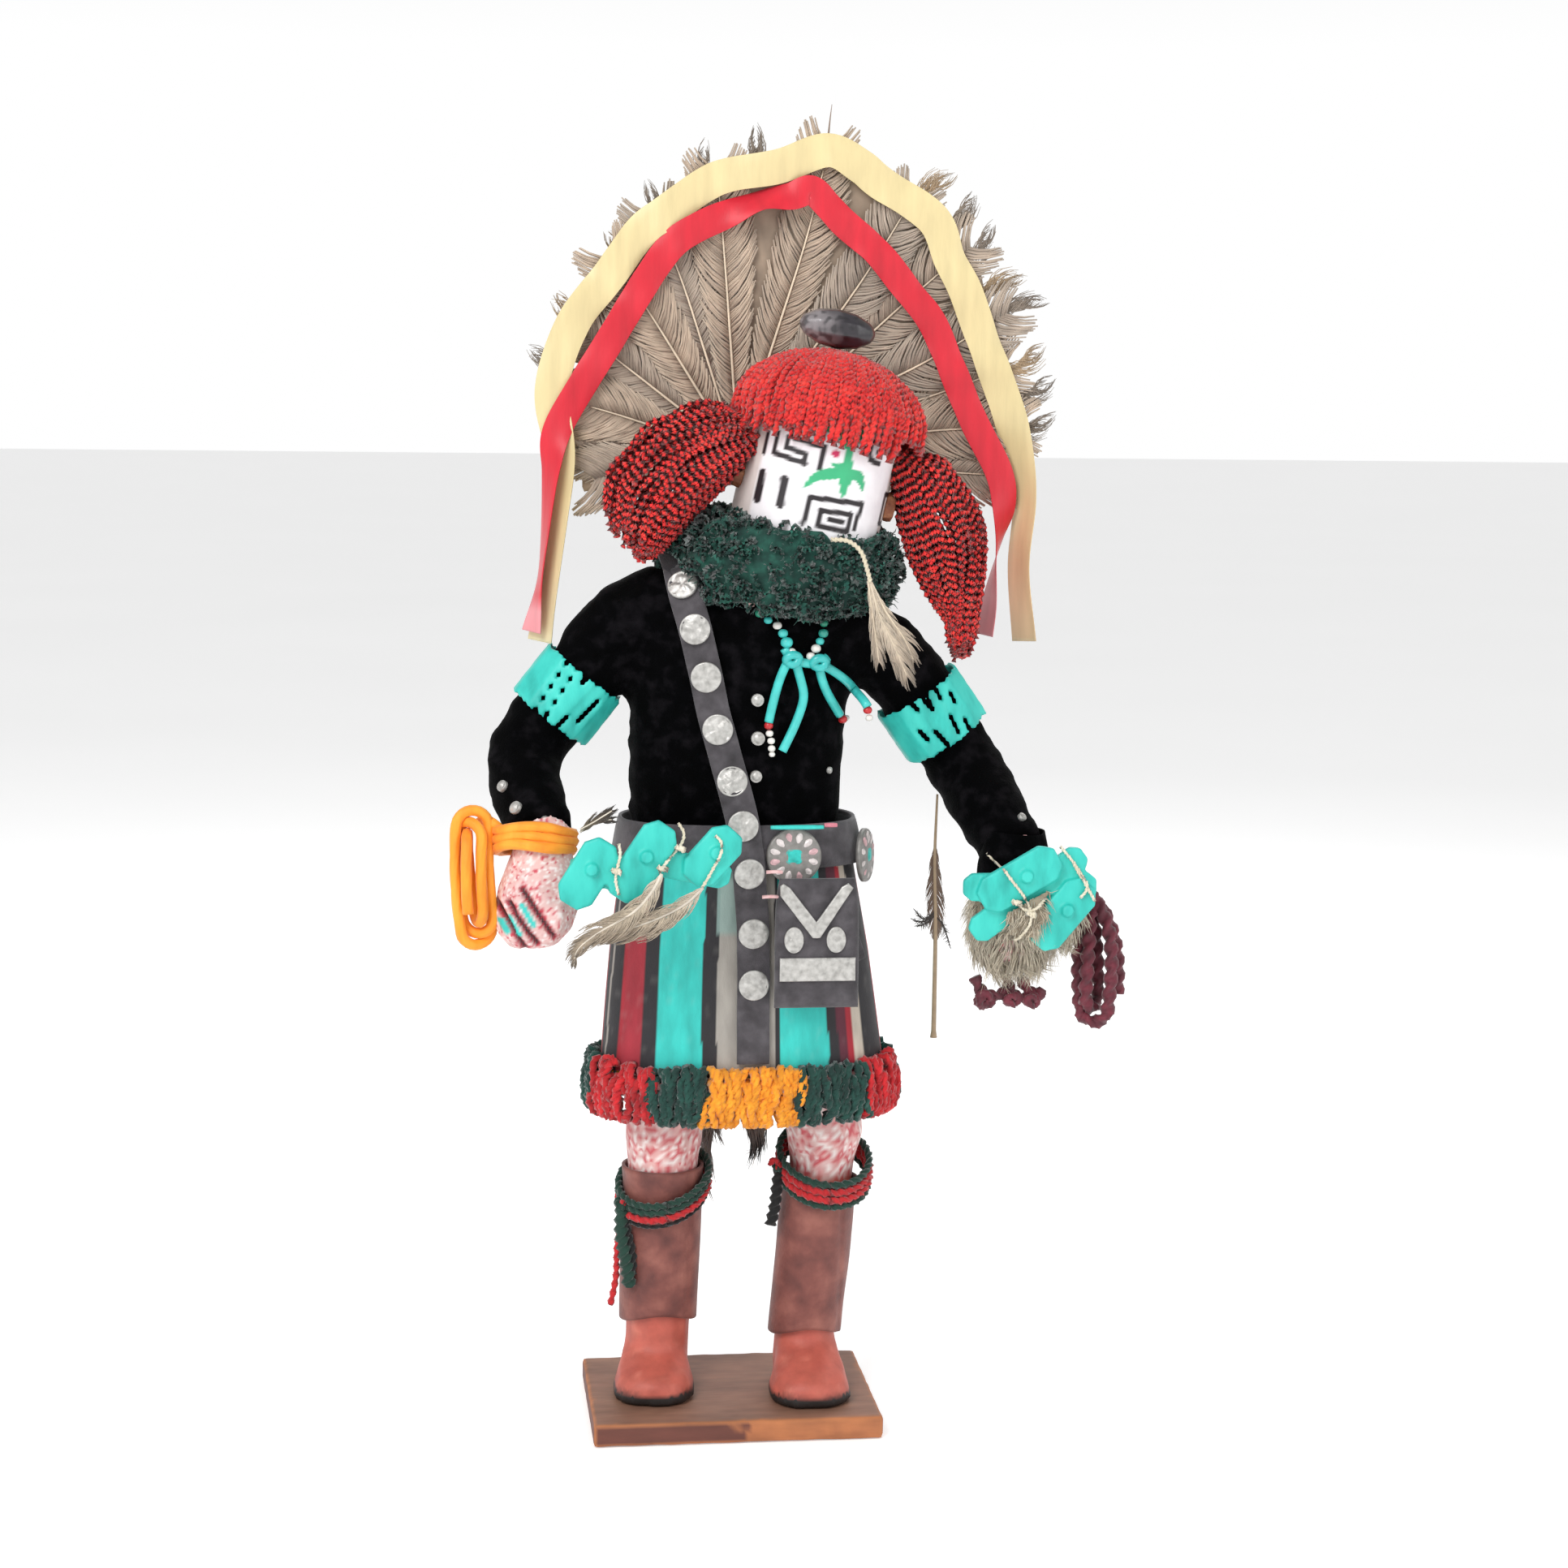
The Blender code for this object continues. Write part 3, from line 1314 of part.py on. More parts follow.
MAROON_STEM = ((-0.0040, -0.0090, -0.0360), (-0.0040, -0.0100, -0.0490))
STEM_RADII = (0.0024, 0.0020)
KNOT_RADII = (0.0030, 0.0045, 0.0038, 0.0045, 0.0025)


def along_wrist(wrist, points):
    return [wrist + Vector(p) for p in points]


def dress_left_hand(look, shirt, hand, lattice):
    """Gold yarn round the wrist and hanging from it, and two feathers on the lattice."""
    wrist = arm_path("left")[-1]
    gold = look["gold yarn"]
    wrap = keep_clear(make_yarn_wrap("left", gold), shirt, hand, lattice)
    points = along_wrist(wrist, GOLD_HANK)
    hank = make_hank("yarn_hank_left", points, GOLD_HANK_WIDTHS, GOLD_HANK_DEPTHS, gold)
    keep_clear(hank, wrap, hand, shirt)
    depth = LATTICES["left"]["middle"][1] - SLAT_THICKNESS * 2 - PEG_HEIGHT
    down = along_wrist(wrist, [(x, depth, z) for x, z in DOWN_FEATHER])
    feather("down_feather_left", down, DOWN_FEATHER_WIDTHS, 0.0026, look["feather down"])
    tip = along_wrist(wrist, TIP_FEATHER_ROUTE)
    tip_feather = feather("tip_feather_left", tip, TIP_FEATHER_WIDTHS, 0.0020, look["quill feather"], 0.004)
    keep_clear(tip_feather, lattice, hand)


def dress_right_hand(look, shirt, hand, lattice):
    """Fur round the fist, and a maroon cord: its hank beside the fist and its knots below."""
    wrist = arm_path("right")[-1]
    maroon = look["maroon cord"]
    path = smooth_path(along_wrist(wrist, FUR_CUFF), 0.009)
    fur = look["beige fur"]
    cuff = limb("fur_cuff_right", path, FUR_CUFF_WIDTHS, FUR_CUFF_DEPTHS, fur, sides=FUR_SIDES, flute=0.04)
    keep_clear(cuff, hand, gap=CUT_GAP * 1.7)
    keep_clear(cuff, lattice, shirt)
    points = along_wrist(wrist, MAROON_HANK)
    hank = make_hank("cord_hank_right", points, MAROON_HANK_WIDTHS, MAROON_HANK_DEPTHS, maroon)
    keep_clear(hank, cuff, hand)
    path = smooth_path(along_wrist(wrist, MAROON_KNOTS), 0.0045)
    knots = limb("cord_knots_right", path, KNOT_RADII, KNOT_RADII, maroon, sides=8)
    stem = along_wrist(wrist, MAROON_STEM)
    join(knots, limb("stem", stem, STEM_RADII, STEM_RADII, maroon, sides=6))
    keep_clear(knots, cuff, hand)


def make_elbow_feather(look, shirt):
    """A long quill that hangs from the right elbow: bare above, then a vane, then a bare tip."""
    quill = [high(*ELBOW) + Vector((0.0004 * k, 0, -drop)) for k, drop in enumerate(QUILL_DROPS)]
    made = feather("elbow_feather_right", quill, QUILL_WIDTHS, 0.0018, look["quill feather"])
    keep_clear(made, shirt)


# The head and what is behind it


def make_seed(look, hair_top):
    """A long oval seed that lies on the crown."""
    axis, side = head_frame()
    seat = HEAD + axis * 0.0485 + side * -0.0040
    lean = Matrix.Rotation(math.radians(8), 3, "Y")
    rings = []
    for k in range(7):
        turn = math.pi * k / 6
        size = max(math.sin(turn), 0.12)
        centre = seat + lean @ Vector((-SEED_SIZE[0] * math.cos(turn), 0, 0))
        rings.append(ring(centre, Vector((0, 1, 0)), UP, SEED_SIZE[1] * size, SEED_SIZE[2] * size, 9))
    keep_clear(loft("crown_seed", rings, look["seed coat"]), hair_top)


NECK_FEATHER_LIFT = 0.0022
NECK_FEATHER_WIDTHS = (0.0007, 0.0007, 0.0008, 0.0040, 0.0085, 0.0080, 0.0030)
PELT_WIDTHS = (0.0110, 0.0125, 0.0120, 0.0090, 0.0045, 0.0020)
PAW_WIDTHS = (0.0050, 0.0060, 0.0065, 0.0030)


def make_neck_feather(look, ruff):
    """A down feather on a string that starts on the ruff."""
    yarn = surface(ruff)

    def on_yarn(x, rise):
        z = COLLAR_Z + rise
        return Vector((x, front_of(yarn, x, z) - NECK_FEATHER_LIFT, z))

    start, edge = on_yarn(0.0300, 0.008), on_yarn(0.0375, -0.001)
    hang = [start, edge]
    for x, forward, drop in ((0.0025, -0.001, 0.013), (0.0055, 0.002, 0.026), (0.0125, 0.006, 0.035)):
        hang.append(edge + Vector((x, forward, -drop)))
    down = look["feather down"]
    made = feather("neck_feather", hang, NECK_FEATHER_WIDTHS, 0.0024, down)
    cut_back(made, [side_hair("hair_room", "right", HAIR_ROOM, down, flute=0.0)])


def make_pelt(look, *neighbours):
    """A strip of fur that hangs behind from the belt, with a paw beside it."""
    fur = look["grey pelt"]
    back = KILT_HEM[1] + FRINGE_THICKNESS + 0.0030
    tail = [high(-0.001, KILT_WAIST[1] + BELT_THICKNESS + 0.0045, -0.004), high(-0.002, back, -0.050)]
    tail += [Vector((-0.0030, back, HEM_Z - 0.014)), Vector((-0.0065, back - 0.002, HEM_Z - 0.057))]
    made = feather("fox_pelt", tail, PELT_WIDTHS, 0.0042, fur, step=0.016)
    paw = [Vector((x, back, HEM_Z - drop)) for x, drop in ((0.002, 0.004), (0.012, 0.026), (0.014, 0.043))]
    join(made, feather("paw", paw, PAW_WIDTHS, 0.0036, fur, step=0.010))
    keep_clear(made, *neighbours)


# The whole doll


def dress_legs(look):
    for side, leg in LEGS.items():
        make_leg(side, leg, look["leg paint"])
        make_legging(side, leg, look["brown leather"])
        make_garter(side, leg, look["garter yarn"])


def dress_body(look, shirt, kilt, belt):
    make_fringes(look)
    bandolier, strap_room = make_bandolier(look, shirt, kilt, belt)
    make_belt_plates(look, belt, bandolier)
    make_pouch(look, bandolier)
    make_hip_tie(look, kilt)
    make_pelt(look, kilt, belt, bandolier, bpy.data.objects["fringe_8"])
    return bandolier, strap_room


def dress_arms(look, shirt, bandolier):
    pouch = bpy.data.objects["pouch"]
    made = {}
    for side in ARMS:
        make_armband(side, look["turquoise paint"])
        hand = keep_clear(make_hand(side, look["speckled paint"]), shirt)
        lattice = make_lattice(side, look["turquoise paint"])
        made[side] = hand, keep_clear(lattice, hand, shirt, bandolier, pouch)
    dress_left_hand(look, shirt, *made["left"])
    dress_right_hand(look, shirt, *made["right"])
    make_elbow_feather(look, shirt)


def dress_head(look, mask, shirt, bandolier, strap_room):
    yarn = look["red yarn"]
    hair_top = make_hair_top(yarn, mask)
    for side in SIDE_HAIR:
        ear = make_ear(side, look["ear paint"], mask)
        hair = cut_back(side_hair(f"hair_{side}", side, 0.0, yarn), shirt_rooms(yarn))
        keep_clear(hair, mask, hair_top, ear)
    ruff = make_ruff(look["ruff yarn"], strap_room, mask)
    make_necklace(look, shirt, bandolier, ruff)
    make_neck_feather(look, ruff)
    make_seed(look, hair_top)
    make_fan(look["fan feathers"])
    ribbon("ribbon_red", RED_ROUTE, MASK_RADIUS - 0.0034, look["red satin"])
    ribbon("ribbon_cream", CREAM_ROUTE, MASK_RADIUS - 0.0020, look["cream satin"])


FINISHES = {  # colour, roughness and, for metal, 1
    "base wood": ((0.32, 0.18, 0.12), 0.6),
    "leg paint": ((0.62, 0.25, 0.20), 0.6),
    "brown leather": ((0.22, 0.08, 0.06), 0.7),
    "garter yarn": ((0.45, 0.03, 0.05), 0.9),
    "black velvet": ((0.01, 0.01, 0.01), 0.9),
    "kilt cloth": ((0.05, 0.60, 0.55), 0.8),
    "fringe red yarn": ((0.60, 0.03, 0.04), 0.9),
    "fringe green yarn": ((0.01, 0.07, 0.06), 0.9),
    "fringe gold yarn": ((0.85, 0.38, 0.03), 0.9),
    "charcoal leather": ((0.05, 0.045, 0.05), 0.6),
    "silver sheet": ((0.55, 0.54, 0.52), 0.35, 1.0),
    "turquoise paint": ((0.03, 0.62, 0.55), 0.4),
    "pink stone": ((0.60, 0.25, 0.30), 0.4),
    "speckled paint": ((0.80, 0.60, 0.58), 0.6),
    "gold yarn": ((0.95, 0.38, 0.02), 0.8),
    "maroon cord": ((0.15, 0.01, 0.03), 0.6),
    "beige fur": ((0.48, 0.38, 0.30), 0.9),
    "feather down": ((0.42, 0.34, 0.27), 0.9),
    "quill feather": ((0.20, 0.13, 0.09), 0.8),
    "turquoise beads": ((0.04, 0.58, 0.55), 0.3),
    "mask paint": ((0.80, 0.80, 0.78), 0.6),
    "ear paint": ((0.25, 0.08, 0.04), 0.6),
    "red yarn": ((0.75, 0.04, 0.03), 0.9),
    "ruff yarn": ((0.01, 0.06, 0.05), 0.95),
    "fan feathers": ((0.50, 0.36, 0.27), 0.9),
    "cream satin": ((0.75, 0.62, 0.36), 0.4),
    "red satin": ((0.65, 0.02, 0.05), 0.4),
    "seed coat": ((0.05, 0.05, 0.055), 0.3),
    "grey pelt": ((0.30, 0.26, 0.25), 0.95),
}


def make_doll():
    look = {name: material(name, *values) for name, values in FINISHES.items()}
    make_base(look["base wood"])
    dress_legs(look)
    mask = make_mask(look["mask paint"])
    shirt = keep_clear(make_shirt(look["black velvet"]), mask)
    kilt = make_kilt(look["kilt cloth"])
    belt = make_belt(look["charcoal leather"])
    bandolier, strap_room = dress_body(look, shirt, kilt, belt)
    dress_arms(look, shirt, bandolier)
    dress_head(look, mask, shirt, bandolier, strap_room)


for thing in list(bpy.data.objects):
    bpy.data.objects.remove(thing)
make_doll()
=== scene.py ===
# %% [markdown]
# A kachina doll, dressed for the camera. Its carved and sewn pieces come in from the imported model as
# plain solids; every cell below gives one of them its real surface. What a carver would cut or paint is
# made from a finer copy of the solid. What is spun, sewn or plucked, such as yarn, satin and feathers,
# is built strand by strand, because that is how it is made, and light catches every strand.

# %% Load the frame and note its box
import math
import random

import bmesh
import bpy
import numpy as np
from mathutils import Matrix, Vector, noise
from mathutils.bvhtree import BVHTree


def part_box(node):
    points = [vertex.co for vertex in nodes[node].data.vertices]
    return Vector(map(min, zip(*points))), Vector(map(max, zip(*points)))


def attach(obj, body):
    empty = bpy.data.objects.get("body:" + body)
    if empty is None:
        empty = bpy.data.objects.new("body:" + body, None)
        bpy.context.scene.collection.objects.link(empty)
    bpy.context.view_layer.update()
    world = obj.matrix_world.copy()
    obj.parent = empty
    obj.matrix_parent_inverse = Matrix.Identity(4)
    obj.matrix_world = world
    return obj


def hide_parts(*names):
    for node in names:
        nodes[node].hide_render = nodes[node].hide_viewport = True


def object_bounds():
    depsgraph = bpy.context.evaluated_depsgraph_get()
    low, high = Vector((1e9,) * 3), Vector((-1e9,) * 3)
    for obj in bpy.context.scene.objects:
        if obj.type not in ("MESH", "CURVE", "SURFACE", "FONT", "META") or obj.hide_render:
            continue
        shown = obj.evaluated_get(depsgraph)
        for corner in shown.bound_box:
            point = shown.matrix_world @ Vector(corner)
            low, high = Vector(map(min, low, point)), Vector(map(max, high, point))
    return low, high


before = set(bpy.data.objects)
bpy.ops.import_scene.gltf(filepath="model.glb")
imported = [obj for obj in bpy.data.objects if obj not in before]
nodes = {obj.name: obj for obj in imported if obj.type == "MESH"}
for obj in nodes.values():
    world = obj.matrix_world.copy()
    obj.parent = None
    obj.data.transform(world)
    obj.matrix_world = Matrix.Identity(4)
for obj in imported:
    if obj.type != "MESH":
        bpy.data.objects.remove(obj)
cad_box = [list(corner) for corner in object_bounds()]
MM = 0.001
print(len(nodes), "solids,", [round((b - a) / MM) for a, b in zip(*cad_box)], "mm over all")

# %% [markdown]
# The camera comes early, so that every later piece can be judged from the photograph's place. It stands
# about a metre away, a little to the left and above, with a mild telephoto lens. The numbers that aim it
# were found by matching known corners of the base, the kilt and the mask.

# %% Camera
EYE = Vector((-105.96, -980.15, 352.87)) * MM
YAW, PITCH, ROLL = (math.radians(a) for a in (-7.172, -7.4635, 0.635))

look = Vector((-math.sin(YAW) * math.cos(PITCH), math.cos(YAW) * math.cos(PITCH), math.sin(PITCH)))
level = Vector((math.cos(YAW), math.sin(YAW), 0))
upright = level.cross(look)
right = level * math.cos(ROLL) + upright * math.sin(ROLL)
top = upright * math.cos(ROLL) - level * math.sin(ROLL)
camera = bpy.data.objects.new("camera", bpy.data.cameras.new("camera"))
bpy.context.collection.objects.link(camera)
camera.data.lens = 66.09
camera.data.sensor_width = 36
camera.data.clip_start = 0.01
camera.matrix_world = Matrix.Translation(EYE) @ Matrix((right, top, -look)).transposed().to_4x4()
bpy.context.scene.camera = camera
print("the camera looks along", [round(c, 3) for c in look])

# %% [markdown]
# The photograph has the even, white light of a product table: one broad lamp above and to the left, a
# weaker one on the right, and white all round, so that shadows are short and soft. Area lamps give that
# softness, because a shadow's edge is as wide as its lamp looks from there. The white room is brightest
# at eye level, where the camera sees it, and dimmer overhead, so that shadows keep some depth.

# %% Floor and light
FLOOR_SIZE = 40.0
LAMPS = (  # place, aim height, side length, power in watts
    ((-0.75, -1.10, 1.25), 0.22, 0.8, 17),
    ((1.10, -0.80, 0.75), 0.22, 0.9, 4),
    ((0.30, 0.90, 1.10), 0.30, 0.8, 5),
)
SKY_AT_HORIZON, SKY_OVERHEAD = 1.0, 0.50


def lamp(place, aim, side, power):
    light = bpy.data.lights.new("lamp", "AREA")
    light.size = side
    light.energy = power
    made = bpy.data.objects.new("lamp", light)
    made.location = place
    made.rotation_euler = (Vector((0, 0, aim)) - Vector(place)).to_track_quat("-Z", "Y").to_euler()
    bpy.context.collection.objects.link(made)


for place, aim, side, power in LAMPS:
    lamp(place, aim, side, power)
world = bpy.data.worlds.new("white room")
world.use_nodes = True
sky = world.node_tree.nodes
where = sky.new("ShaderNodeTexCoord")
height = sky.new("ShaderNodeSeparateXYZ")
fade = sky.new("ShaderNodeMapRange")
fade.inputs["From Min"].default_value, fade.inputs["From Max"].default_value = 0.12, 0.50
fade.inputs["To Min"].default_value, fade.inputs["To Max"].default_value = SKY_AT_HORIZON, SKY_OVERHEAD
world.node_tree.links.new(where.outputs["Generated"], height.inputs[0])
world.node_tree.links.new(height.outputs["Z"], fade.inputs["Value"])
world.node_tree.links.new(fade.outputs[0], sky["Background"].inputs["Strength"])
sky["Background"].inputs["Color"].default_value = (1, 1, 1, 1)
bpy.context.scene.world = world
bpy.context.scene.view_settings.view_transform = "Standard"

half = FLOOR_SIZE / 2
floor_mesh = bpy.data.meshes.new("floor")
floor_mesh.from_pydata([(-half, -half, 0), (half, -half, 0), (half, half, 0), (-half, half, 0)], [], [(0, 1, 2, 3)])
floor = bpy.data.objects.new("floor", floor_mesh)
floor.location.z = cad_box[0][2] - 0.0002
bpy.context.collection.objects.link(floor)
print(len(LAMPS), "lamps over a floor of", FLOOR_SIZE, "m")

# %% [markdown]
# Every finish here is a mix of the same few things: a colour that drifts, a fine grain that catches
# light, and how rough or shiny the surface is. One helper makes that mix with noise textures in the
# doll's own space, so no picture is needed. Stretching the noise along an axis turns grain into fibre.

# %% Finishes


def tone(level):
    """A share of full brightness, from the 0 to 255 of a colour picker to linear light."""
    share = level / 255
    return share / 12.92 if share <= 0.04045 else ((share + 0.055) / 1.055) ** 2.4


def rgb(r, g, b):
    return (tone(r), tone(g), tone(b), 1)


def add_node(finish, kind, inputs=(), **settings):
    made = finish.node_tree.nodes.new(kind)
    for name, value in settings.items():
        setattr(made, name, value)
    for key, value in dict(inputs).items():
        if isinstance(value, bpy.types.NodeSocket):
            finish.node_tree.links.new(value, made.inputs[key])
        else:
            made.inputs[key].default_value = value
    return made


def join_sockets(finish, source, target):
    finish.node_tree.links.new(source, target)


def own_space(finish, stretch=(1, 1, 1)):
    """The doll's own coordinates, in metres, stretched."""
    where = add_node(finish, "ShaderNodeTexCoord")
    return add_node(finish, "ShaderNodeMapping", {"Vector": where.outputs["Object"], "Scale": stretch}).outputs[0]


def mottle(finish, vector, size, colours, detail=4, contrast=0.5):
    """Noise read through evenly spaced colours; size is that of its patches in metres."""
    cloud = add_node(finish, "ShaderNodeTexNoise", {"Vector": vector, "Scale": 1 / size, "Detail": detail})
    ramp = add_node(finish, "ShaderNodeValToRGB", {"Fac": cloud.outputs[0]})
    low, high = 0.5 - contrast / 2, 0.5 + contrast / 2
    stops = ramp.color_ramp.elements
    while len(stops) < len(colours):
        stops.new(0.5)
    for k, colour in enumerate(colours):
        stops[k].position = low + (high - low) * k / max(1, len(colours) - 1)
        stops[k].color = colour
    return ramp.outputs["Color"]


def grain(finish, vector, size, depth, detail=3):
    """A bump whose grains are about size across and depth high, both in metres."""
    cloud = add_node(finish, "ShaderNodeTexNoise", {"Vector": vector, "Scale": 1 / size, "Detail": detail})
    bump = add_node(finish, "ShaderNodeBump", {"Height": cloud.outputs[0], "Strength": 1.0, "Distance": depth})
    join_sockets(finish, bump.outputs[0], finish.node_tree.nodes["Principled BSDF"].inputs["Normal"])
    return bump


def make_finish(name, colours, patch=0.02, roughness=0.6, fine=0.0006, depth=0.0001, **more):
    """A material: colours drift over patches, grains are fine across. more may hold stretch, vary
    (how much strands differ in brightness), paint (colours come from the mesh) and shader sockets."""
    finish = bpy.data.materials.new(name)
    finish.use_nodes = True
    shader = finish.node_tree.nodes["Principled BSDF"]
    stretch, vary, paint = (more.pop(key, value) for key, value in (("stretch", (1, 1, 1)), ("vary", 0), ("paint", 0)))
    shader.inputs["Roughness"].default_value = roughness
    for socket, value in more.items():
        shader.inputs[socket.replace("_", " ")].default_value = value
    vector = own_space(finish, stretch)
    colour = mottle(finish, vector, patch, colours)
    if paint:
        coat = add_node(finish, "ShaderNodeVertexColor", layer_name="paint").outputs["Color"]
        mix = add_node(finish, "ShaderNodeMix", data_type="RGBA", blend_type="MULTIPLY")
        mix.inputs["Factor"].default_value = 1
        join_sockets(finish, coat, mix.inputs[6])
        join_sockets(finish, colour, mix.inputs[7])
        colour = mix.outputs[2]
    if vary:
        island = add_node(finish, "ShaderNodeNewGeometry").outputs["Random Per Island"]
        light = add_node(finish, "ShaderNodeMapRange", {"Value": island, "To Min": 1 - vary, "To Max": 1 + vary})
        shift = add_node(finish, "ShaderNodeHueSaturation", {"Color": colour, "Value": light.outputs[0]})
        colour = shift.outputs[0]
    join_sockets(finish, colour, shader.inputs["Base Color"])
    grain(finish, vector, fine, depth)
    return finish


floor_finish = make_finish("pale floor", [rgb(246, 246, 246), rgb(250, 250, 250)], 0.5, 0.8, Emission_Strength=0.30)
floor_mesh.materials.append(floor_finish)
print("the floor is", floor_finish.name)

# %% [markdown]
# Two ways to make a piece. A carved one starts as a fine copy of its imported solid: a voxel remesh lays a
# net of small squares over it, and smoothing takes the facets away, so that paint and dents can be put
# on point by point. A spun or sewn one is built from arrays of points, with closed ends.

# %% Pieces from arrays and from solids


def piece(name, points, faces, finish, slot, *replaced):
    """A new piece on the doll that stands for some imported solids, or for none."""
    mesh = bpy.data.meshes.new(name)
    mesh.from_pydata(np.asarray(points).reshape(-1, 3).tolist(), [], faces)
    mesh.materials.append(finish)
    mesh.shade_smooth()
    made = bpy.data.objects.new(name, mesh)
    bpy.context.collection.objects.link(made)
    settle(made, slot, *replaced)
    return made


def settle(made, slot, *replaced):
    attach(made, "root")
    if replaced:
        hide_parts(*replaced)


def baked(made):
    """Give the piece the mesh that its modifiers make."""
    graph = bpy.context.evaluated_depsgraph_get()
    mesh = bpy.data.meshes.new_from_object(made.evaluated_get(graph))
    made.modifiers.clear()
    made.data = mesh
    mesh.shade_smooth()


def finer(node, voxel, finish, slot, rounds=8, name=None):
    """A smooth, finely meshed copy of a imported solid, which it replaces."""
    made = bpy.data.objects.new(name or node + "_skin", nodes[node].data.copy())
    bpy.context.collection.objects.link(made)
    remesh = made.modifiers.new("net", "REMESH")
    remesh.mode = "VOXEL"
    remesh.voxel_size = voxel
    smooth = made.modifiers.new("soft", "SMOOTH")
    smooth.iterations = rounds
    smooth.factor = 0.5
    baked(made)
    made.data.materials.clear()
    made.data.materials.append(finish)
    settle(made, slot, node)
    return made


def points_of(made):
    flat = np.empty(len(made.data.vertices) * 3)
    made.data.vertices.foreach_get("co", flat)
    return flat.reshape(-1, 3)


def normals_of(made):
    flat = np.empty(len(made.data.vertices) * 3)
    made.data.vertices.foreach_get("normal", flat)
    return flat.reshape(-1, 3)


def move_points(made, points):
    made.data.vertices.foreach_set("co", np.asarray(points).ravel())
    made.data.update()


def paint(made, colours):
    """A colour for each point of the mesh, for finishes made with paint."""
    layer = made.data.color_attributes.new("paint", "FLOAT_COLOR", "POINT")
    layer.data.foreach_set("color", np.asarray(colours, dtype=float).ravel())


def clouds(points, size, seed=0.0):
    """Smooth noise from -1 to 1 at many points."""
    shift = Vector((seed * 13.7, seed * 7.1, seed * 3.3))
    return np.array([noise.noise(Vector(p) / size + shift) for p in points])


def near(value, edge, blur):
    """1 below the edge and 0 above it, with a soft step between."""
    return np.clip((edge - value) / blur + 0.5, 0, 1)


def blend_colours(base, over, share):
    share = np.asarray(share)[:, None]
    return base * (1 - share) + np.asarray(over) * share


print("helpers for", [f.__name__ for f in (piece, finer, paint)])

# %% [markdown]
# The base is a plain board. It was stained dark brown and then handled for years, so the stain has worn
# to a dusty tan on top, and bare wood shows along the edges and on the right half of the front. It is
# built as a net of squares over a box whose edges are rounded, so that wear can follow the edges.

# %% Base
low, high = (np.array(corner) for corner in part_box("base"))
EDGE = 0.0013  # rounding of the board's edges
STAIN, BARE, DUSTY = rgb(112, 62, 50), rgb(196, 122, 74), rgb(158, 118, 96)


def board(low, high, cell, edge):
    """Points and faces of a box in small squares, its edges rounded."""
    mesh = bmesh.new()
    bmesh.ops.create_cube(mesh, size=1)
    for vertex in mesh.verts:
        vertex.co = Vector((low + high) / 2 + np.array(vertex.co) * (high - low))
    for axis in range(3):
        count = int((high - low)[axis] / cell)
        for k in range(1, count):
            plane = low.copy()
            plane[axis] += (high - low)[axis] * k / count
            normal = [0, 0, 0]
            normal[axis] = 1
            geometry = mesh.verts[:] + mesh.edges[:] + mesh.faces[:]
            bmesh.ops.bisect_plane(mesh, geom=geometry, plane_co=plane, plane_no=normal)
    points = np.array([v.co[:] for v in mesh.verts])
    faces = [[v.index for v in f.verts] for f in mesh.faces]
    mesh.free()
    inner = np.clip(points, low + edge, high - edge)
    away = points - inner
    length = np.linalg.norm(away, axis=1, keepdims=True)
    round_off = inner + away / np.maximum(length, 1e-9) * edge
    return np.where(length > edge, round_off, points), faces


base_finish = make_finish(
    "worn stained wood",
    [rgb(200, 200, 200), rgb(255, 255, 255)],
    0.006,
    0.62,
    0.0016,
    0.00012,
    stretch=(0.25, 1, 1),
    paint=True,
)
points, faces = board(low, high, 0.0015, EDGE)
from_edge = np.sort(np.minimum(points - low, high - points), axis=1)[:, 1]
worn = clouds(points, 0.004) * 0.5 + clouds(points, 0.013, 1) * 0.5
points += (clouds(points, 0.006, 2) * 0.00018 * near(from_edge, 0.0015, 0.001))[:, None]
base = piece("base_board", points, faces, base_finish, "base_wood", "base")
on_top = near(high[2] - points[:, 2], 0.0006, 0.0004)
coat = np.tile(STAIN, (len(points), 1))
coat = blend_colours(coat, DUSTY, on_top * (0.80 + 0.25 * worn).clip(0, 1))
in_front = near(points[:, 1], low[1] + 0.0012, 0.001)
bare_right = in_front * near(0.002 + worn * 0.012, points[:, 0], 0.001)
coat = blend_colours(coat, BARE, bare_right * (0.8 + worn * 0.4).clip(0, 1) * near(from_edge, 0.0034 + 0.004, 0.002))
coat = blend_colours(coat, BARE, near(from_edge, 0.0010 + worn * 0.0012, 0.0005) * 0.9)
paint(base, coat)
print("base:", len(faces), "squares,", round(float((coat[:, 0] > 0.4).mean()), 2), "of it worn bare")

# %% [markdown]
# Each leg is one carving: a moccasin with a black sole, a shin that hides in its legging, and a knee
# painted flesh pink under a crackle of white. The finer copy of the solid is painted by height: black to
# the top of the sole, terracotta above it, and pink specks from just under the knee.

# %% Legs
SOLE_TOP = 0.0125
KNEE_PAINT = 0.088
TERRACOTTA, SOLE, FLESH = rgb(196, 98, 82), rgb(34, 30, 29), rgb(226, 176, 172)
leg_finish = make_finish(
    "matt paint", [rgb(222, 222, 222), rgb(255, 255, 255)], 0.005, 0.55, 0.0009, 0.00010, paint=True
)


def speckled(points, base, dot, size, amount, seed):
    """Small irregular specks of one colour over another."""
    specks = clouds(points, size, seed) + 0.5 * clouds(points, size * 0.45, seed + 3)
    return blend_colours(base, dot, np.clip((specks - 1 + amount * 1.4) * 4, 0, 1))


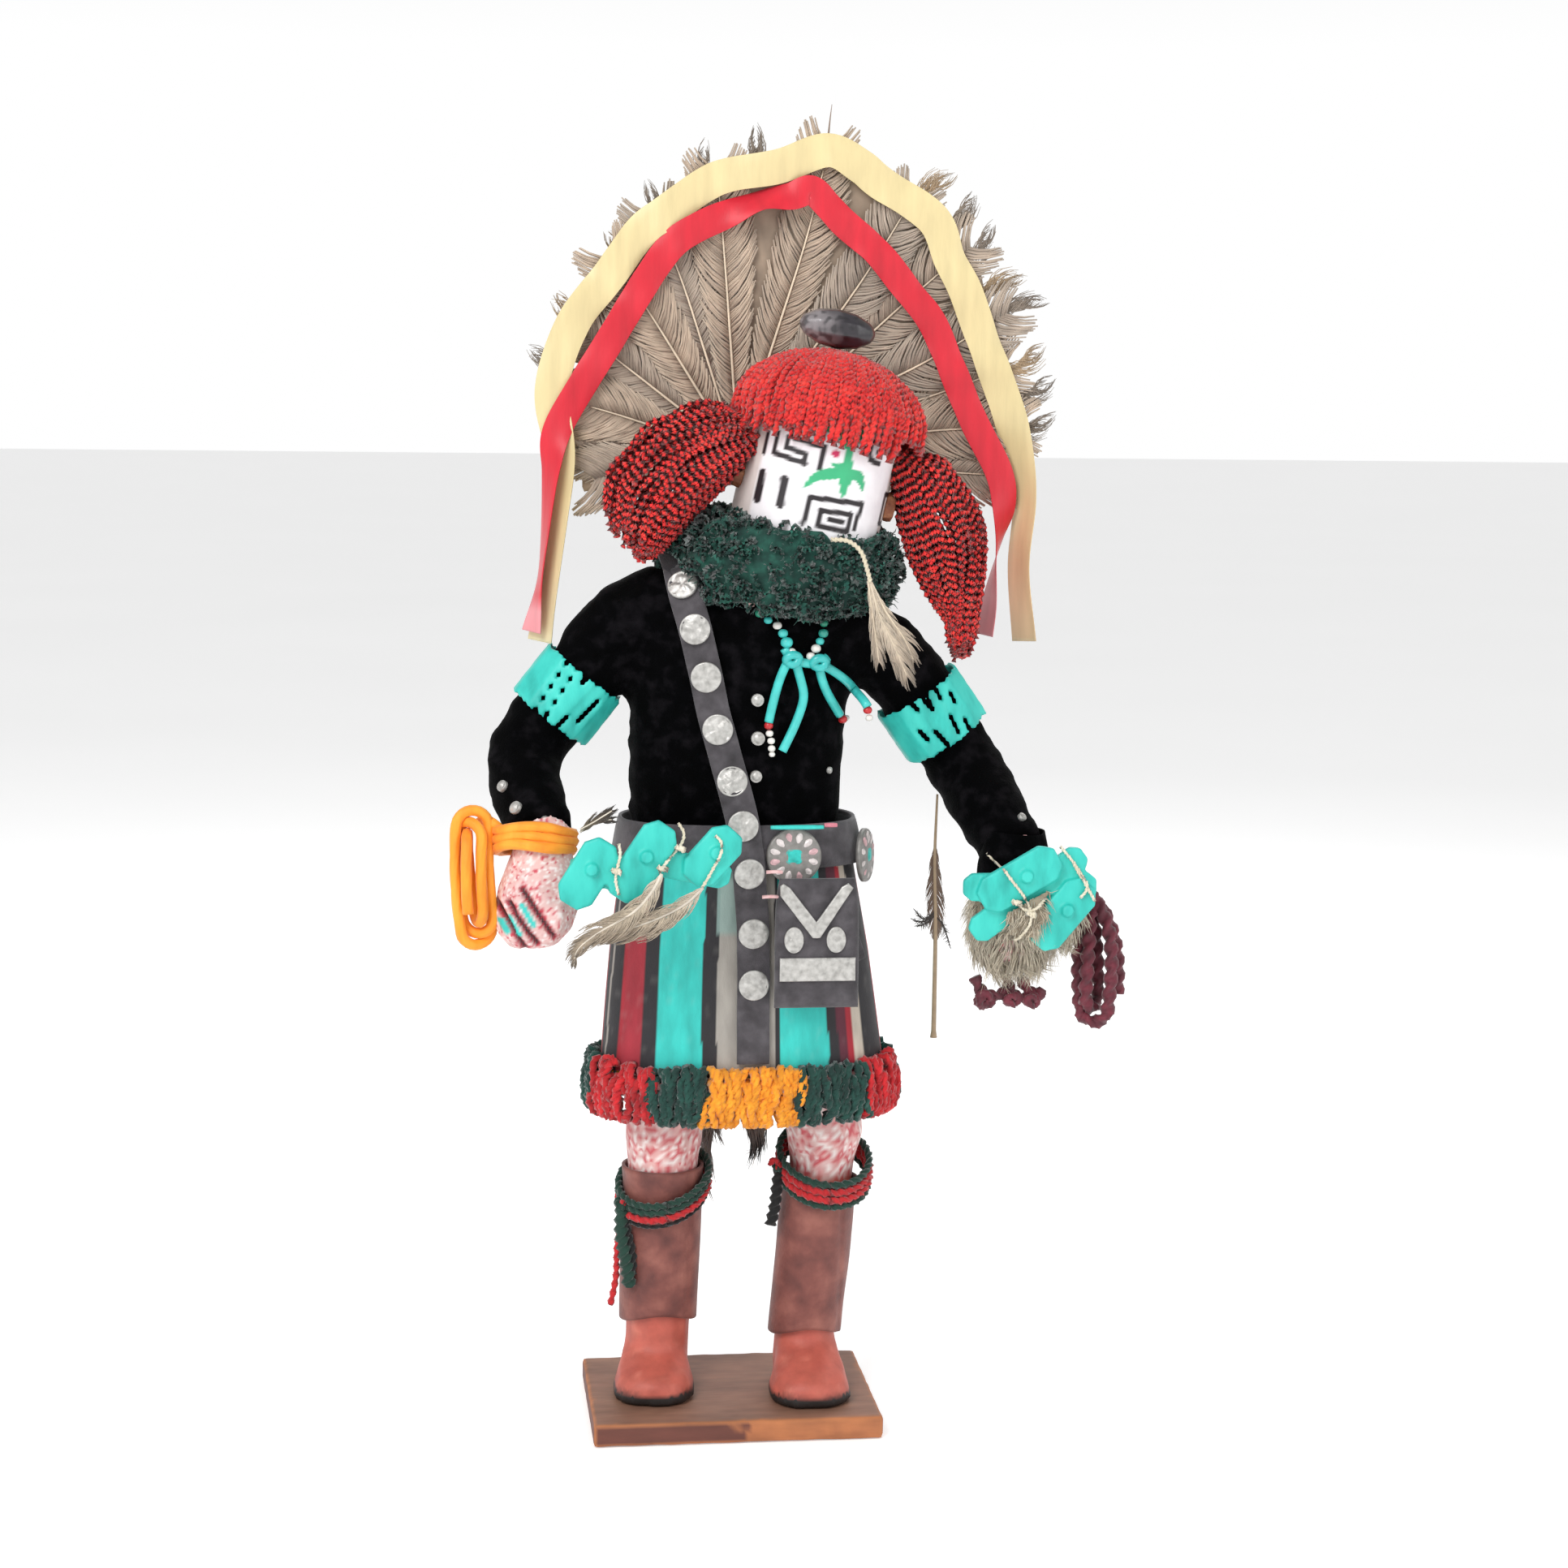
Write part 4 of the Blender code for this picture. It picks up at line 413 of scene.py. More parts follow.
for side in ("left", "right"):
    leg = finer("leg_" + side, 0.0017, leg_finish, "leg_paint", 5)
    points = points_of(leg)
    edge = SOLE_TOP + clouds(points, 0.012, 5) * 0.0004
    coat = np.tile(TERRACOTTA, (len(points), 1))
    coat = blend_colours(coat, rgb(170, 74, 62), np.clip(clouds(points, 0.008, 4) * 0.8, 0, 1))
    coat = blend_colours(coat, rgb(222, 132, 112), np.clip(clouds(points, 0.004, 7) * 1.2 - 0.35, 0, 1))
    coat = blend_colours(coat, SOLE, near(points[:, 2], edge, 0.0006))
    flesh = speckled(points, np.tile(FLESH, (len(points), 1)), rgb(206, 84, 92), 0.0013, 0.72, 6)
    flesh = speckled(points, flesh, rgb(247, 236, 232), 0.0010, 0.62, 8)
    share = near(KNEE_PAINT - 0.002, points[:, 2], 0.004)[:, None]
    paint(leg, coat * (1 - share) + flesh * share)
    print(leg.name, len(points), "points")

# %% [markdown]
# Round the shins go two leather tubes, each cut from one strip and sewn up the side. Their upper edge is
# rolled by wear and their lower edge rises at the front, over the instep. Each is a closed shell, swept
# from rings, with an inner wall, so that the leather's thickness shows at both ends.

# %% Leggings
LEATHER = 0.0011


def ring_faces(rings, sides, closed=False):
    """Squares between rings of points; closed joins the last ring to the first."""
    faces = []
    for r in range(rings if closed else rings - 1):
        a, b = r * sides, (r + 1) % rings * sides
        faces += [(a + s, a + (s + 1) % sides, b + (s + 1) % sides, b + s) for s in range(sides)]
    return faces


def walled(outer, wall):
    """Add an inner wall to rings of points, so that they make a closed tube with open ends."""
    rings, sides, _ = outer.shape
    along = np.gradient(outer, axis=0)
    round_ = np.roll(outer, -1, axis=1) - np.roll(outer, 1, axis=1)
    normal = np.cross(round_, along)
    normal /= np.maximum(np.linalg.norm(normal, axis=2, keepdims=True), 1e-12)
    inner = outer - normal * wall
    return np.concatenate([outer, inner[::-1]]), ring_faces(rings * 2, sides, closed=True)


leather_finish = make_finish(
    "brown leather",
    [rgb(84, 42, 38), rgb(120, 66, 58), rgb(150, 92, 80)],
    0.009,
    0.62,
    0.0011,
    0.00016,
    Sheen_Weight=0.12,
)
for side in ("left", "right"):
    node = "legging_" + side
    solid = points_of(nodes[node])
    low, high = solid.min(axis=0), solid.max(axis=0)
    rings, sides = 40, 84
    angle = np.linspace(0, 2 * math.pi, sides, endpoint=False)
    slices = []
    for k in range(rings):
        share = k / (rings - 1)
        foot = np.array([s for s in solid if s[2] < low[2] + 0.012])
        head = np.array([s for s in solid if s[2] > high[2] - 0.012])
        ends = [((e.min(axis=0) + e.max(axis=0)) / 2, (e.max(axis=0) - e.min(axis=0)) / 2) for e in (foot, head)]
        centre = ends[0][0] * (1 - share) + ends[1][0] * share
        reach = ends[0][1] * (1 - share) + ends[1][1] * share
        lump = np.array([noise.noise(Vector((math.cos(a), math.sin(a), share * 3 + (side == "left") * 9))) for a in angle])
        out = 1 - 0.02 + 0.022 * lump - 0.03 * math.exp(-((share - 0.86) / 0.1) ** 2)
        front = np.clip(-np.sin(angle), 0, 1) ** 3
        rise = (1 - share) ** 4 * 0.0035 * front
        x = centre[0] + np.cos(angle) * reach[0] * out
        y = centre[1] + np.sin(angle) * reach[1] * out
        z = low[2] + (high[2] - low[2]) * share + rise
        slices.append(np.stack([x, y, z], axis=1))
    points, faces = walled(np.array(slices), LEATHER)
    points = points.reshape(-1, 3)
    seam = np.exp(-((points[:, 0] - (low[0] + high[0]) / 2 - 0.0085) / 0.0007) ** 2) * (points[:, 1] < solid[:, 1].mean())
    points[:, 1] += seam * 0.0005
    legging = piece("legging_tube_" + side, points, faces, leather_finish, "brown_leather", node)
    print(legging.name, "is", round((high[2] - low[2]) / MM), "mm tall")

# %% [markdown]
# Everything spun on this doll, its garters, hair, collar and cords, is yarn: two or more plies that twist
# round each other. A strand here is a tube whose cross-section has as many lobes as the yarn has plies,
# and turns as it goes. The lobes catch light in slanting bands, which is what makes a tube read as yarn.

# %% Strands


def resampled(route, step):
    """A route as evenly spaced points of a smooth curve through its points."""
    p = np.asarray(route, dtype=float)
    padded = np.vstack([2 * p[0] - p[1], p, 2 * p[-1] - p[-2]])
    dense = []
    for i in range(len(p) - 1):
        a, b, c, d = padded[i : i + 4]
        t = np.linspace(0, 1, 12, endpoint=False)[:, None]
        dense.append(
            0.5 * (2 * b + (c - a) * t + (2 * a - 5 * b + 4 * c - d) * t**2 + (3 * b - a - 3 * c + d) * t**3)
        )
    dense = np.vstack(dense + [p[-1:]])
    far = np.concatenate([[0], np.cumsum(np.linalg.norm(np.diff(dense, axis=0), axis=1))])
    count = max(3, int(round(far[-1] / step)) + 1)
    even = np.linspace(0, far[-1], count)
    return np.stack([np.interp(even, far, dense[:, k]) for k in range(3)], axis=1)


def carried_frames(path, first=None):
    """Unit vectors along and across a path; the across ones turn as little as they can."""
    along = np.gradient(path, axis=0)
    along /= np.maximum(np.linalg.norm(along, axis=1, keepdims=True), 1e-12)
    start = np.asarray(first if first is not None else (0.3, 0.2, 0.93), dtype=float)
    across = np.empty_like(path)
    for i in range(len(path)):
        start = start - along[i] * start.dot(along[i])
        length = np.linalg.norm(start)
        if length < 1e-6:
            start = np.cross(along[i], (0.7, 0.1, 0.3))
            length = np.linalg.norm(start)
        start = start / length
        across[i] = start
    return along, across, np.cross(along, across)


class Bundle:
    """Gathers many closed tubes or strips into the points and faces of one mesh."""

    def __init__(self):
        self.points, self.faces, self.colours, self.count = [], [], [], 0

    def add(self, points, faces, colour=(1, 1, 1, 1)):
        points = np.asarray(points, dtype=float).reshape(-1, 3)
        self.points.append(points)
        self.faces += [tuple(i + self.count for i in face) for face in faces]
        self.colours.append(np.tile(colour, (len(points), 1)) if np.ndim(colour) == 1 else colour)
        self.count += len(points)

    def strand(
        self, path, radius, sides=6, plies=0, twist=0.006, phase=0.0, colour=(1, 1, 1, 1), flat=1.0, first=None,
        lobe=0.26,
    ):
        """A closed tube along a path. plies is how many lobes it has and lobe how deep they are, twist
        the length of one turn, flat how thick the tube is against its width, and radius one value or
        one for each point."""
        path = np.asarray(path, dtype=float)
        _, u, v = carried_frames(path, first)
        far = np.concatenate([[0], np.cumsum(np.linalg.norm(np.diff(path, axis=0), axis=1))])
        turn = far / twist * 2 * math.pi + phase if plies else np.full(len(path), phase)
        ring = np.linspace(0, 2 * math.pi, sides, endpoint=False)
        lobes = 1 + (lobe if plies else 0) * np.cos(ring * max(plies, 1))
        radius = np.broadcast_to(radius, (len(path),))
        x = np.cos(ring[None, :] + turn[:, None]) * lobes * radius[:, None]
        y = np.sin(ring[None, :] + turn[:, None]) * lobes * radius[:, None] * flat
        points = path[:, None, :] + u[:, None, :] * x[..., None] + v[:, None, :] * y[..., None]
        faces = ring_faces(len(path), sides)
        last = (len(path) - 1) * sides
        faces.append(tuple(range(sides - 1, -1, -1)))
        faces.append(tuple(last + s for s in range(sides)))
        self.add(points, faces, colour)

    def made(self, name, finish, slot, *replaced, colours=False):
        thing = piece(name, np.vstack(self.points), self.faces, finish, slot, *replaced)
        if colours:
            paint(thing, np.vstack(self.colours))
        triangles = sum(len(face) - 2 for face in self.faces)
        print(name, triangles, "triangles")
        return thing


def yarn_finish(name, colours, roughness=0.85, vary=0.12, **more):
    return make_finish(
        name, colours, 0.004, roughness, 0.00025, 0.00012, vary=vary, Sheen_Weight=0.35, Sheen_Roughness=0.4, **more
    )


print("strands of yarn are", 2, "ply")

# %% [markdown]
# A garter is a few turns of yarn tied under the knee: a green strand, two red ones, and their ends left
# hanging at the front. Each turn is a ring that follows the leg, so it is worked out from the leg's own
# width at that height, and sags a little towards the front, where the knot pulls it down.

# %% Garters
garter_finish = yarn_finish("garter yarn", [rgb(225, 225, 225), rgb(255, 255, 255)], paint=True)
RED, DEEP_GREEN, NEAR_BLACK = rgb(196, 34, 40), rgb(24, 62, 50), rgb(22, 22, 22)


def turn_round(centre, half, level, sag, grow, lean=0.0, count=56):
    """A ring of yarn round a leg; sag lowers its front, lean its right side."""
    ring = []
    for a in np.linspace(-0.5 * math.pi, 1.5 * math.pi, count):
        x, y = math.cos(a) * (half[0] + grow), math.sin(a) * (half[1] + grow)
        ring.append((centre[0] + x, centre[1] + y, level - sag * 0.5 * (1 - math.sin(a)) + lean * math.cos(a)))
    return ring


def garter(side, strands, sag, lean, knot_at, tails):
    """Rings of yarn, each (drop from the top, radius, colour), with a knot at one side and tails.
    knot_at is the knot's direction round the leg, in degrees; a tail is (radius, colour, route)."""
    node = "garter_" + side
    low, high = (np.array(c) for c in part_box(node))
    leg = points_of(nodes["leg_" + side])
    bundle = Bundle()
    knee = leg[np.abs(leg[:, 2] - high[2] + 0.012) < 0.012]
    centre, half = (knee.min(axis=0) + knee.max(axis=0)) / 2, (knee.max(axis=0) - knee.min(axis=0)) / 2
    for drop, radius, colour in strands:
        ring = turn_round(centre, half, high[2] - drop, sag, radius * 0.8 + 0.0010, lean)
        bundle.strand(ring, radius, 8, 2, 0.0065, drop * 900, colour)
    a = math.radians(knot_at)
    out = np.array((math.cos(a), math.sin(a), 0))
    level = high[2] - strands[1][0] - sag * 0.5 * (1 - math.sin(a)) + lean * math.cos(a)
    knot = np.array((centre[0], centre[1], level)) + out * (half + 0.0028)
    round_ = np.array((-out[1], out[0], 0))
    for k in range(3):
        ball = [knot + (round_ * x + out * y + np.array((0, 0, z))) * MM
                for x, y, z in ((-2.2, 0, 1 - k), (0, 1.8 - k * 0.5, 0), (2.2, 0, k - 1))]
        bundle.strand(resampled(ball, 0.0008), 0.0013, 8, 2, 0.005, k, strands[k % len(strands)][2])
    for radius, colour, route in tails:
        path = resampled([knot + np.array(step) for step in route], 0.0008)
        bundle.strand(path, radius, 8, 2, 0.0065, 1.0, colour)
    bundle.made("garter_yarn_" + side, garter_finish, "garter_yarn", node, colours=True)


garter(
    "left",
    (
        (0.0095, 0.0013, DEEP_GREEN),
        (0.0118, 0.0012, DEEP_GREEN),
        (0.0144, 0.0013, RED),
        (0.0168, 0.0007, NEAR_BLACK),
    ),
    0.0130,
    0.0035,
    205,
    (
        (0.0022, DEEP_GREEN, ((0, 0, 0), (-0.0004, -0.0022, -0.010), (0.0016, -0.0016, -0.022), (0.0024, -0.001, -0.0290))),
        (0.0019, NEAR_BLACK, ((0, 0, 0), (0.0010, -0.0010, -0.009), (0.0030, -0.0006, -0.018), (0.0032, 0, -0.0250))),
        (0.0011, RED, ((0, 0, 0), (-0.0018, -0.0016, -0.014), (-0.0022, -0.0006, -0.026), (-0.0040, 0, -0.0360))),
    ),
)
garter(
    "right",
    ((0.0045, 0.0013, DEEP_GREEN), (0.0072, 0.0014, RED), (0.0099, 0.0014, RED), (0.0124, 0.0011, DEEP_GREEN)),
    0.0145,
    -0.0010,
    192,
    (
        (0.0019, NEAR_BLACK, ((0, 0, 0), (-0.0012, -0.002, -0.007), (-0.0020, -0.0022, -0.014), (-0.0034, -0.002, -0.0205))),
        (0.0010, RED, ((0, 0, 0), (-0.0022, -0.0022, 0.003), (-0.0040, -0.002, 0.001))),
    ),
)

# %% [markdown]
# The kilt is stiff cloth that stands out like a bell, painted in upright stripes. Its wall is taken from
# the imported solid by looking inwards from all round, which gives even squares to paint on. A stripe is a
# range of directions from the kilt's middle, so it widens towards the hem as the cloth does.

# %% Kilt


def surface_of(*names):
    """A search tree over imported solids, for finding where a line meets them."""
    points, faces = [], []
    for name in names:
        mesh = nodes[name].data
        start = len(points)
        points += [v.co[:] for v in mesh.vertices]
        faces += [[start + i for i in p.vertices] for p in mesh.polygons]
    return BVHTree.FromPolygons(points, faces)


def seen_from_round(tree, centre, angles, levels, reach=0.2):
    """Where a solid is met from outside, level by level and angle by angle."""
    grid = np.empty((len(levels), len(angles), 3))
    for i, level in enumerate(levels):
        for j, a in enumerate(angles):
            out = Vector((math.cos(a), math.sin(a), 0))
            middle = Vector((centre[0], centre[1], level))
            hit = tree.ray_cast(middle + out * reach, -out)[0]
            grid[i, j] = hit if hit else middle
    return grid


def unfaceted(grid, width, axis=1):
    """Average a grid of points along a closed direction, which rounds flat facets off."""
    total = grid.copy()
    for k in range(1, width + 1):
        total += np.roll(grid, k, axis=axis) + np.roll(grid, -k, axis=axis)
    return total / (2 * width + 1)


KILT_WALL = 0.0012
CLOTH_BLACK, CLOTH_RED, TURQUOISE = rgb(42, 40, 44), rgb(176, 36, 52), rgb(56, 206, 196)
GREY_CLOTH, MAROON, CREAM = rgb(172, 166, 158), rgb(96, 38, 54), rgb(214, 202, 186)
STRIPES = (  # each reaches to this many degrees round the kilt, from its right side over the back
    (176, CLOTH_BLACK),
    (179, GREY_CLOTH),
    (181.5, CLOTH_RED),
    (187, CLOTH_BLACK),
    (189, GREY_CLOTH),
    (197.5, CLOTH_BLACK),
    (199.5, CLOTH_RED),
    (209.5, rgb(168, 44, 58)),
    (216.2, CLOTH_BLACK),
    (240, TURQUOISE),
    (249, CLOTH_BLACK),
    (289, GREY_CLOTH),
    (291.5, CLOTH_BLACK),
    (319, TURQUOISE),
    (324, CLOTH_BLACK),
    (329, MAROON),
    (332, CLOTH_RED),
    (337, CREAM),
    (352, CLOTH_BLACK),
    (356, CLOTH_RED),
    (360, CLOTH_BLACK),
)
BACK_STRIPES = ((24, TURQUOISE), (8, CLOTH_BLACK), (7, CLOTH_RED), (6, CLOTH_BLACK))

kilt_low, kilt_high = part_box("kilt")
KILT_MIDDLE = Vector((0.0025, 0))
angles = np.radians(np.arange(0, 360, 1.0))
levels = np.linspace(kilt_low.z + 0.0004, kilt_high.z - 0.0004, 38)
wall = unfaceted(seen_from_round(surface_of("kilt"), KILT_MIDDLE, angles, levels), 5)
share = (levels - levels[0]) / (levels[-1] - levels[0])
away = wall[..., :2] - np.array(KILT_MIDDLE)
ripple = np.array([[noise.noise(Vector((2.4 * math.cos(a), 2.4 * math.sin(a), s * 1.6))) for a in angles] for s in share])
wall[..., :2] = np.array(KILT_MIDDLE) + away * (1 + 0.016 * ripple * (1 - share[:, None] * 0.7))[..., None]
points, faces = walled(wall, KILT_WALL)
kilt_finish = make_finish(
    "painted cloth",
    [rgb(214, 214, 214), rgb(255, 255, 255)],
    0.004,
    0.78,
    0.00035,
    0.00010,
    stretch=(1, 1, 0.3),
    paint=True,
    Sheen_Weight=0.1,
)
kilt = piece("kilt_cloth", points, faces, kilt_finish, "kilt_cloth", "kilt")


def stripe_colours(degrees):
    """The colour of each direction round the kilt."""
    found = np.empty((len(degrees), 4))
    reach = list(STRIPES)
    edge, k, back = 0.0, 0, []
    while edge < 176:
        width, colour = BACK_STRIPES[k % len(BACK_STRIPES)]
        edge = min(edge + width, 176)
        back.append((edge, colour))
        k += 1
    reach = back + reach
    for i, d in enumerate(degrees):
        found[i] = next((colour for limit, colour in reach if d <= limit), CLOTH_BLACK)
    return found


flat = points.reshape(-1, 3)
wobble = clouds(flat, 0.01, 3) * 0.5
degrees = np.degrees(np.arctan2(flat[:, 1], flat[:, 0] - KILT_MIDDLE.x)) % 360
coat = stripe_colours(np.clip(degrees + wobble, 0, 359.9))
worn = near(clouds(flat, 0.003, 9), -0.45, 0.3) * 0.07
coat = blend_colours(coat, rgb(200, 196, 190), worn)
upper = near(0.176, flat[:, 2], 0.0006) * (np.abs(degrees - 255) < 8)
coat = blend_colours(coat, rgb(150, 178, 172), upper * 0.8)
seam = (np.abs(flat[:, 2] - 0.176) < 0.0004) * (np.abs(degrees - 255) < 8)
coat = blend_colours(coat, rgb(90, 86, 84), seam * 0.8)
paint(kilt, coat)
print("kilt:", len(faces), "squares,", len(STRIPES), "stripes in front")

# %% [markdown]
# Along the hem runs a fringe of cut knitting yarn, sewn on in blocks of colour. Each block is a heap of
# short loops: a strand leaves the hem, bulges out, and curls back under. Real loops are never alike, so
# each has its own bulge, lean and depth, drawn from a seeded list that is the same every run.

# %% Fringe
FRINGE_FINISHES = {
    "fringe_red": yarn_finish("red fringe yarn", [rgb(150, 16, 26), rgb(206, 34, 40)], vary=0.22),
    "fringe_green": yarn_finish("green fringe yarn", [rgb(10, 40, 36), rgb(26, 74, 64)], vary=0.3),
    "fringe_gold": yarn_finish("gold fringe yarn", [rgb(216, 126, 16), rgb(250, 168, 44)], vary=0.16),
}
FRINGE_COLOURS = ("green", "red", "green", "gold", "green", "red", "green", "gold")
LOOP_SPACING = 2.6  # degrees between loops
dice = random.Random(11)
kilt_tree = surface_of("kilt")


def hem_at(degrees, level):
    """A place on the kilt's outside, and the way out from it."""
    a = math.radians(degrees)
    out = Vector((math.cos(a), math.sin(a), 0))
    middle = Vector((KILT_MIDDLE.x, KILT_MIDDLE.y, max(level, kilt_low.z + 0.001)))
    hit = kilt_tree.ray_cast(middle + out * 0.2, -out)
    normal = Vector((hit[1].x, hit[1].y, 0)).normalized()
    return Vector((hit[0].x, hit[0].y, level)), normal


def directions_of(node):
    """The range of directions, in degrees round the kilt, that a packed block takes up."""
    flat = points_of(nodes[node])[:, :2] - np.array(KILT_MIDDLE)
    mean = math.degrees(math.atan2(*flat.mean(axis=0)[::-1]))
    around = (np.degrees(np.arctan2(flat[:, 1], flat[:, 0])) - mean + 180) % 360 - 180
    return mean + around.min(), mean + around.max()


for k, colour in enumerate(FRINGE_COLOURS):
    node = "fringe_" + str(k + 1)
    low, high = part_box(node)
    start, end = directions_of(node)
    hidden = node == "fringe_8"
    bundle = Bundle()
    spacing = LOOP_SPACING * (1.5 if hidden else 1)
    for row in range(2 if hidden else 3):
        for step in range(int((end - start) / spacing) + 1):
            degrees = min(max(start + 1 + step * spacing + dice.uniform(-1.4, 1.4), start + 1.2), end - 1.2)
            base, out = hem_at(degrees % 360, high.z - 0.0022 - row * 0.0045 + dice.uniform(-0.001, 0.001))
            side = Vector((-out.y, out.x, 0)) * dice.uniform(-0.0030, 0.0030)
            sway = Vector((-out.y, out.x, 0)) * dice.uniform(-0.0022, 0.0022)
            depth = dice.uniform(0.0042, 0.0056) * (1.0 if row else 0.85)
            fall = min(dice.uniform(0.009, 0.013), base.z - low.z - 0.0008)
            route = [
                base + out * 0.0006,
                base + out * depth * 0.8 + side * 0.2 + Vector((0, 0, 0.0006)),
                base + out * depth + side * 0.5 + sway - Vector((0, 0, fall * 0.45)),
                base + out * depth * 0.72 + side - sway * 0.5 - Vector((0, 0, fall * 0.95)),
                base + out * depth * 0.2 + side * 1.3 - Vector((0, 0, fall)),
                base + out * 0.0010 + side * 1.4 - Vector((0, 0, fall * 0.7)),
            ]
            bundle.strand(resampled(route, 0.0016), dice.uniform(0.0012, 0.0015), 7, 2, 0.006, dice.uniform(0, 6))
    if node in ("fringe_2", "fringe_6"):
        way = -1 if node == "fringe_2" else 1
        base, out = hem_at(200 if way < 0 else 346, high.z - 0.001)
        for drop in (0, 1):
            tail = [
                base + out * 0.002,
                base + Vector((way * 0.003, -0.001, 0.0020 - drop * 0.002)),
                base + Vector((way * 0.0055, 0, 0.0012 - drop * 0.004)),
            ]
            bundle.strand(resampled(tail, 0.001), 0.0010, 6, 2, 0.005, drop * 2)
    bundle.made("fringe_loops_" + str(k + 1), FRINGE_FINISHES["fringe_" + colour], "fringe_" + colour, node)

# %% [markdown]
# The belt, the strap over the shoulder, the pouch and the hip tie are all cut from one hide, a charcoal
# suede with a rubbed, dusty nap. A strip of leather is swept as a flat section whose corners are rounded
# and whose edges are a little lower than its middle, the way a knife leaves them.

# %% Suede strips
suede = make_finish(
    "charcoal suede",
    [rgb(40, 37, 40), rgb(66, 62, 66), rgb(88, 84, 88)],
    0.006,
    0.82,
    0.0004,
    0.00014,
    Sheen_Weight=0.25,
    Sheen_Roughness=0.5,
)
SUEDE = "charcoal_leather"


def strip_section(width, thickness, edge=0.3):
    """The outline of a strip's cut: x across, y out, corners rounded."""
    half, up = width / 2, thickness / 2
    soft = min(thickness, width) * edge
    outline = []
    for cx, cy, start in ((half - soft, up - soft, 0), (-half + soft, up - soft, 90)):
        for a in (0, 45, 90):
            r = math.radians(start + a)
            outline.append((cx + soft * math.cos(r), cy + soft * math.sin(r)))
        if start == 0:
            outline += [(x, up + thickness * 0.10 * (1 - (x / half) ** 2)) for x in (half * 0.4, 0, -half * 0.4)]
    for cx, cy, start in ((-half + soft, -up + soft, 180), (half - soft, -up + soft, 270)):
        for a in (0, 45, 90):
            r = math.radians(start + a)
            outline.append((cx + soft * math.cos(r), cy + soft * math.sin(r)))
    return outline


def swept(path, across, outline):
    """Rings of an outline along a path; across says which way is the strip's width."""
    path, across = np.asarray(path), np.asarray(across)
    along = np.gradient(path, axis=0)
    along /= np.linalg.norm(along, axis=1, keepdims=True)
    across = across - along * (across * along).sum(axis=1, keepdims=True)
    across /= np.linalg.norm(across, axis=1, keepdims=True)
    out = np.cross(across, along)
    shape = np.array(outline)
    return path[:, None] + across[:, None] * shape[None, :, :1] + out[:, None] * shape[None, :, 1:]


def capped(rings):
    """Faces for rings that end in flat caps."""
    count, sides, _ = rings.shape
    faces = ring_faces(count, sides)
    last = (count - 1) * sides
    return faces + [tuple(range(sides - 1, -1, -1)), tuple(last + s for s in range(sides))]


def dome(bundle, centre, normal, half, up, thickness, rim=28, square=0.0, colour=(1, 1, 1, 1), hammer=0.0):
    """A thin round or oval plate, a little domed, with a rolled rim. up is the way of its second half."""
    normal = Vector(normal).normalized()
    v = (Vector(up) - normal * Vector(up).dot(normal)).normalized()
    u = v.cross(normal)
    rings = ((1.0, -0.55), (1.0, -0.05), (0.97, 0.16), (0.91, 0.22), (0.86, 0.17), (0.6, 0.36), (0.35, 0.45), (0.12, 0.5))
    points = []
    for reach, lift in rings:
        for s in range(rim):
            a = 2 * math.pi * s / rim
            c, d = math.cos(a), math.sin(a)
            grow = reach / max(abs(c), abs(d)) * square + reach * (1 - square)
            dent = hammer * noise.noise(Vector((c, d, 0)) * reach * 3 + Vector(centre) * 300) if reach < 0.9 else 0
            points.append(Vector(centre) + u * c * half[0] * grow + v * d * half[1] * grow + normal * (lift + dent) * thickness)
    faces = ring_faces(len(rings), rim)
    faces.append(tuple(range(rim - 1, -1, -1)))
    faces.append(tuple((len(rings) - 1) * rim + s for s in range(rim)))
    bundle.add(points, faces, colour)


silver = make_finish(
    "hammered silver",
    [rgb(150, 148, 144), rgb(184, 182, 178), rgb(206, 204, 200)],
    0.002,
    0.42,
    0.0009,
    0.00012,
    Metallic=0.55,
)
belt_low, belt_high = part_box("belt")
belt_tree = surface_of("belt")
grid = unfaceted(seen_from_round(belt_tree, KILT_MIDDLE, angles[::2], np.linspace(belt_low.z, belt_high.z, 12)), 3)
for i, level in enumerate(np.linspace(-1, 1, 12)):
    grid[i, :, :2] -= (grid[i, :, :2] - np.array(KILT_MIDDLE)) * 0.010 * level**4
points, faces = walled(grid, 0.0012)
piece("belt_band", points, faces, suede, SUEDE, "belt")
print("the belt goes round", round(float(np.linalg.norm(np.diff(grid[6], axis=0), axis=1).sum()) / MM), "mm")

# %% [markdown]
# On the belt sit a round silver plate with a turquoise square at its middle, a second one seen almost
# from its edge, and two small bars. The petals of the plate are stamped, and rubbed pale, so they are a
# ring of small drops that stand a fraction of a millimetre off the plate.

# %% Plates and bars on the belt
plate_finish = make_finish(
    "rubbed silver plate", [rgb(205, 205, 205), rgb(255, 255, 255)], 0.002, 0.45, 0.0008, 0.00008, paint=True, Metallic=0.35
)
PALE_SILVER, DULL_SILVER, STONE_PINK = rgb(205, 200, 198), rgb(150, 147, 143), rgb(214, 128, 142)


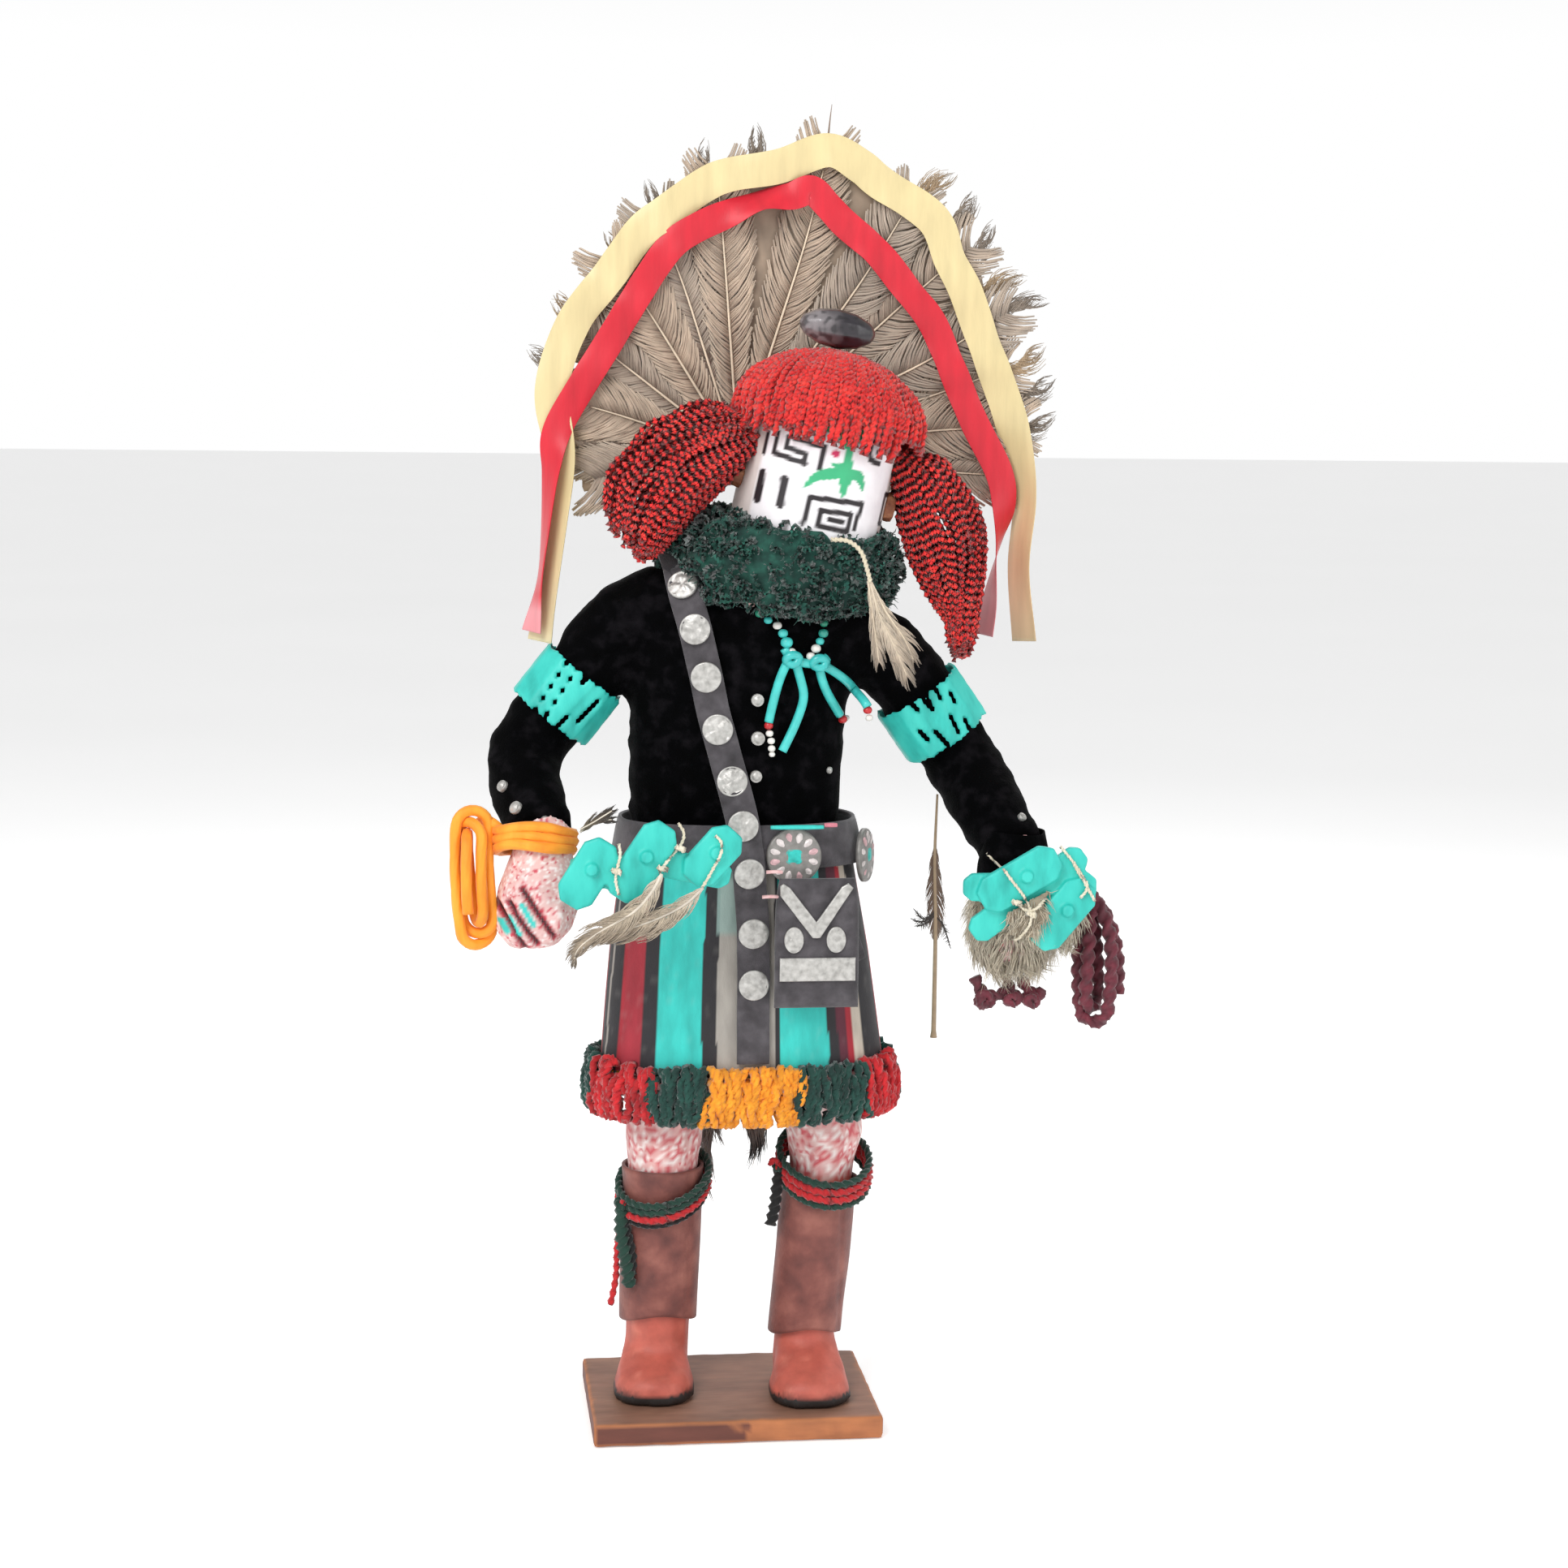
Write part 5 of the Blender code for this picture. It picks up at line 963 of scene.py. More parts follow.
def concho(node, facing, petals):
    low, high = (np.array(c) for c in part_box(node))
    centre = (low + high) / 2
    facing = Vector(facing).normalized()
    reach = (high[2] - low[2]) / 2
    seat = Vector(centre) + facing * 0.0004
    bundle = Bundle()
    dome(bundle, seat, facing, (reach, reach), (0, 0, 1), 0.0024, 40, colour=DULL_SILVER, hammer=0.15)
    side = Vector((0, 0, 1)).cross(facing).normalized()
    for p in range(petals):
        a = 2 * math.pi * (p + 0.5) / petals
        way = side * math.cos(a) + Vector((0, 0, 1)) * math.sin(a)
        dome(
            bundle, seat + way * reach * 0.66 + facing * 0.0004, facing, (reach * 0.13, reach * 0.24), way, 0.0014, 14,
            colour=rgb(236, 226, 224) if p % 3 else rgb(228, 186, 190),
        )
    dome(bundle, seat + facing * 0.0008, facing, (reach * 0.30, reach * 0.27), (0, 0, 1), 0.0016, 20, 0.8, TURQUOISE)
    bundle.made(node + "_plate", plate_finish, "silver", node, colours=True)


concho("belt_concho", (-0.02, -1, 0), 12)
concho("side_concho", (0.97, -0.42, 0.05), 10)
for node, colour, slot in (
    ("belt_bar_turquoise", TURQUOISE, "turquoise_paint"),
    ("belt_bar_pink", STONE_PINK, "pink_stone"),
):
    low, high = (np.array(c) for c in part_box(node))
    centre, size = (low + high) / 2, high - low
    bar_finish = make_finish(node + " finish", [colour, tuple(c * 0.8 for c in colour[:3]) + (1,)], 0.001, 0.4, 0.0006, 0.00005)
    path = [centre + np.array((x, 0, 0)) for x in np.linspace(-size[0] / 2, size[0] / 2, 14)]
    bundle = Bundle()
    radius = [size[1] / 2 * (0.55 + 0.45 * math.sin(math.pi * (i + 0.7) / 14.4) ** 0.3) for i in range(14)]
    bundle.strand(path, radius, 12, first=(0, 0, 1))
    bundle.made(node + "_stone", bar_finish, slot, node)

# %% [markdown]
# The strap runs from the left shoulder down to the hem and carries a row of silver discs, each set by a
# pin through the leather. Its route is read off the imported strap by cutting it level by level, so the
# leather lies where the solid lies. The discs are nearly flat, and hammered, so each reflects unevenly.

# %% Strap with discs
STRAP_WIDTH = 0.0112
STRAP_THICKNESS = 0.0013
DISC_HEIGHTS = (0.2940, 0.2795, 0.2625, 0.2450, 0.2283, 0.2130, 0.1975, 0.1763, 0.1583)
DISC_RADIUS = 0.0052


def middle_line(node, levels, reach=0.0035, keep=None):
    """The middle of a strip at each level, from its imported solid, and the way it faces."""
    mesh = nodes[node].data
    mesh.calc_loop_triangles()
    samples, normals = [], []
    for triangle in mesh.loop_triangles:
        corners = [mesh.vertices[i].co for i in triangle.vertices]
        for s, t in ((1 / 3, 1 / 3), (0.6, 0.2), (0.2, 0.6), (0.2, 0.2)):
            samples.append(corners[0] * (1 - s - t) + corners[1] * s + corners[2] * t)
            normals.append(triangle.normal * triangle.area)
    samples, normals = np.array(samples), np.array(normals)
    use = np.ones(len(samples), bool) if keep is None else keep(samples)
    line, facing = [], []
    for level in levels:
        near_by = use & (np.abs(samples[:, 2] - level) < reach)
        front = near_by & (normals[:, 1] < 0)
        line.append((samples[near_by].min(axis=0) + samples[near_by].max(axis=0)) / 2)
        line[-1][2] = level
        facing.append(normals[front].sum(axis=0))
    facing = np.array(facing)
    return np.array(line), facing / np.linalg.norm(facing, axis=1, keepdims=True)


def smoothed(values, rounds=6):
    values = np.array(values, dtype=float)
    for _ in range(rounds):
        values[1:-1] = (values[:-2] + 2 * values[1:-1] + values[2:]) / 4
    return values


strap_low, strap_high = (np.array(c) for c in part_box("bandolier"))
front = surface_of("shirt", "belt", "kilt")
levels = np.arange(strap_low[2] + 0.0002, 0.3000, 0.0016)
line, _ = middle_line("bandolier", levels, keep=lambda p: p[:, 1] < -0.004)
line = smoothed(line, 10)
outer = surface_of("bandolier")
strap_path, strap_out = [], []
for x, y, z in line:
    hit = outer.ray_cast(Vector((x, -1, z)), Vector((0, 1, 0)))
    strap_path.append((x, (hit[0].y if hit[0] else y) + STRAP_THICKNESS / 2, z))
    strap_out.append(hit[1] if hit[0] else Vector((0, -1, 0)))
strap_path, strap_out = smoothed(strap_path, 4), smoothed(strap_out, 30)
over = [  # over the shoulder, from the front's top end to behind the neck
    strap_path[-1] + np.array(o) * MM
    for o in ((-0.6, 3.2, 2.4), (-1.4, 8.4, 4.6), (-1.8, 14.5, 4.4), (-1.4, 20.5, 1.2), (-0.4, 26.5, -4.5))
]
over_route = resampled(np.vstack([strap_path[-2:-1], over]), 0.0016)[1:]
shoulder = surface_of("bandolier")
over_out = [shoulder.find_nearest(Vector(p))[1] for p in over_route]
whole = np.vstack([strap_path, over_route])
facing = smoothed(np.vstack([strap_out, [(n if n.z > -0.2 else -n) for n in over_out]]), 8)
along = np.gradient(whole, axis=0)
across = np.cross(along, facing)
rings = swept(whole, across, strip_section(STRAP_WIDTH, STRAP_THICKNESS))
stitch = Bundle()
stitch.add(rings, capped(rings))
stitch.made("shoulder_strap", suede, SUEDE, "bandolier")

disc_bundle = Bundle()
for level in DISC_HEIGHTS:
    k = int(np.argmin(np.abs(strap_path[:, 2] - level)))
    out = Vector(strap_out[k]).normalized()
    seat = Vector(strap_path[k]) + out * (STRAP_THICKNESS * 0.62)
    dome(disc_bundle, seat, out, (DISC_RADIUS, DISC_RADIUS), (0, 0, 1), 0.0013, 36, hammer=0.5)
disc_bundle.made("strap_discs", silver, "silver")

# %% [markdown]
# The pouch is a flat suede bag that hangs from the belt. Its front carries trim cut from thin silver
# sheet: a chevron, a bar and two ovals. The bag is a loft whose middle swells and whose edges are
# pressed thin, where the two layers of leather are joined.

# %% Pouch
pouch_low, pouch_high = (np.array(c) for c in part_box("pouch"))
POUCH_MIDDLE = (pouch_low + pouch_high) / 2
rows, columns = 44, 34


def pouch_side(front):
    """One face of the bag as a grid of points; it swells to the front, and lies flat behind."""
    grid = np.empty((rows, columns, 3))
    for i in range(rows):
        v = i / (rows - 1)
        for j in range(columns):
            u = j / (columns - 1)
            inset = 0.0016 * (v**8) * (1 if u < 0.5 else -1) * abs(2 * u - 1)
            x = pouch_low[0] + (pouch_high[0] - pouch_low[0]) * u + inset
            z = pouch_low[2] + (pouch_high[2] - pouch_low[2]) * v
            edge = min(u, 1 - u, v, 1 - v) * 2
            swell = (1 - (1 - min(1, edge * 3.2)) ** 2) ** 0.5
            fold = 0.00025 * noise.noise(Vector((u * 5, v * 5, 2.0)))
            depth = (pouch_high[1] - pouch_low[1]) / 2
            y = POUCH_MIDDLE[1] - (1 if front else -1) * depth * (0.30 + 0.70 * swell) + fold * swell
            grid[i, j] = (x, y, z)
    return grid


front_grid, back_grid = pouch_side(True), pouch_side(False)
ring_order = [(0, j) for j in range(columns)] + [(i, columns - 1) for i in range(1, rows)]
ring_order += [(rows - 1, j) for j in range(columns - 2, -1, -1)] + [(i, 0) for i in range(rows - 2, 0, -1)]
points = np.vstack([front_grid.reshape(-1, 3), back_grid.reshape(-1, 3)])
faces = []
for i in range(rows - 1):
    for j in range(columns - 1):
        a = i * columns + j
        faces.append((a, a + 1, a + 1 + columns, a + columns))
        b = a + rows * columns
        faces.append((b, b + columns, b + 1 + columns, b + 1))
for (i, j), (m, n) in zip(ring_order, ring_order[1:] + ring_order[:1]):
    a, b = i * columns + j, m * columns + n
    faces.append((a, a + rows * columns, b + rows * columns, b))
piece("pouch_bag", points, faces, suede, SUEDE, "pouch")


def cut_sheet(name, outline, depth_back, depth_front, *replaced, round_=0.0005):
    """A plate of sheet metal cut to an outline of (x, z), its front edges rolled over."""
    outline = np.array(outline)
    dense = []
    for a, b in zip(outline, np.roll(outline, -1, axis=0)):
        count = max(2, int(np.linalg.norm(b - a) / 0.0008))
        dense += [a + (b - a) * t for t in np.linspace(0, 1, count, endpoint=False)]
    mesh = bmesh.new()
    back = [mesh.verts.new((x, depth_back, z)) for x, z in dense]
    faces = [mesh.faces.new(back)]
    grown = bmesh.ops.extrude_face_region(mesh, geom=faces)
    for vertex in (v for v in grown["geom"] if isinstance(v, bmesh.types.BMVert)):
        vertex.co.y = depth_front
    bmesh.ops.recalc_face_normals(mesh, faces=mesh.faces)
    front_edges = [e for e in mesh.edges if all(v.co.y == depth_front for v in e.verts)]
    front_edges = [e for e in front_edges if len(e.link_faces) == 2]
    bmesh.ops.bevel(mesh, geom=front_edges, offset=round_, segments=2, affect="EDGES", profile=0.6)
    for vertex in mesh.verts:
        vertex.co.y += 0.00022 * noise.noise(vertex.co * 260)
    bmesh.ops.triangulate(mesh, faces=mesh.faces)
    data = bpy.data.meshes.new(name)
    mesh.to_mesh(data)
    mesh.free()
    data.materials.append(silver)
    data.shade_smooth()
    made = bpy.data.objects.new(name, data)
    bpy.context.collection.objects.link(made)
    settle(made, "silver", *replaced)
    return made


def corner_box(node):
    low, high = (np.array(c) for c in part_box(node))
    return low[0], high[0], low[2], high[2], low[1], high[1]


left, rightmost, foot, head, ahead, behind = corner_box("pouch_chevron")
middle = (left + rightmost) / 2
CHEVRON_WIDTH = 0.0044
bottom = foot + 0.0002
chevron = [
    (left, head - 0.0008), (left + 0.0012, head), (left + 0.0034, head - 0.0014),
    (middle, bottom + CHEVRON_WIDTH * 1.25), (rightmost - 0.0040, head - 0.0012), (rightmost - 0.0018, head),
    (rightmost, head - 0.0016), (middle + 0.0013, bottom), (middle - 0.0012, bottom),
    (left + 0.0002, head - 0.0042),
]
cut_sheet("chevron_trim", chevron[::-1], behind, ahead, "pouch_chevron")
left, rightmost, foot, head, ahead, behind = corner_box("pouch_bar")
cut_sheet(
    "bar_trim", [(left, foot), (rightmost, foot), (rightmost, head), (left, head)], behind, ahead, "pouch_bar"
)
ovals = Bundle()
for node in ("pouch_disc_left", "pouch_disc_right"):
    low, high = (np.array(c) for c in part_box(node))
    half = ((high[0] - low[0]) / 2, (high[2] - low[2]) / 2)
    dome(ovals, (low + high) / 2 + np.array((0, 0.0003, 0)), (0, -1, 0), half, (0, 0, 1), 0.0013, 30, hammer=0.5)
ovals.made("pouch_ovals", silver, "silver", "pouch_disc_left", "pouch_disc_right")
pin_finish = make_finish("pink thread", [rgb(226, 168, 170), rgb(240, 206, 204)], 0.001, 0.7, 0.0004, 0.00005)
pins = Bundle()
for dx, drop, length in ((-0.0032, -0.0024, 0.0055), (-0.0045, 0.0060, 0.0060)):
    start = np.array((pouch_low[0] + dx, pouch_low[1] + 0.0016, pouch_high[2] - drop))
    pins.strand([start, start + (length * 0.5, -0.0002, 0.0002), start + (length, 0, 0)], 0.0006, 8)
pins.made("pink_thread_ends", pin_finish, "pink_stone")
print("the pouch is", round((pouch_high[2] - pouch_low[2]) / MM), "mm deep")

# %% [markdown]
# A narrow tie hangs down the right of the kilt with two silver ovals on it. It lies on the cloth, so its
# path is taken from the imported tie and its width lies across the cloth's own direction there.

# %% Hip tie
tie_low, tie_high = (np.array(c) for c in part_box("hip_tie"))
levels = np.arange(tie_low[2] + 0.0004, tie_high[2] - 0.0004, 0.0014)
line, tie_out = middle_line("hip_tie", levels, 0.003)
line, tie_out = smoothed(line, 12), smoothed(tie_out, 20)
TIE_WIDTH = 0.0078
rings = swept(line, np.cross(np.gradient(line, axis=0), tie_out), strip_section(TIE_WIDTH, 0.0013))
tie = Bundle()
tie.add(rings, capped(rings))
tie.made("hip_strap", suede, SUEDE, "hip_tie")
hip_ovals = Bundle()
for level in (0.1730, 0.1565):
    k = int(np.argmin(np.abs(line[:, 2] - level)))
    out = Vector(tie_out[k]).normalized()
    dome(hip_ovals, Vector(line[k]) + out * 0.0009, out, (0.0036, 0.0064), (0, 0, 1), 0.0013, 30, hammer=0.4)
hip_ovals.made("hip_ovals", silver, "silver")

# %% [markdown]
# The shirt is black cotton velvet, glued over the carved body and arms and worn shiny at its creases. A
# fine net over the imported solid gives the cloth; it is then pushed into soft wrinkles that run round the
# sleeves and pull from the armpits. Velvet looks darkest face on and pale at a glancing angle, because
# its pile stands up, and the shader's sheen gives that rim.

# %% Shirt
velvet = make_finish(
    "black velvet",
    [rgb(0, 0, 0), rgb(2, 2, 3), rgb(20, 18, 21)],
    0.006,
    0.9,
    0.0006,
    0.00030,
    Sheen_Weight=0.02,
    Sheen_Roughness=0.3,
    Specular_IOR_Level=0.05,
)
shirt = finer("shirt", 0.0020, velvet, "velvet", 8)
points, normals = points_of(shirt), normals_of(shirt)
arms = np.clip((np.abs(points[:, 0] - 0.010) - 0.034) / 0.012, 0, 1)
crease = np.array([noise.noise(Vector((p[0] * 40, p[1] * 40, p[2] * 150))) for p in points])
fine_crease = np.array([noise.noise(Vector((p[0] * 120 + p[2] * 60, p[1] * 90, p[2] * 210 - p[0] * 90))) for p in points])
push = 0.0006 * crease + (0.0004 + 0.0005 * arms) * fine_crease * arms - 0.0003 * np.abs(crease)
move_points(shirt, points + normals * push[:, None])
print("shirt:", len(points), "points, creased by up to", round(float(push.max() / MM), 2), "mm")

# %% [markdown]
# Small silver buttons run down the shirt's front and up the outside of each forearm. They are cast beads
# with a flat back, so each is a small dome turned to face the way the cloth faces under it.

# %% Buttons
BUTTONS = (  # x, height, radius
    (0.0052, 0.2550, 0.0022),
    (0.0055, 0.2420, 0.0024),
    (0.0050, 0.2290, 0.0021),
    (0.0310, 0.2300, 0.0012),
    (-0.0490, 0.2890, 0.0012),
    (-0.0800, 0.2262, 0.0020),
    (-0.0758, 0.2202, 0.0023),
    (-0.0668, 0.2170, 0.0014),
    (0.0944, 0.2160, 0.0015),
)
shirt_tree = surface_of("shirt")
buttons = Bundle()
for x, level, radius in BUTTONS:
    hit = shirt_tree.ray_cast(Vector((x, -1, level)), Vector((0, 1, 0)))
    if hit[0] is None:
        continue
    dome(buttons, hit[0] + hit[1] * radius * 0.35, hit[1], (radius, radius), (0, 0, 1), radius * 1.3, 18)
buttons.made("shirt_buttons", silver, "silver")

# %% Right cuff
CUFF_LEVELS = (  # centre x, y, z and half widths of the velvet round the wrist
    ((92.6, -31.0, 211.0), (10.4, 8.6)),
    ((92.4, -31.6, 206.0), (11.2, 9.8)),
    ((92.1, -32.6, 200.0), (11.9, 11.2)),
    ((91.9, -33.2, 194.0), (12.2, 11.8)),
)
angles = np.linspace(0, 2 * math.pi, 72, endpoint=False)
cuff_rings = []
for level in np.linspace(0, len(CUFF_LEVELS) - 1, 24):
    k = min(int(level), len(CUFF_LEVELS) - 2)
    centre, half = (np.array(a) + (np.array(b) - a) * (level - k) for a, b in zip(CUFF_LEVELS[k], CUFF_LEVELS[k + 1]))
    crease = 1 + 0.02 * np.sin(angles * 3 + level * 2.2) + 0.012 * np.sin(angles * 8 - level * 1.4)
    ring = [centre + (half[0] * math.cos(a) * c, half[1] * math.sin(a) * c, 0.5 * math.sin(a * 2 + level))
            for a, c in zip(angles, crease)]
    cuff_rings.append(ring)
points, faces = walled(np.array(cuff_rings[::-1]) * MM, 0.0006)
piece("shirt_cuff_right", points, faces, velvet, "velvet")
print("the right cuff hides the wrist")

# %% [markdown]
# Each armband is a painted hoop round the upper arm. It is carved with the arm on a real doll of this
# kind, so its edges are crisp and its face is flat along the arm. The finer copy keeps that, and a fine
# crackle in its satin paint shows the wood's grain running round.

# %% Armbands
turquoise_paint = make_finish(
    "turquoise paint",
    [rgb(30, 160, 150), rgb(48, 192, 180), rgb(62, 206, 192)],
    0.006,
    0.5,
    0.0007,
    0.00006,
    stretch=(1, 1, 0.35),
)
for side in ("left", "right"):
    band = finer("armband_" + side, 0.0013, turquoise_paint, "turquoise_paint", 3)
    print(band.name, len(band.data.vertices), "points")

# %% [markdown]
# The fists are carved as blocks with three deep cuts between four fingers, painted like the knees, with
# red left in the cuts and a turquoise ring on one finger; a near-black line down the middle of each cut
# is painted shade. The finer copy of the block is cut by pushing points in where they lie near a
# groove's line, which is how a gouge works: deepest at its middle.

# %% Fists
fist_finish = make_finish(
    "speckled paint", [rgb(226, 226, 226), rgb(255, 255, 255)], 0.004, 0.55, 0.0008, 0.00008, paint=True
)
GROOVE_WIDTH = 0.0009
GROOVES = {  # where each cut starts and ends, (x, z) in millimetres
    "left": (((-83.2, 190.8), (-73.6, 175.6)), ((-79.0, 191.0), (-69.6, 177.2)), ((-74.6, 195.6), (-64.0, 179.6))),
    "right": (((84.7, 185.2), (83.3, 169.9)), ((91.2, 183.5), (90.6, 168.6)), ((97.4, 185.2), (98.5, 170.3))),
}
NAILS = (((-78.8, 186.2), (-75.6, 180.6)), ((-74.6, 190.2), (-71.0, 184.0)), ((-81.6, 184.6), (-79.6, 181.4)))


def from_segment(flat, start, end):
    """How far points of a plane are from a line between two of its points."""
    start, end = np.array(start), np.array(end)
    way = end - start
    share = np.clip(((flat - start) @ way) / (way @ way), 0, 1)
    return np.linalg.norm(flat - start - share[:, None] * way, axis=1)


for side in ("left", "right"):
    fist = finer("hand_" + side, 0.0009, fist_finish, "speckled_paint", 6)
    points, normals = points_of(fist), normals_of(fist)
    flat = points[:, [0, 2]]
    front = np.clip(-normals[:, 1] * 2.2 + 0.3, 0, 1)
    coat = speckled(points, np.tile(rgb(232, 190, 186), (len(points), 1)), rgb(204, 66, 84), 0.0014, 0.55, 6)
    coat = speckled(points, coat, rgb(250, 238, 236), 0.0011, 0.62, 8)
    cut = np.zeros(len(points))
    for start, end in GROOVES[side]:
        gap = from_segment(flat, np.array(start) * MM, np.array(end) * MM)
        cut = np.maximum(cut, np.exp(-((gap / GROOVE_WIDTH) ** 2)) * front)
        coat = blend_colours(coat, rgb(176, 40, 58), near(gap, GROOVE_WIDTH * 1.35, 0.0006) * front)
        # Painted shade: a near-black line down the middle of each groove, inside the red paint.
        coat = blend_colours(coat, rgb(44, 22, 28), near(gap, GROOVE_WIDTH * 0.65, 0.0005) * front)
    if side == "left":
        for start, end in NAILS:
            gap = from_segment(flat, np.array(start) * MM, np.array(end) * MM)
            coat = blend_colours(coat, TURQUOISE, near(gap, 0.0010, 0.0005) * front)
    move_points(fist, points - normals * (cut * 0.0016)[:, None])
    paint(fist, coat)
    print(fist.name, "has", len(GROOVES[side]), "grooves")

# %% [markdown]
# Each hand holds a painted lattice: flat slats of wood, pinned one over another with round pegs, that
# would fold like scissors if they weren't glued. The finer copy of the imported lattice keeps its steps
# sharp. Cotton strings tie it to the hand and to the feathers, and every string passes over the slats.

# %% Lattices and strings
for side in ("left", "right"):
    lattice = finer("lattice_" + side, 0.00062, turquoise_paint, "turquoise_paint", 3)
    print(lattice.name, len(lattice.data.vertices), "points")

string_finish = yarn_finish("cotton string", [rgb(216, 204, 176), rgb(240, 232, 212)], 0.8, 0.05)
STRING = 0.00055


def string_over(bundle, tree, route, radius=STRING, lift=0.0004, colour=(1, 1, 1, 1)):
    """A string laid over what is in front; route is (x, z) or (x, y, z) points in millimetres."""
    flat = resampled([(p[0] * MM, 0, p[-1] * MM) for p in route], 0.0009)
    path = []
    for p in flat:
        hit = tree.ray_cast(Vector((p[0], -1, p[2])), Vector((0, 1, 0)))[0]
        path.append((p[0], (hit.y if hit else np.nan), p[2]))
    path = np.array(path)
    known = ~np.isnan(path[:, 1])
    if not known.any():
        return
    steps = np.arange(len(path))
    path[:, 1] = np.interp(steps, steps[known], path[known, 1]) - radius - lift
    taut = smoothed(np.minimum(path, np.inf), 3)
    taut[:, 1] = np.minimum(taut[:, 1], path[:, 1])
    bundle.strand(taut, radius, 6, 2, 0.0028, route[0][0], colour)


left_things = surface_of("lattice_left", "hand_left")
right_things = surface_of("lattice_right", "hand_right", "fur_cuff_right")
strings = Bundle()
LEFT_STRINGS = (
    ((-43.7, 211.7), (-43.1, 208.0), (-44.7, 200.8), (-43.6, 194.9)),
    ((-24.1, 218.0), (-22.0, 214.2), (-24.1, 209.4), (-28.3, 205.4), (-30.1, 201.7)),
    ((-12.2, 214.1), (-10.0, 212.0), (-11.0, 207.2), (-13.7, 201.6), (-16.4, 197.0)),
)
RIGHT_STRINGS = (
    ((82.0, 204.5), (86.5, 198.5), (92.0, 191.0), (93.0, 184.0), (88.5, 177.0)),
    ((87.0, 191.5), (92.5, 188.0), (98.0, 192.0)),
    ((103.5, 209.0), (108.5, 203.0), (112.5, 196.0), (110.0, 192.0)),
    ((108.0, 203.5), (111.0, 198.0), (115.0, 191.0)),
)
for route in LEFT_STRINGS:
    string_over(strings, left_things, route)
for route in RIGHT_STRINGS:
    string_over(strings, right_things, route)
for x, z, tree in ((-44.4, 202.5, left_things), (-29.4, 203.2, left_things), (-23.6, 209.8, left_things),
                   (88.5, 190.5, right_things), (93.0, 187.0, right_things)):
    for k in range(2):
        knot = ((x - 1.6, z + k), (x, z + 0.9 - k), (x + 1.6, z - k * 0.6))
        string_over(strings, tree, knot, STRING * 1.5, 0.0006)
strings.made("cotton_strings", string_finish, "feather_down")

# %% [markdown]
# The feathers are plucked ones, soft and ragged. A feather is a shaft with barbs on both sides, each barb
# a thread that leaves at a slant, curves to the tip and lies by its neighbour. Here each barb is a thin
# three-sided strip, in several layers, and barbs part into tufts, because that is how a worn vane looks.

# %% Feathers


def feather_barbs(bundle, shaft, spread, count, dice, **shape):
    """Barbs on both sides of a shaft. spread(share) is their length along the shaft; shape may give
    facing, slant, curl, width, tufts, fray and colour(share, reach); droop is not used."""
    facing = np.array(shape.get("facing", (0, -1, 0)), dtype=float)
    slant, curl, width = shape.get("slant", 0.75), shape.get("curl", 0.5), shape.get("width", 0.00045)
    fray, steps, fluff = shape.get("fray", 0.25), shape.get("steps", 5), shape.get("fluff", 0.0)
    colour = shape.get("colour", lambda share, reach: (1, 1, 1, 1))
    along = np.gradient(shaft, axis=0)
    along /= np.linalg.norm(along, axis=1, keepdims=True)
    for side in (-1, 1):
        tuft, tuft_lean = 0, 0.0
        for k in range(count):
            share = (k + dice.random()) / count
            if tuft <= 0:
                tuft, tuft_lean = dice.randint(*shape.get("tufts", (3, 8))), dice.uniform(-fray, fray)
            tuft -= 1
            place = share * (len(shaft) - 1)
            i = min(int(place), len(shaft) - 2)
            base = shaft[i] + (shaft[i + 1] - shaft[i]) * (place - i)
            tangent = along[i]
            out = np.cross(tangent, facing) * side
            out /= np.linalg.norm(out)
            face = np.cross(out, tangent)
            face *= -1 if face @ facing < 0 else 1
            reach = spread(share) * (1 + dice.uniform(-fray, fray) * 0.5)
            if reach < 0.0006:
                continue
            lean = slant + tuft_lean * 0.6 + dice.uniform(-0.08, 0.08)
            lift = shape.get("lift", 0.0) + dice.uniform(-1, 1) * fluff
            path = []
            for s in np.linspace(0, 1, steps):
                turn = lean * (1 - curl * s)
                step = out * math.sin(turn) + tangent * math.cos(turn)
                wave = face * (lift * s * s + shape.get("arch", 0.12) * math.sin(math.pi * min(1, s * 1.1)) * 0.5)
                path.append(base + (step * s + wave * (0.5 + 0.5 * s)) * reach)
            path = np.array(path)
            thin = np.linspace(1, shape.get("tip", 0.25), steps) * width / 2
            tones = np.array([colour(share, s) for s in np.linspace(0, 1, steps)])
            bundle.strand(path, thin, 3, 0, phase=dice.random() * 6, colour=np.repeat(tones, 3, axis=0),
                          flat=0.5, first=tangent)


feather_finish = make_finish(
    "soft feather", [rgb(226, 226, 226), rgb(255, 255, 255)], 0.003, 0.75, 0.0003, 0.00003, paint=True, vary=0.16,
    Sheen_Weight=0.25,
)
DOWN_TAN, DOWN_PALE = rgb(184, 167, 146), rgb(222, 212, 196)
dice = random.Random(21)


def graded(*stops):
    """A colour rule that runs through stops along a feather, with a little of its own noise."""
    stops = np.array(stops)

    def colour(share, reach):
        place = np.clip(share * 0.75 + reach * 0.3, 0, 1) * (len(stops) - 1)
        i = min(int(place), len(stops) - 2)
        return stops[i] + (stops[i + 1] - stops[i]) * (place - i)

    return colour


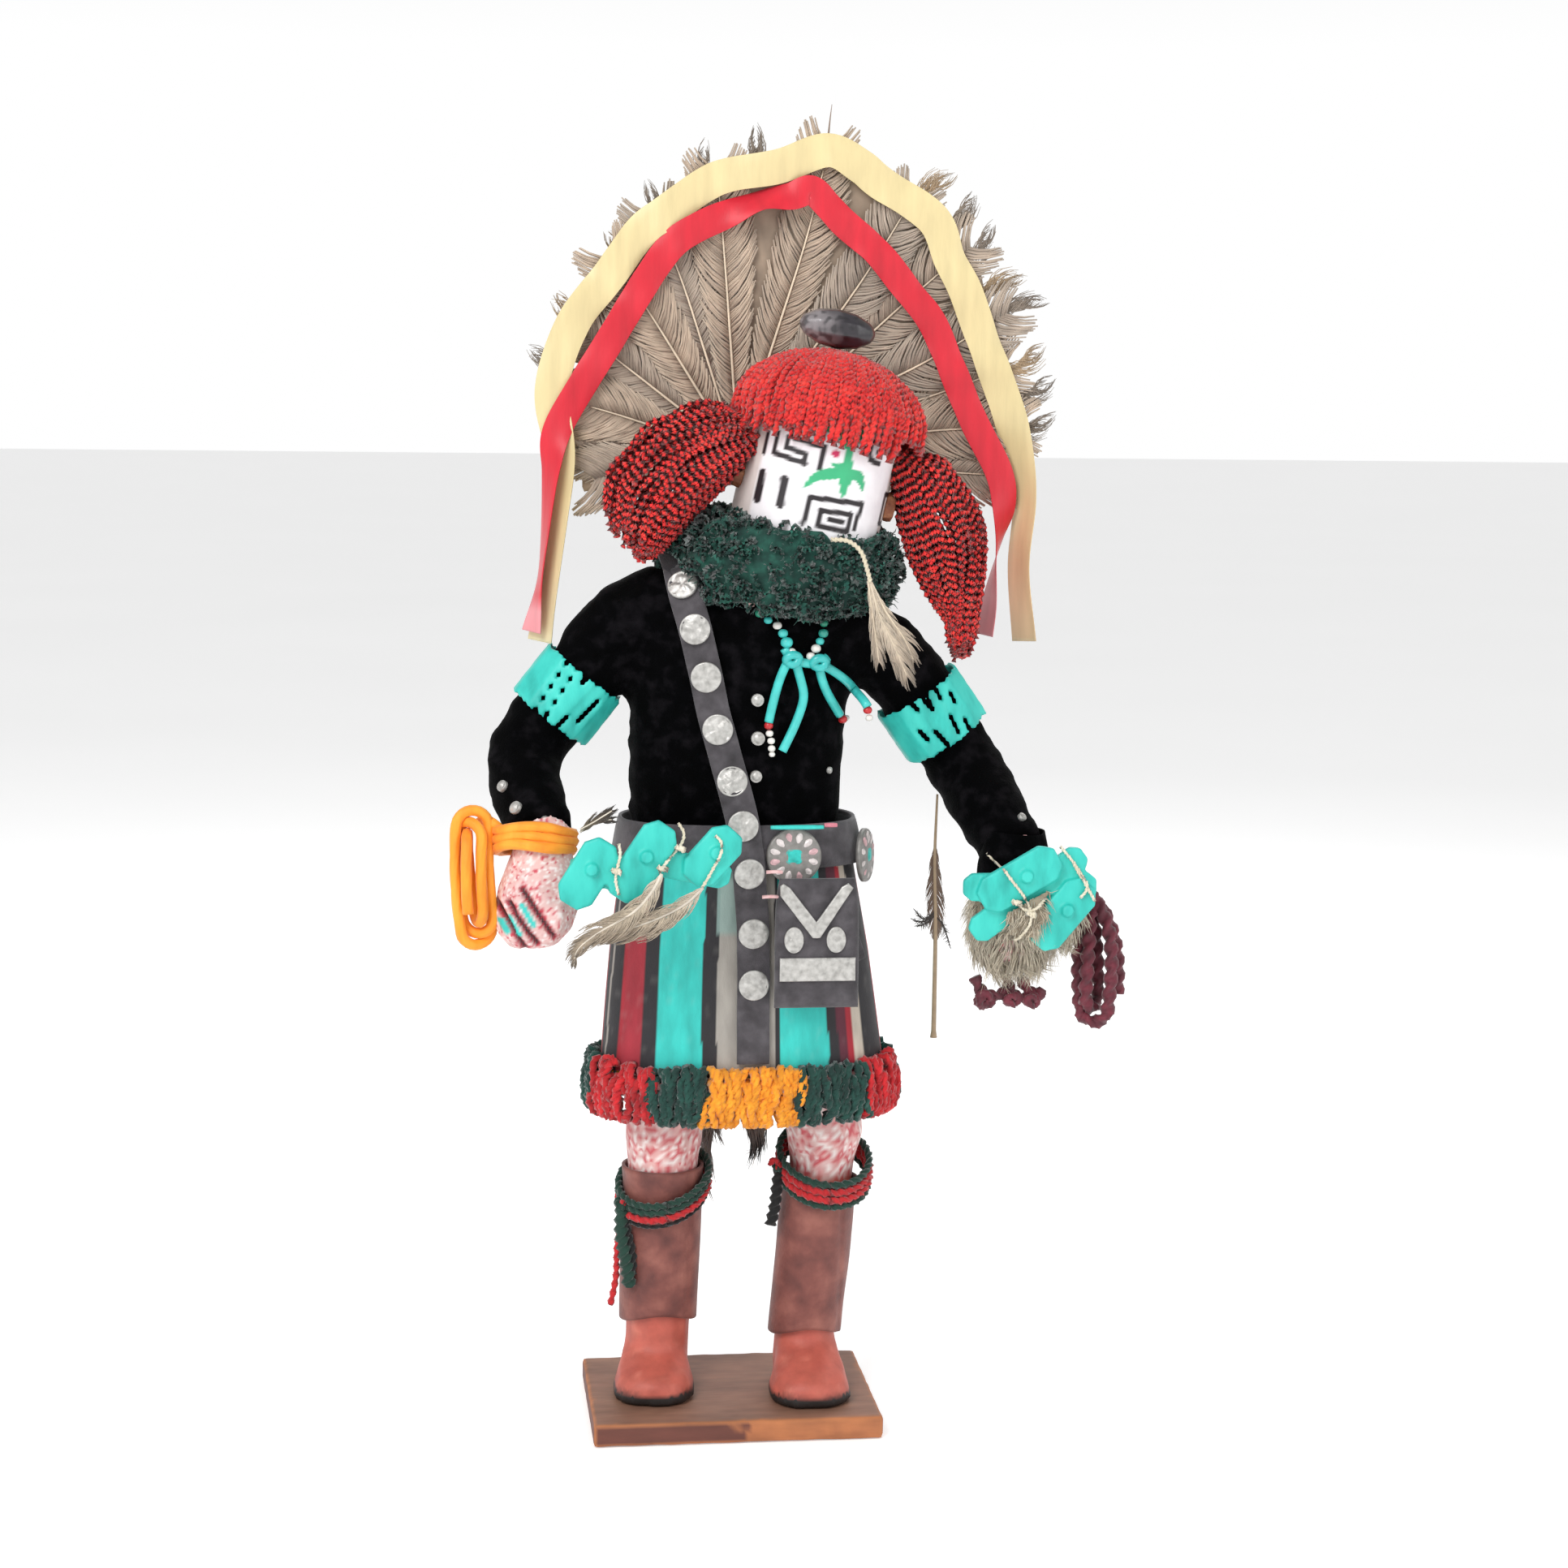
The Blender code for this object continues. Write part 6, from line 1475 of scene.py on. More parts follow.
down = Bundle()
low, high = (np.array(c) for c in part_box("down_feather_left"))
ahead = low[1] + 0.0006
shafts = (
    ((-30.0, 202.4), (-33.6, 196.0), (-39.6, 189.6), (-50.0, 183.6), (-57.0, 178.0), (-58.4, 172.6)),
    ((-16.4, 197.6), (-22.0, 192.4), (-30.6, 187.8), (-42.0, 183.8), (-54.0, 179.8)),
    ((-21.0, 190.4), (-30.0, 185.8), (-39.0, 183.0), (-49.0, 181.0)),
    ((-34.0, 193.0), (-41.0, 188.0), (-48.0, 185.4)),
)
for k, route in enumerate(shafts):
    shaft = resampled([(x * MM, ahead - 0.0003 + k * 0.0009, z * MM) for x, z in route], 0.001)
    wide = (0.0130, 0.0125, 0.0110, 0.0090)[k]
    feather_barbs(
        down, shaft, lambda s, w=wide: w * math.sin(math.pi * min(1, s * 0.93 + 0.05)) ** 0.6 * (1 - 0.5 * s),
        (125, 125, 90, 60)[k], dice, slant=0.78, curl=0.65, fray=0.45, fluff=0.22, width=0.00060, steps=6,
        colour=graded(DOWN_PALE, rgb(198, 184, 162), DOWN_TAN, rgb(160, 144, 124), rgb(96, 84, 72)),
    )
    down.strand(shaft, np.linspace(0.0006, 0.0002, len(shaft)), 5, colour=DOWN_PALE)
down.made("down_feathers", feather_finish, "feather_down", "down_feather_left", colours=True)

tip = Bundle()
low, high = (np.array(c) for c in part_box("tip_feather_left"))
middle = (low + high) / 2
for k in range(2):
    start = middle + np.array((-0.0045, 0.0006 * k, -0.0015 - 0.001 * k))
    shaft = resampled([start, middle + (0, 0.0006 * k, 0.001), middle + (0.0058, 0.0006 * k, 0.0046 - 0.003 * k)], 0.0008)
    feather_barbs(
        tip, shaft, lambda s: 0.0052 * (1 - 0.55 * s) * min(1, s * 4 + 0.2), 60, dice, slant=0.7, curl=0.6, fray=0.5,
        width=0.0005, colour=graded(rgb(120, 108, 84), rgb(70, 58, 46), rgb(40, 34, 30)),
    )
    tip.strand(shaft, 0.0003, 5, colour=DOWN_PALE)
tip.made("tip_feathers", feather_finish, "quill_feather", "tip_feather_left", colours=True)

elbow = Bundle()
low, high = (np.array(c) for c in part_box("elbow_feather_right"))
middle = (low + high) / 2
stem_x = 0.0722
shaft = resampled([(stem_x - 0.0002, middle[1], high[2]), (stem_x - 0.0007, middle[1], 0.196),
                   (stem_x, middle[1], 0.172), (stem_x, middle[1], low[2] + 0.0012)], 0.0012)
stem = np.interp(np.arange(len(shaft)), (0, len(shaft) * 0.3, len(shaft) - 3, len(shaft) - 1),
                 (0.0004, 0.0006, 0.0009, 0.0013))
elbow.strand(shaft, stem, 8, colour=rgb(168, 146, 118))
vane = shaft[(shaft[:, 2] < 0.201) & (shaft[:, 2] > 0.168)][::1]
feather_barbs(
    elbow, vane, lambda s: 0.0074 * math.sin(math.pi * min(1, 0.06 + s * 0.9)) ** 0.8, 130, dice, slant=0.66, curl=0.4,
    fray=0.22, width=0.0005, colour=graded(rgb(120, 96, 78), rgb(104, 84, 70), rgb(128, 108, 92)),
)
for k, (x, z, rise) in enumerate(((-8.0, 176, 2.5), (-9.0, 174.5, 0.5), (-7.6, 173, -0.8), (5.6, 170, -6))):
    root = np.array((stem_x, middle[1], 0.1780 - k * 0.0008))
    wisp = resampled([root, root + np.array((x * 0.5, -0.4, -3.4)) * MM, (stem_x + x * MM, middle[1], (z + rise) * MM)], 0.001)
    feather_barbs(elbow, wisp, lambda s: 0.0022 * math.sin(math.pi * min(1, s * 1.05)), 26, dice, slant=0.4, curl=-0.6,
                  fray=0.6, width=0.00035, colour=lambda a, b: rgb(52, 46, 42))
    elbow.strand(wisp, np.linspace(0.0004, 0.00015, len(wisp)), 5, colour=rgb(50, 44, 40))
elbow.made("elbow_quill", feather_finish, "quill_feather", "elbow_feather_right", colours=True)

# %% [markdown]
# Round the left wrist is a thick gold yarn, smooth and glossy, wound twice and looped, with the rest of
# its length folded into a hank that hangs behind the hand. It is one limp cord, so the hank is a single
# path that goes up and down, and its folds are as wide as such yarn takes without kinking.

# %% Gold yarn
gold_finish = make_finish(
    "gold yarn", [rgb(226, 124, 12), rgb(244, 152, 30), rgb(252, 172, 52)], 0.008, 0.6, 0.0004, 0.00010,
    stretch=(1, 1, 0.35), vary=0.06, Sheen_Weight=0.15,
)
GOLD_RADIUS = 0.0018
GOLD_PLY = {"sides": 20, "plies": 7, "twist": 0.075, "lobe": 0.07}
WRAP_CENTRE, WRAP_RADIUS = np.array((-0.0700, -0.0325, 0.2092)), 0.0127
front_up = Matrix.Rotation(math.radians(-14), 3, "X") @ Matrix.Rotation(math.radians(3), 3, "Y")
wrap = Bundle()
for k, lift in enumerate((0.0029, 0.0, -0.0029)):
    ring = []
    for a in np.linspace(0.25 * math.pi, 2.25 * math.pi, 56):
        out = WRAP_RADIUS + 0.0003 * math.sin(a * 2 + k * 2)
        point = Vector((math.cos(a) * out, math.sin(a) * out, lift + 0.0005 * math.sin(a * 3 + k)))
        ring.append(np.array(front_up @ point) + WRAP_CENTRE)
    wrap.strand(ring, GOLD_RADIUS, phase=k, **GOLD_PLY)
wrap.made("gold_wrap", gold_finish, "gold_yarn", "yarn_wrap_left")

# %% [markdown]
# The gold hank hangs beside the left hand and the maroon one at the right, each folded from one length
# of limp yarn. Every run of the yarn stands at its own angle round the hank's middle, nearly opposite
# the last one, so that the folds at both ends are as wide as the hank lets them be. The folds cross, and
# each lies a yarn's width further in than the one before. One path then has the yarn's real length.

# %% Hanks
MAROON_RADIUS = 0.0022


def hank_path(node, runs, skip, radius, turned, start):
    """A yarn folded up and down inside a packed hank, after the points that lead into it."""
    solid = points_of(nodes[node])
    bottom, top = solid[:, 2].min() + radius * 1.1, solid[:, 2].max() - radius * 1.1
    levels = np.linspace(bottom, top, 9)
    slices = [solid[np.abs(solid[:, 2] - level) < 0.0065] for level in levels]
    centres = smoothed([(s.min(axis=0) + s.max(axis=0)) / 2 for s in slices], 2)
    halves = smoothed([np.ptp(s, axis=0) / 2 for s in slices], 2) - radius * 1.15

    def place(k, z):
        share = (z - bottom) / (top - bottom)
        a = turned + 2 * math.pi * skip * k / runs + 0.35 * share
        centre = np.array([np.interp(z, levels, centres[:, i]) for i in (0, 1)])
        half = np.array([np.interp(z, levels, halves[:, i]) for i in (0, 1)])
        return np.append(centre + half * (math.cos(a), math.sin(a)), z)

    path = [np.array(p) * MM for p in start]
    begin = top - 0.004
    for k in range(runs):
        down = k % 2 == 0
        edge, sign = (bottom, 1) if down else (top, -1)
        edge += sign * (k // 2) * radius * 2.1
        chord = np.linalg.norm(place(k, edge) - place(k + 1, edge))
        end = edge + sign * chord / 2 if k < runs - 1 else edge
        steps = max(2, int(abs(end - begin) / 0.004))
        path += [place(k, z) for z in np.linspace(begin, end, steps)]
        if k < runs - 1:
            a, b = place(k, end), place(k + 1, end)
            for t in np.radians((30, 60, 90, 120, 150)):
                point = (a + b) / 2 + (a - b) / 2 * math.cos(t)
                point[2] = end - sign * chord / 2 * math.sin(t)
                path.append(point)
        begin = end
    return resampled(path, radius * 0.8)


def hank(name, finish, slot, node, path, radius, **ply):
    """A hank of one yarn with cut ends."""
    bundle = Bundle()
    bundle.strand(path, radius, **ply)
    made = bundle.made(name, finish, slot, node)


maroon_finish = make_finish(
    "maroon yarn", [rgb(60, 8, 22), rgb(92, 16, 36), rgb(116, 28, 48)], 0.004, 0.6, 0.0003, 0.00012,
    vary=0.1, Sheen_Weight=0.25,
)
gold_start = ((-79.5, -33.0, 211.5), (-83.5, -33.5, 215.0))
gold_path = hank_path("yarn_hank_left", 7, 3, GOLD_RADIUS, 0.6, gold_start)
hank("gold_hank", gold_finish, "gold_yarn", "yarn_hank_left", gold_path, GOLD_RADIUS, **GOLD_PLY)
maroon_start = ()
maroon_path = hank_path("cord_hank_right", 5, 2, MAROON_RADIUS, 2.6, maroon_start)
hank(
    "maroon_hank", maroon_finish, "maroon_cord", "cord_hank_right", maroon_path, MAROON_RADIUS, sides=14, plies=2,
    twist=0.0105, lobe=0.24,
)

# %% [markdown]
# Under the right fist the maroon yarn ends in a row of overhand knots. A knot is a short strand that
# runs round twice, close on itself, and between the knots the yarn shows as one thick twisted rope.

# %% Maroon knots
KNOTS = ((81.0, 155.6, 1.15), (90.4, 155.4, 0.95), (97.2, 154.8, 0.9))  # x, z and size
ROPES = (  # routes in (x, z)
    ((77.6, 163.0), (79.6, 158.6), (84.6, 156.2), (89.6, 158.4)),
    ((88.4, 163.2), (90.0, 158.0), (93.6, 155.4), (99.2, 156.2), (101.2, 158.6)),
    ((93.6, 162.4), (95.8, 158.4), (98.0, 156.6)),
)
knots = Bundle()
knot_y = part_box("cord_knots_right")[0].y + 0.0035
for k, (x, z, size) in enumerate(KNOTS):
    loop = []
    for a in np.linspace(0, 3.6 * math.pi, 26):
        out = np.array((math.cos(a) * 1.7, -0.9 + 1.0 * math.sin(a * 0.5), math.sin(a) * 1.5)) * size
        loop.append((np.array((x, knot_y / MM, z)) + out) * MM)
    knots.strand(loop, 0.0016 * size, 12, 2, 0.0075, k)
for k, route in enumerate(ROPES):
    path = resampled([(x * MM, knot_y + 0.0006 * k, z * MM) for x, z in route], 0.0009)
    knots.strand(path, 0.0019, 12, 2, 0.0090, k)
knots.made("maroon_knots", maroon_finish, "maroon_cord", "cord_knots_right")

# %% [markdown]
# Fur is thousands of tapering hairs. Under them lies the skin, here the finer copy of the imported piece,
# and the hairs are rooted on it in clumps that lean together, which is what stops fur looking like a
# brush. Each hair has only three sides, as it is finer than a picture's dot. The cuff's long hairs fall
# over the whole right fist, so more of them are rooted on the fist itself.

# %% Fur


def on_surface(made, count, dice, keep=None):
    """Evenly spread places on a mesh with the normal at each; keep(places) picks some of them."""
    mesh = made.data
    mesh.calc_loop_triangles()
    triangles = np.array([t.vertices[:] for t in mesh.loop_triangles])
    points, normals = points_of(made), normals_of(made)
    a, b, c = (points[triangles[:, i]] for i in range(3))
    area = np.linalg.norm(np.cross(b - a, c - a), axis=1)
    spread = np.random.default_rng(dice.randint(0, 10**6))
    chosen = spread.choice(len(triangles), count, p=area / area.sum())
    s, t = spread.random(count), spread.random(count)
    flip = s + t > 1
    s[flip], t[flip] = 1 - s[flip], 1 - t[flip]
    s, t = s[:, None], t[:, None]
    place = a[chosen] * (1 - s - t) + b[chosen] * s + c[chosen] * t
    normal = normals[triangles[chosen, 0]]
    if keep is not None:
        use = keep(place)
        place, normal = place[use], normal[use]
    return place, normal


def fur(name, roots, length, flow, dice, finish, slot, colour, radius=0.00016, clump=0.006, curl=0.0015, lay=0.6):
    """Hairs at roots on a skin. flow says which way they lie, lay from 0, on end, to 1, flat."""
    places, normals = roots
    bundle = Bundle()
    for k, (place, normal) in enumerate(zip(places, normals)):
        cell = Vector(place) / clump
        lean = np.array(noise.noise_vector(cell)) * 0.9
        way = np.array(flow) + lean
        way -= normal * (way @ normal)
        way /= max(np.linalg.norm(way), 1e-6)
        long = (length(place) if callable(length) else length) * (0.65 + 0.7 * dice.random())
        rise = normal * (1 - lay) + way * lay
        rise /= np.linalg.norm(rise)
        wild = np.array([dice.uniform(-1, 1) for _ in range(3)]) * curl
        tip = place + (rise * 0.75 + way * 0.45) * long + wild
        middle = place + rise * long * 0.5 + wild * 0.3
        bundle.strand([place - normal * 0.0003, middle, tip], np.array((1, 0.8, 0.12)) * radius, 3,
                      colour=colour(place, k))
    return bundle.made(name, finish, slot, colours=True)


fur_finish = make_finish(
    "fine fur", [rgb(226, 226, 226), rgb(255, 255, 255)], 0.004, 0.7, 0.0003, 0.00003, paint=True, vary=0.15,
    Sheen_Weight=0.3,
)
skin_finish = make_finish("fur skin", [rgb(134, 122, 104), rgb(170, 156, 136)], 0.004, 0.9, 0.0006, 0.0002)
BEIGE, FUR_PALE, FUR_GREY = np.array(rgb(184, 170, 146)), np.array(rgb(222, 212, 192)), np.array(rgb(128, 118, 112))


def beige_hair(place, k):
    share = 0.5 + 0.5 * noise.noise(Vector(place) * 160)
    return BEIGE * (1 - share) + FUR_PALE * share


cuff_skin = finer("fur_cuff_right", 0.0010, skin_finish, "beige_fur", 6)
cuff_points, cuff_normals = points_of(cuff_skin), normals_of(cuff_skin)
move_points(cuff_skin, cuff_points - cuff_normals * 0.0012)
dice = random.Random(31)
roots = on_surface(cuff_skin, 2000, dice)
fur("cuff_hair", roots, 0.0046, (0.15, -0.1, -0.9), dice, fur_finish, "beige_fur", beige_hair, 0.00022)
fist = bpy.data.objects["hand_right_skin"]
roots = on_surface(fist, 4200, dice, lambda p: (p[:, 2] < 0.190) & (p[:, 1] < -0.026))


def over_fist(place):
    return 0.0060 + 0.0030 * near(place[2], 0.174, 0.006)


fur("fist_hair", roots, over_fist, (0.05, -0.25, -1.0), dice, fur_finish, "beige_fur", beige_hair, 0.00019, 0.008)

pelt_skin = finer("fox_pelt", 0.0012, skin_finish, "grey_pelt", 5)
pelt_points, pelt_normals = points_of(pelt_skin), normals_of(pelt_skin)
move_points(pelt_skin, pelt_points - pelt_normals * 0.0010)


def pelt_hair(place, k):
    share = 0.5 + 0.5 * noise.noise(Vector(place) * 120)
    tone = FUR_GREY * (0.75 + 0.5 * share)
    low_part = place[2] < 0.093 and place[0] > 0.004
    if low_part:
        tone = np.array(rgb(230, 224, 214)) if place[2] < 0.0855 else np.array(rgb(30, 28, 28))
    return np.append(tone[:3], 1)


dice = random.Random(32)
fur("pelt_hair", on_surface(pelt_skin, 3400, dice), 0.0066, (0, 0.1, -1), dice, fur_finish, "grey_pelt", pelt_hair,
    0.00028, 0.008, 0.001, 0.75)

# %% [markdown]
# The mask is a wooden cylinder, painted white with black frets and a green plant. Paint has no height, so
# nothing is raised: the front is a net of squares a third of a millimetre across, and each takes its
# colour from the shapes drawn here. The shapes lie on the unrolled cylinder, across and up from the
# middle of the face in millimetres.

# %% Mask
MASK_TILT = math.radians(12.5)
MASK_RADIUS = 0.0255
mask_low, mask_high = (np.array(c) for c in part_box("mask"))
HEAD = Vector((0.0265, -0.006, 0.331))
head_up = Vector((math.sin(MASK_TILT), 0, math.cos(MASK_TILT)))
head_side = Vector((math.cos(MASK_TILT), 0, -math.sin(MASK_TILT)))
MASK_FACE, MASK_BLACK, PLANT, DOT = rgb(246, 244, 246), rgb(34, 28, 32), rgb(58, 178, 124), rgb(206, 44, 96)
LINE_WIDTH, BAR_WIDTH = 1.9, 3.1
FRETS = (  # lines of the frets, each a chain of (across, up) points
    ((-24.2, 8.9), (-24.0, 2.4)),
    ((-19.8, 9.6), (-19.6, 3.0), (-7.8, 1.7), (-8.4, 4.8)),
    ((-15.8, 9.2), (-15.6, 5.6), (-9.8, 5.0)),
    ((-13.4, 9.2), (-2.5, 8.4), (-3.0, 1.4)),
    ((-4.2, -17.6), (-3.4, -8.6), (15.4, -7.0), (14.6, -15.4)),
    ((0.6, -12.2), (1.1, -17.2), (11.6, -17.0), (11.6, -11.2), (0.6, -12.2)),
    ((4.2, -14.4), (9.2, -14.2)),
    ((18.6, 15.2), (13.2, 13.8), (14.4, 7.9), (19.2, 7.2)),
    ((19.8, 11.4), (17.2, 11.0)),
    ((29.0, -2.0), (29.0, -12.0), (35.0, -12.0), (35.0, -2.0), (29.0, -2.0)),
)
BARS = (((-22.8, -4.4), (-22.4, -13.2)), ((-13.6, -4.8), (-12.9, -13.2)))
LEAVES = (  # each a chain of (across, up, half width)
    ((5.8, 12.0, 1.2), (6.3, 6.0, 1.5), (6.7, 0.6, 2.3), (7.0, -5.6, 0.8)),
    ((5.6, 9.6, 1.2), (1.2, 14.0, 1.9), (-5.0, 15.2, 1.3), (-10.6, 13.2, 0.4)),
    ((6.0, 9.4, 1.2), (7.6, 14.6, 2.1), (11.2, 17.8, 1.7), (17.6, 16.4, 0.5)),
    ((6.6, 1.6, 1.3), (2.4, 0.7, 1.9), (-2.8, -1.4, 1.6), (-6.6, -6.2, 0.3)),
    ((6.8, 1.6, 1.3), (11.4, 1.6, 1.8), (14.4, -2.6, 0.4)),
    ((6.2, 4.0, 1.0), (2.8, 3.4, 0.9), (0.8, 3.8, 0.3)),
)
STALK = ((2.6, 17.6, 0.5), (4.2, 12.6, 0.4))
DOTS = ((1.5, 7.2, 1.3), (10.4, 9.7, 0.9))

rings, sides = 96, 270
axis_low = (mask_low[2] - HEAD.z + MASK_RADIUS * math.sin(MASK_TILT)) / math.cos(MASK_TILT)
axis_high = 0.0290
angles = np.linspace(0, 2 * math.pi, sides, endpoint=False)
bunch = angles + 0.55 * np.sin(angles + math.pi / 2)  # more of the net where the face looks forward
heights = np.linspace(axis_low, axis_high, rings)
grid = np.empty((rings, sides, 3))
for i, h in enumerate(heights):
    rounded = 1 - 0.04 * max(0, (h - axis_high + 0.002) / 0.002) ** 2
    for j, a in enumerate(bunch):
        out = head_side * math.cos(a) + Vector((0, 1, 0)) * math.sin(a)
        grid[i, j] = HEAD + head_up * h + out * MASK_RADIUS * rounded
mask_finish = make_finish(
    "painted mask", [rgb(240, 238, 240), rgb(255, 255, 255)], 0.006, 0.5, 0.0012, 0.00005, paint=True
)
mask = piece("painted_mask", grid, capped(grid), mask_finish, "mask_paint", "mask")
flat = points_of(mask)
from_head = flat - np.array(HEAD)
around = np.arctan2(from_head @ np.array(head_side), -from_head[:, 1]) * MASK_RADIUS / MM
up = from_head @ np.array(head_up) / MM
surface_xy = np.stack([around, up], axis=1) + 0.12 * np.stack([clouds(flat, 0.002, 1), clouds(flat, 0.002, 2)], axis=1)
coat = np.tile(MASK_FACE, (len(flat), 1))
# The mask's sides, more than 26 mm round from the middle of the face, are painted a little greyer.
greyer_sides = np.clip((np.abs(around - 2) - 26) / 1.5, 0, 1)
coat = blend_colours(coat, rgb(222, 214, 208), greyer_sides)


def brush(coat, chain, colour, width=None, soft=0.28):
    """Paint a chain of lines; a third number at each point is its own half width."""
    for a, b in zip(chain, chain[1:]):
        start, way = np.array(a[:2]), np.array(b[:2]) - np.array(a[:2])
        share = np.clip(((surface_xy - start) @ way) / (way @ way), 0, 1)
        gap = np.linalg.norm(surface_xy - start - share[:, None] * way, axis=1)
        half = width / 2 if width else a[2] + (b[2] - a[2]) * share
        coat = blend_colours(coat, colour, near(gap, half, soft))
    return coat


def curved(chain):
    """More points along a chain, on a smooth curve through its own."""
    return resampled(np.array(chain) * (1, 1, 1), 0.8)


for leaf in LEAVES:
    coat = brush(coat, curved(leaf), PLANT)
coat = brush(coat, curved(STALK), rgb(226, 232, 150))
for width, lines in ((LINE_WIDTH, FRETS), (BAR_WIDTH, BARS)):
    for line in lines:
        coat = brush(coat, line, MASK_BLACK, width)
for x, z, r in DOTS:
    coat = blend_colours(coat, DOT, near(np.linalg.norm(surface_xy - (x, z), axis=1), r, 0.3))
paint(mask, coat)
print("mask:", rings * sides, "squares,", len(FRETS), "lines of frets and", len(LEAVES), "leaves")

ear_finish = make_finish(
    "ear paint", [rgb(104, 58, 40), rgb(150, 92, 62), rgb(196, 140, 100)], 0.003, 0.6, 0.0005, 0.0001
)
for side in ("left", "right"):
    finer("ear_" + side, 0.0005, ear_finish, "ear_paint", 4)

# %% [markdown]
# The hair is red wool knitting yarn, two-ply, in three bunches: a fringe that falls all round from the
# crown, and a tied bunch at each side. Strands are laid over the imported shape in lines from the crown,
# and over the ones below them in two more layers, so that gaps show hair and not a bare dome.

# %% Hair
hair_finish = yarn_finish("red wool", [rgb(196, 22, 26), rgb(226, 40, 38), rgb(240, 66, 54)], 0.75, 0.13)
dice = random.Random(41)
YARN = 0.00115
hair_low, hair_high = (np.array(c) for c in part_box("hair_top"))
hair_tree = surface_of("hair_top")
crown = HEAD + head_up * 0.0410 + Vector((0, 0.004, 0))
FRINGE_ENDS = ((-27, 8.5), (-14, 12.0), (-4, 16.5), (8, 18.2), (18, 17.6), (28, 14.5))  # across and up, in front
BACK_END = 10.0


bundle = Bundle()
for layer in range(2):
    count = 118
    for k in range(count):
        a = 2 * math.pi * (k + 0.5 * layer + dice.uniform(-0.2, 0.2)) / count
        way = head_side * math.cos(a) + Vector((0, math.sin(a), 0))
        front = max(0.0, -math.sin(a))
        front_end = np.interp(math.cos(a) * 30, *zip(*FRINGE_ENDS))
        end = (BACK_END + (front_end - BACK_END) * min(1, front * 3)) * MM
        rim_hit = hair_tree.ray_cast(HEAD + head_up * 0.022 + way * 0.12, -way)[0] or HEAD + way * 0.034
        fringe_end = rim_hit + head_up * (end + 0.0045 - 0.022)
        top_place = crown + way * 0.004 * dice.random() + head_up * 0.004
        path = []
        for s in np.linspace(0, 1, 10):
            point = Vector(top_place).lerp(Vector(fringe_end), s ** 0.8)
            away = HEAD + head_up * 0.012 + (point - HEAD - head_up * 0.012).normalized() * 0.08
            hit = hair_tree.ray_cast(away, (HEAD + head_up * 0.012 - away).normalized())
            place = hit[0] if hit[0] else point
            normal = hit[1] if hit[0] else way
            sway = Vector((-way.y, way.x, 0)) * 0.0010 * math.sin(s * 7 + k * 1.9)
            path.append(np.array(place + normal * (-0.0006 - 0.0010 * layer) + sway * s))
        drop = dice.uniform(-0.0015, 0.0035)
        last = Vector(path[-1])
        path.append(np.array(last - head_up * (0.0035 + drop) + way * 0.0004))
        route = resampled(path, YARN * 2.0)
        levels = (route - np.array(HEAD)) @ np.array(head_up)
        route = route[levels > end - drop * 0.6]
        bundle.strand(route, YARN * dice.uniform(0.9, 1.1), 5, 2, 0.0052, dice.uniform(0, 6))
bundle.made("crown_hair", hair_finish, "red_yarn", "hair_top")


def side_bunch(side, root, tip, spread, count, bend):
    """A tied bunch of strands that leave the head together, swell and hang."""
    tree = surface_of("hair_" + side)
    low, high = (np.array(c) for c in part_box("hair_" + side))
    points = points_of(nodes["hair_" + side])
    root, tip = np.array(root), np.array(tip)
    way = (tip - root) / np.linalg.norm(tip - root)
    u = np.cross(way, (0, 1, 0))
    u /= np.linalg.norm(u)
    v = np.cross(way, u)
    bunch = Bundle()
    for layer, inset in enumerate((0.0010, 0.0034)):
        for k in range(int(count * (1 - 0.35 * layer))):
            a = 2 * math.pi * (k + dice.random() * 0.5) / int(count * (1 - 0.35 * layer))
            path = []
            length = dice.uniform(0.93, 1.03)
            for s in np.linspace(0.0, 1.0, 11):
                turn = a + 0.25 * s + 0.08 * math.sin(s * 6 + k)
                out = u * math.cos(turn) + v * math.sin(turn)
                centre = root + (tip - root) * s * length + np.array(bend) * math.sin(math.pi * s)
                hit = tree.ray_cast(Vector(centre + out * 0.05), Vector(-out), 0.05)
                place = np.array(hit[0]) if hit[0] else centre + out * 0.004
                path.append(place - out * inset + out * 0.0004 * math.sin(s * 9 + k * 2.3))
            bunch.strand(resampled(path, YARN * 2.4), YARN * dice.uniform(0.9, 1.1), 5, 2, 0.0050, dice.uniform(0, 6))
    bunch.made("side_hair_" + side, hair_finish, "red_yarn", "hair_" + side)


side_bunch("left", (0.0045, -0.012, 0.3430), (-0.0350, -0.018, 0.3045), 0.016, 64, (-0.004, 0, 0.004))
side_bunch("right", (0.0510, -0.010, 0.3370), (0.0765, -0.012, 0.2700), 0.013, 58, (0.004, 0, 0.002))

# %% [markdown]
# The collar is a thick roll of dark green chenille, looped and fluffed until single strands are hard to
# follow. Loops of yarn stand out of the roll in every direction, and a halo of fine fuzz covers them.
# The roll itself fills the inside, so no light comes through.

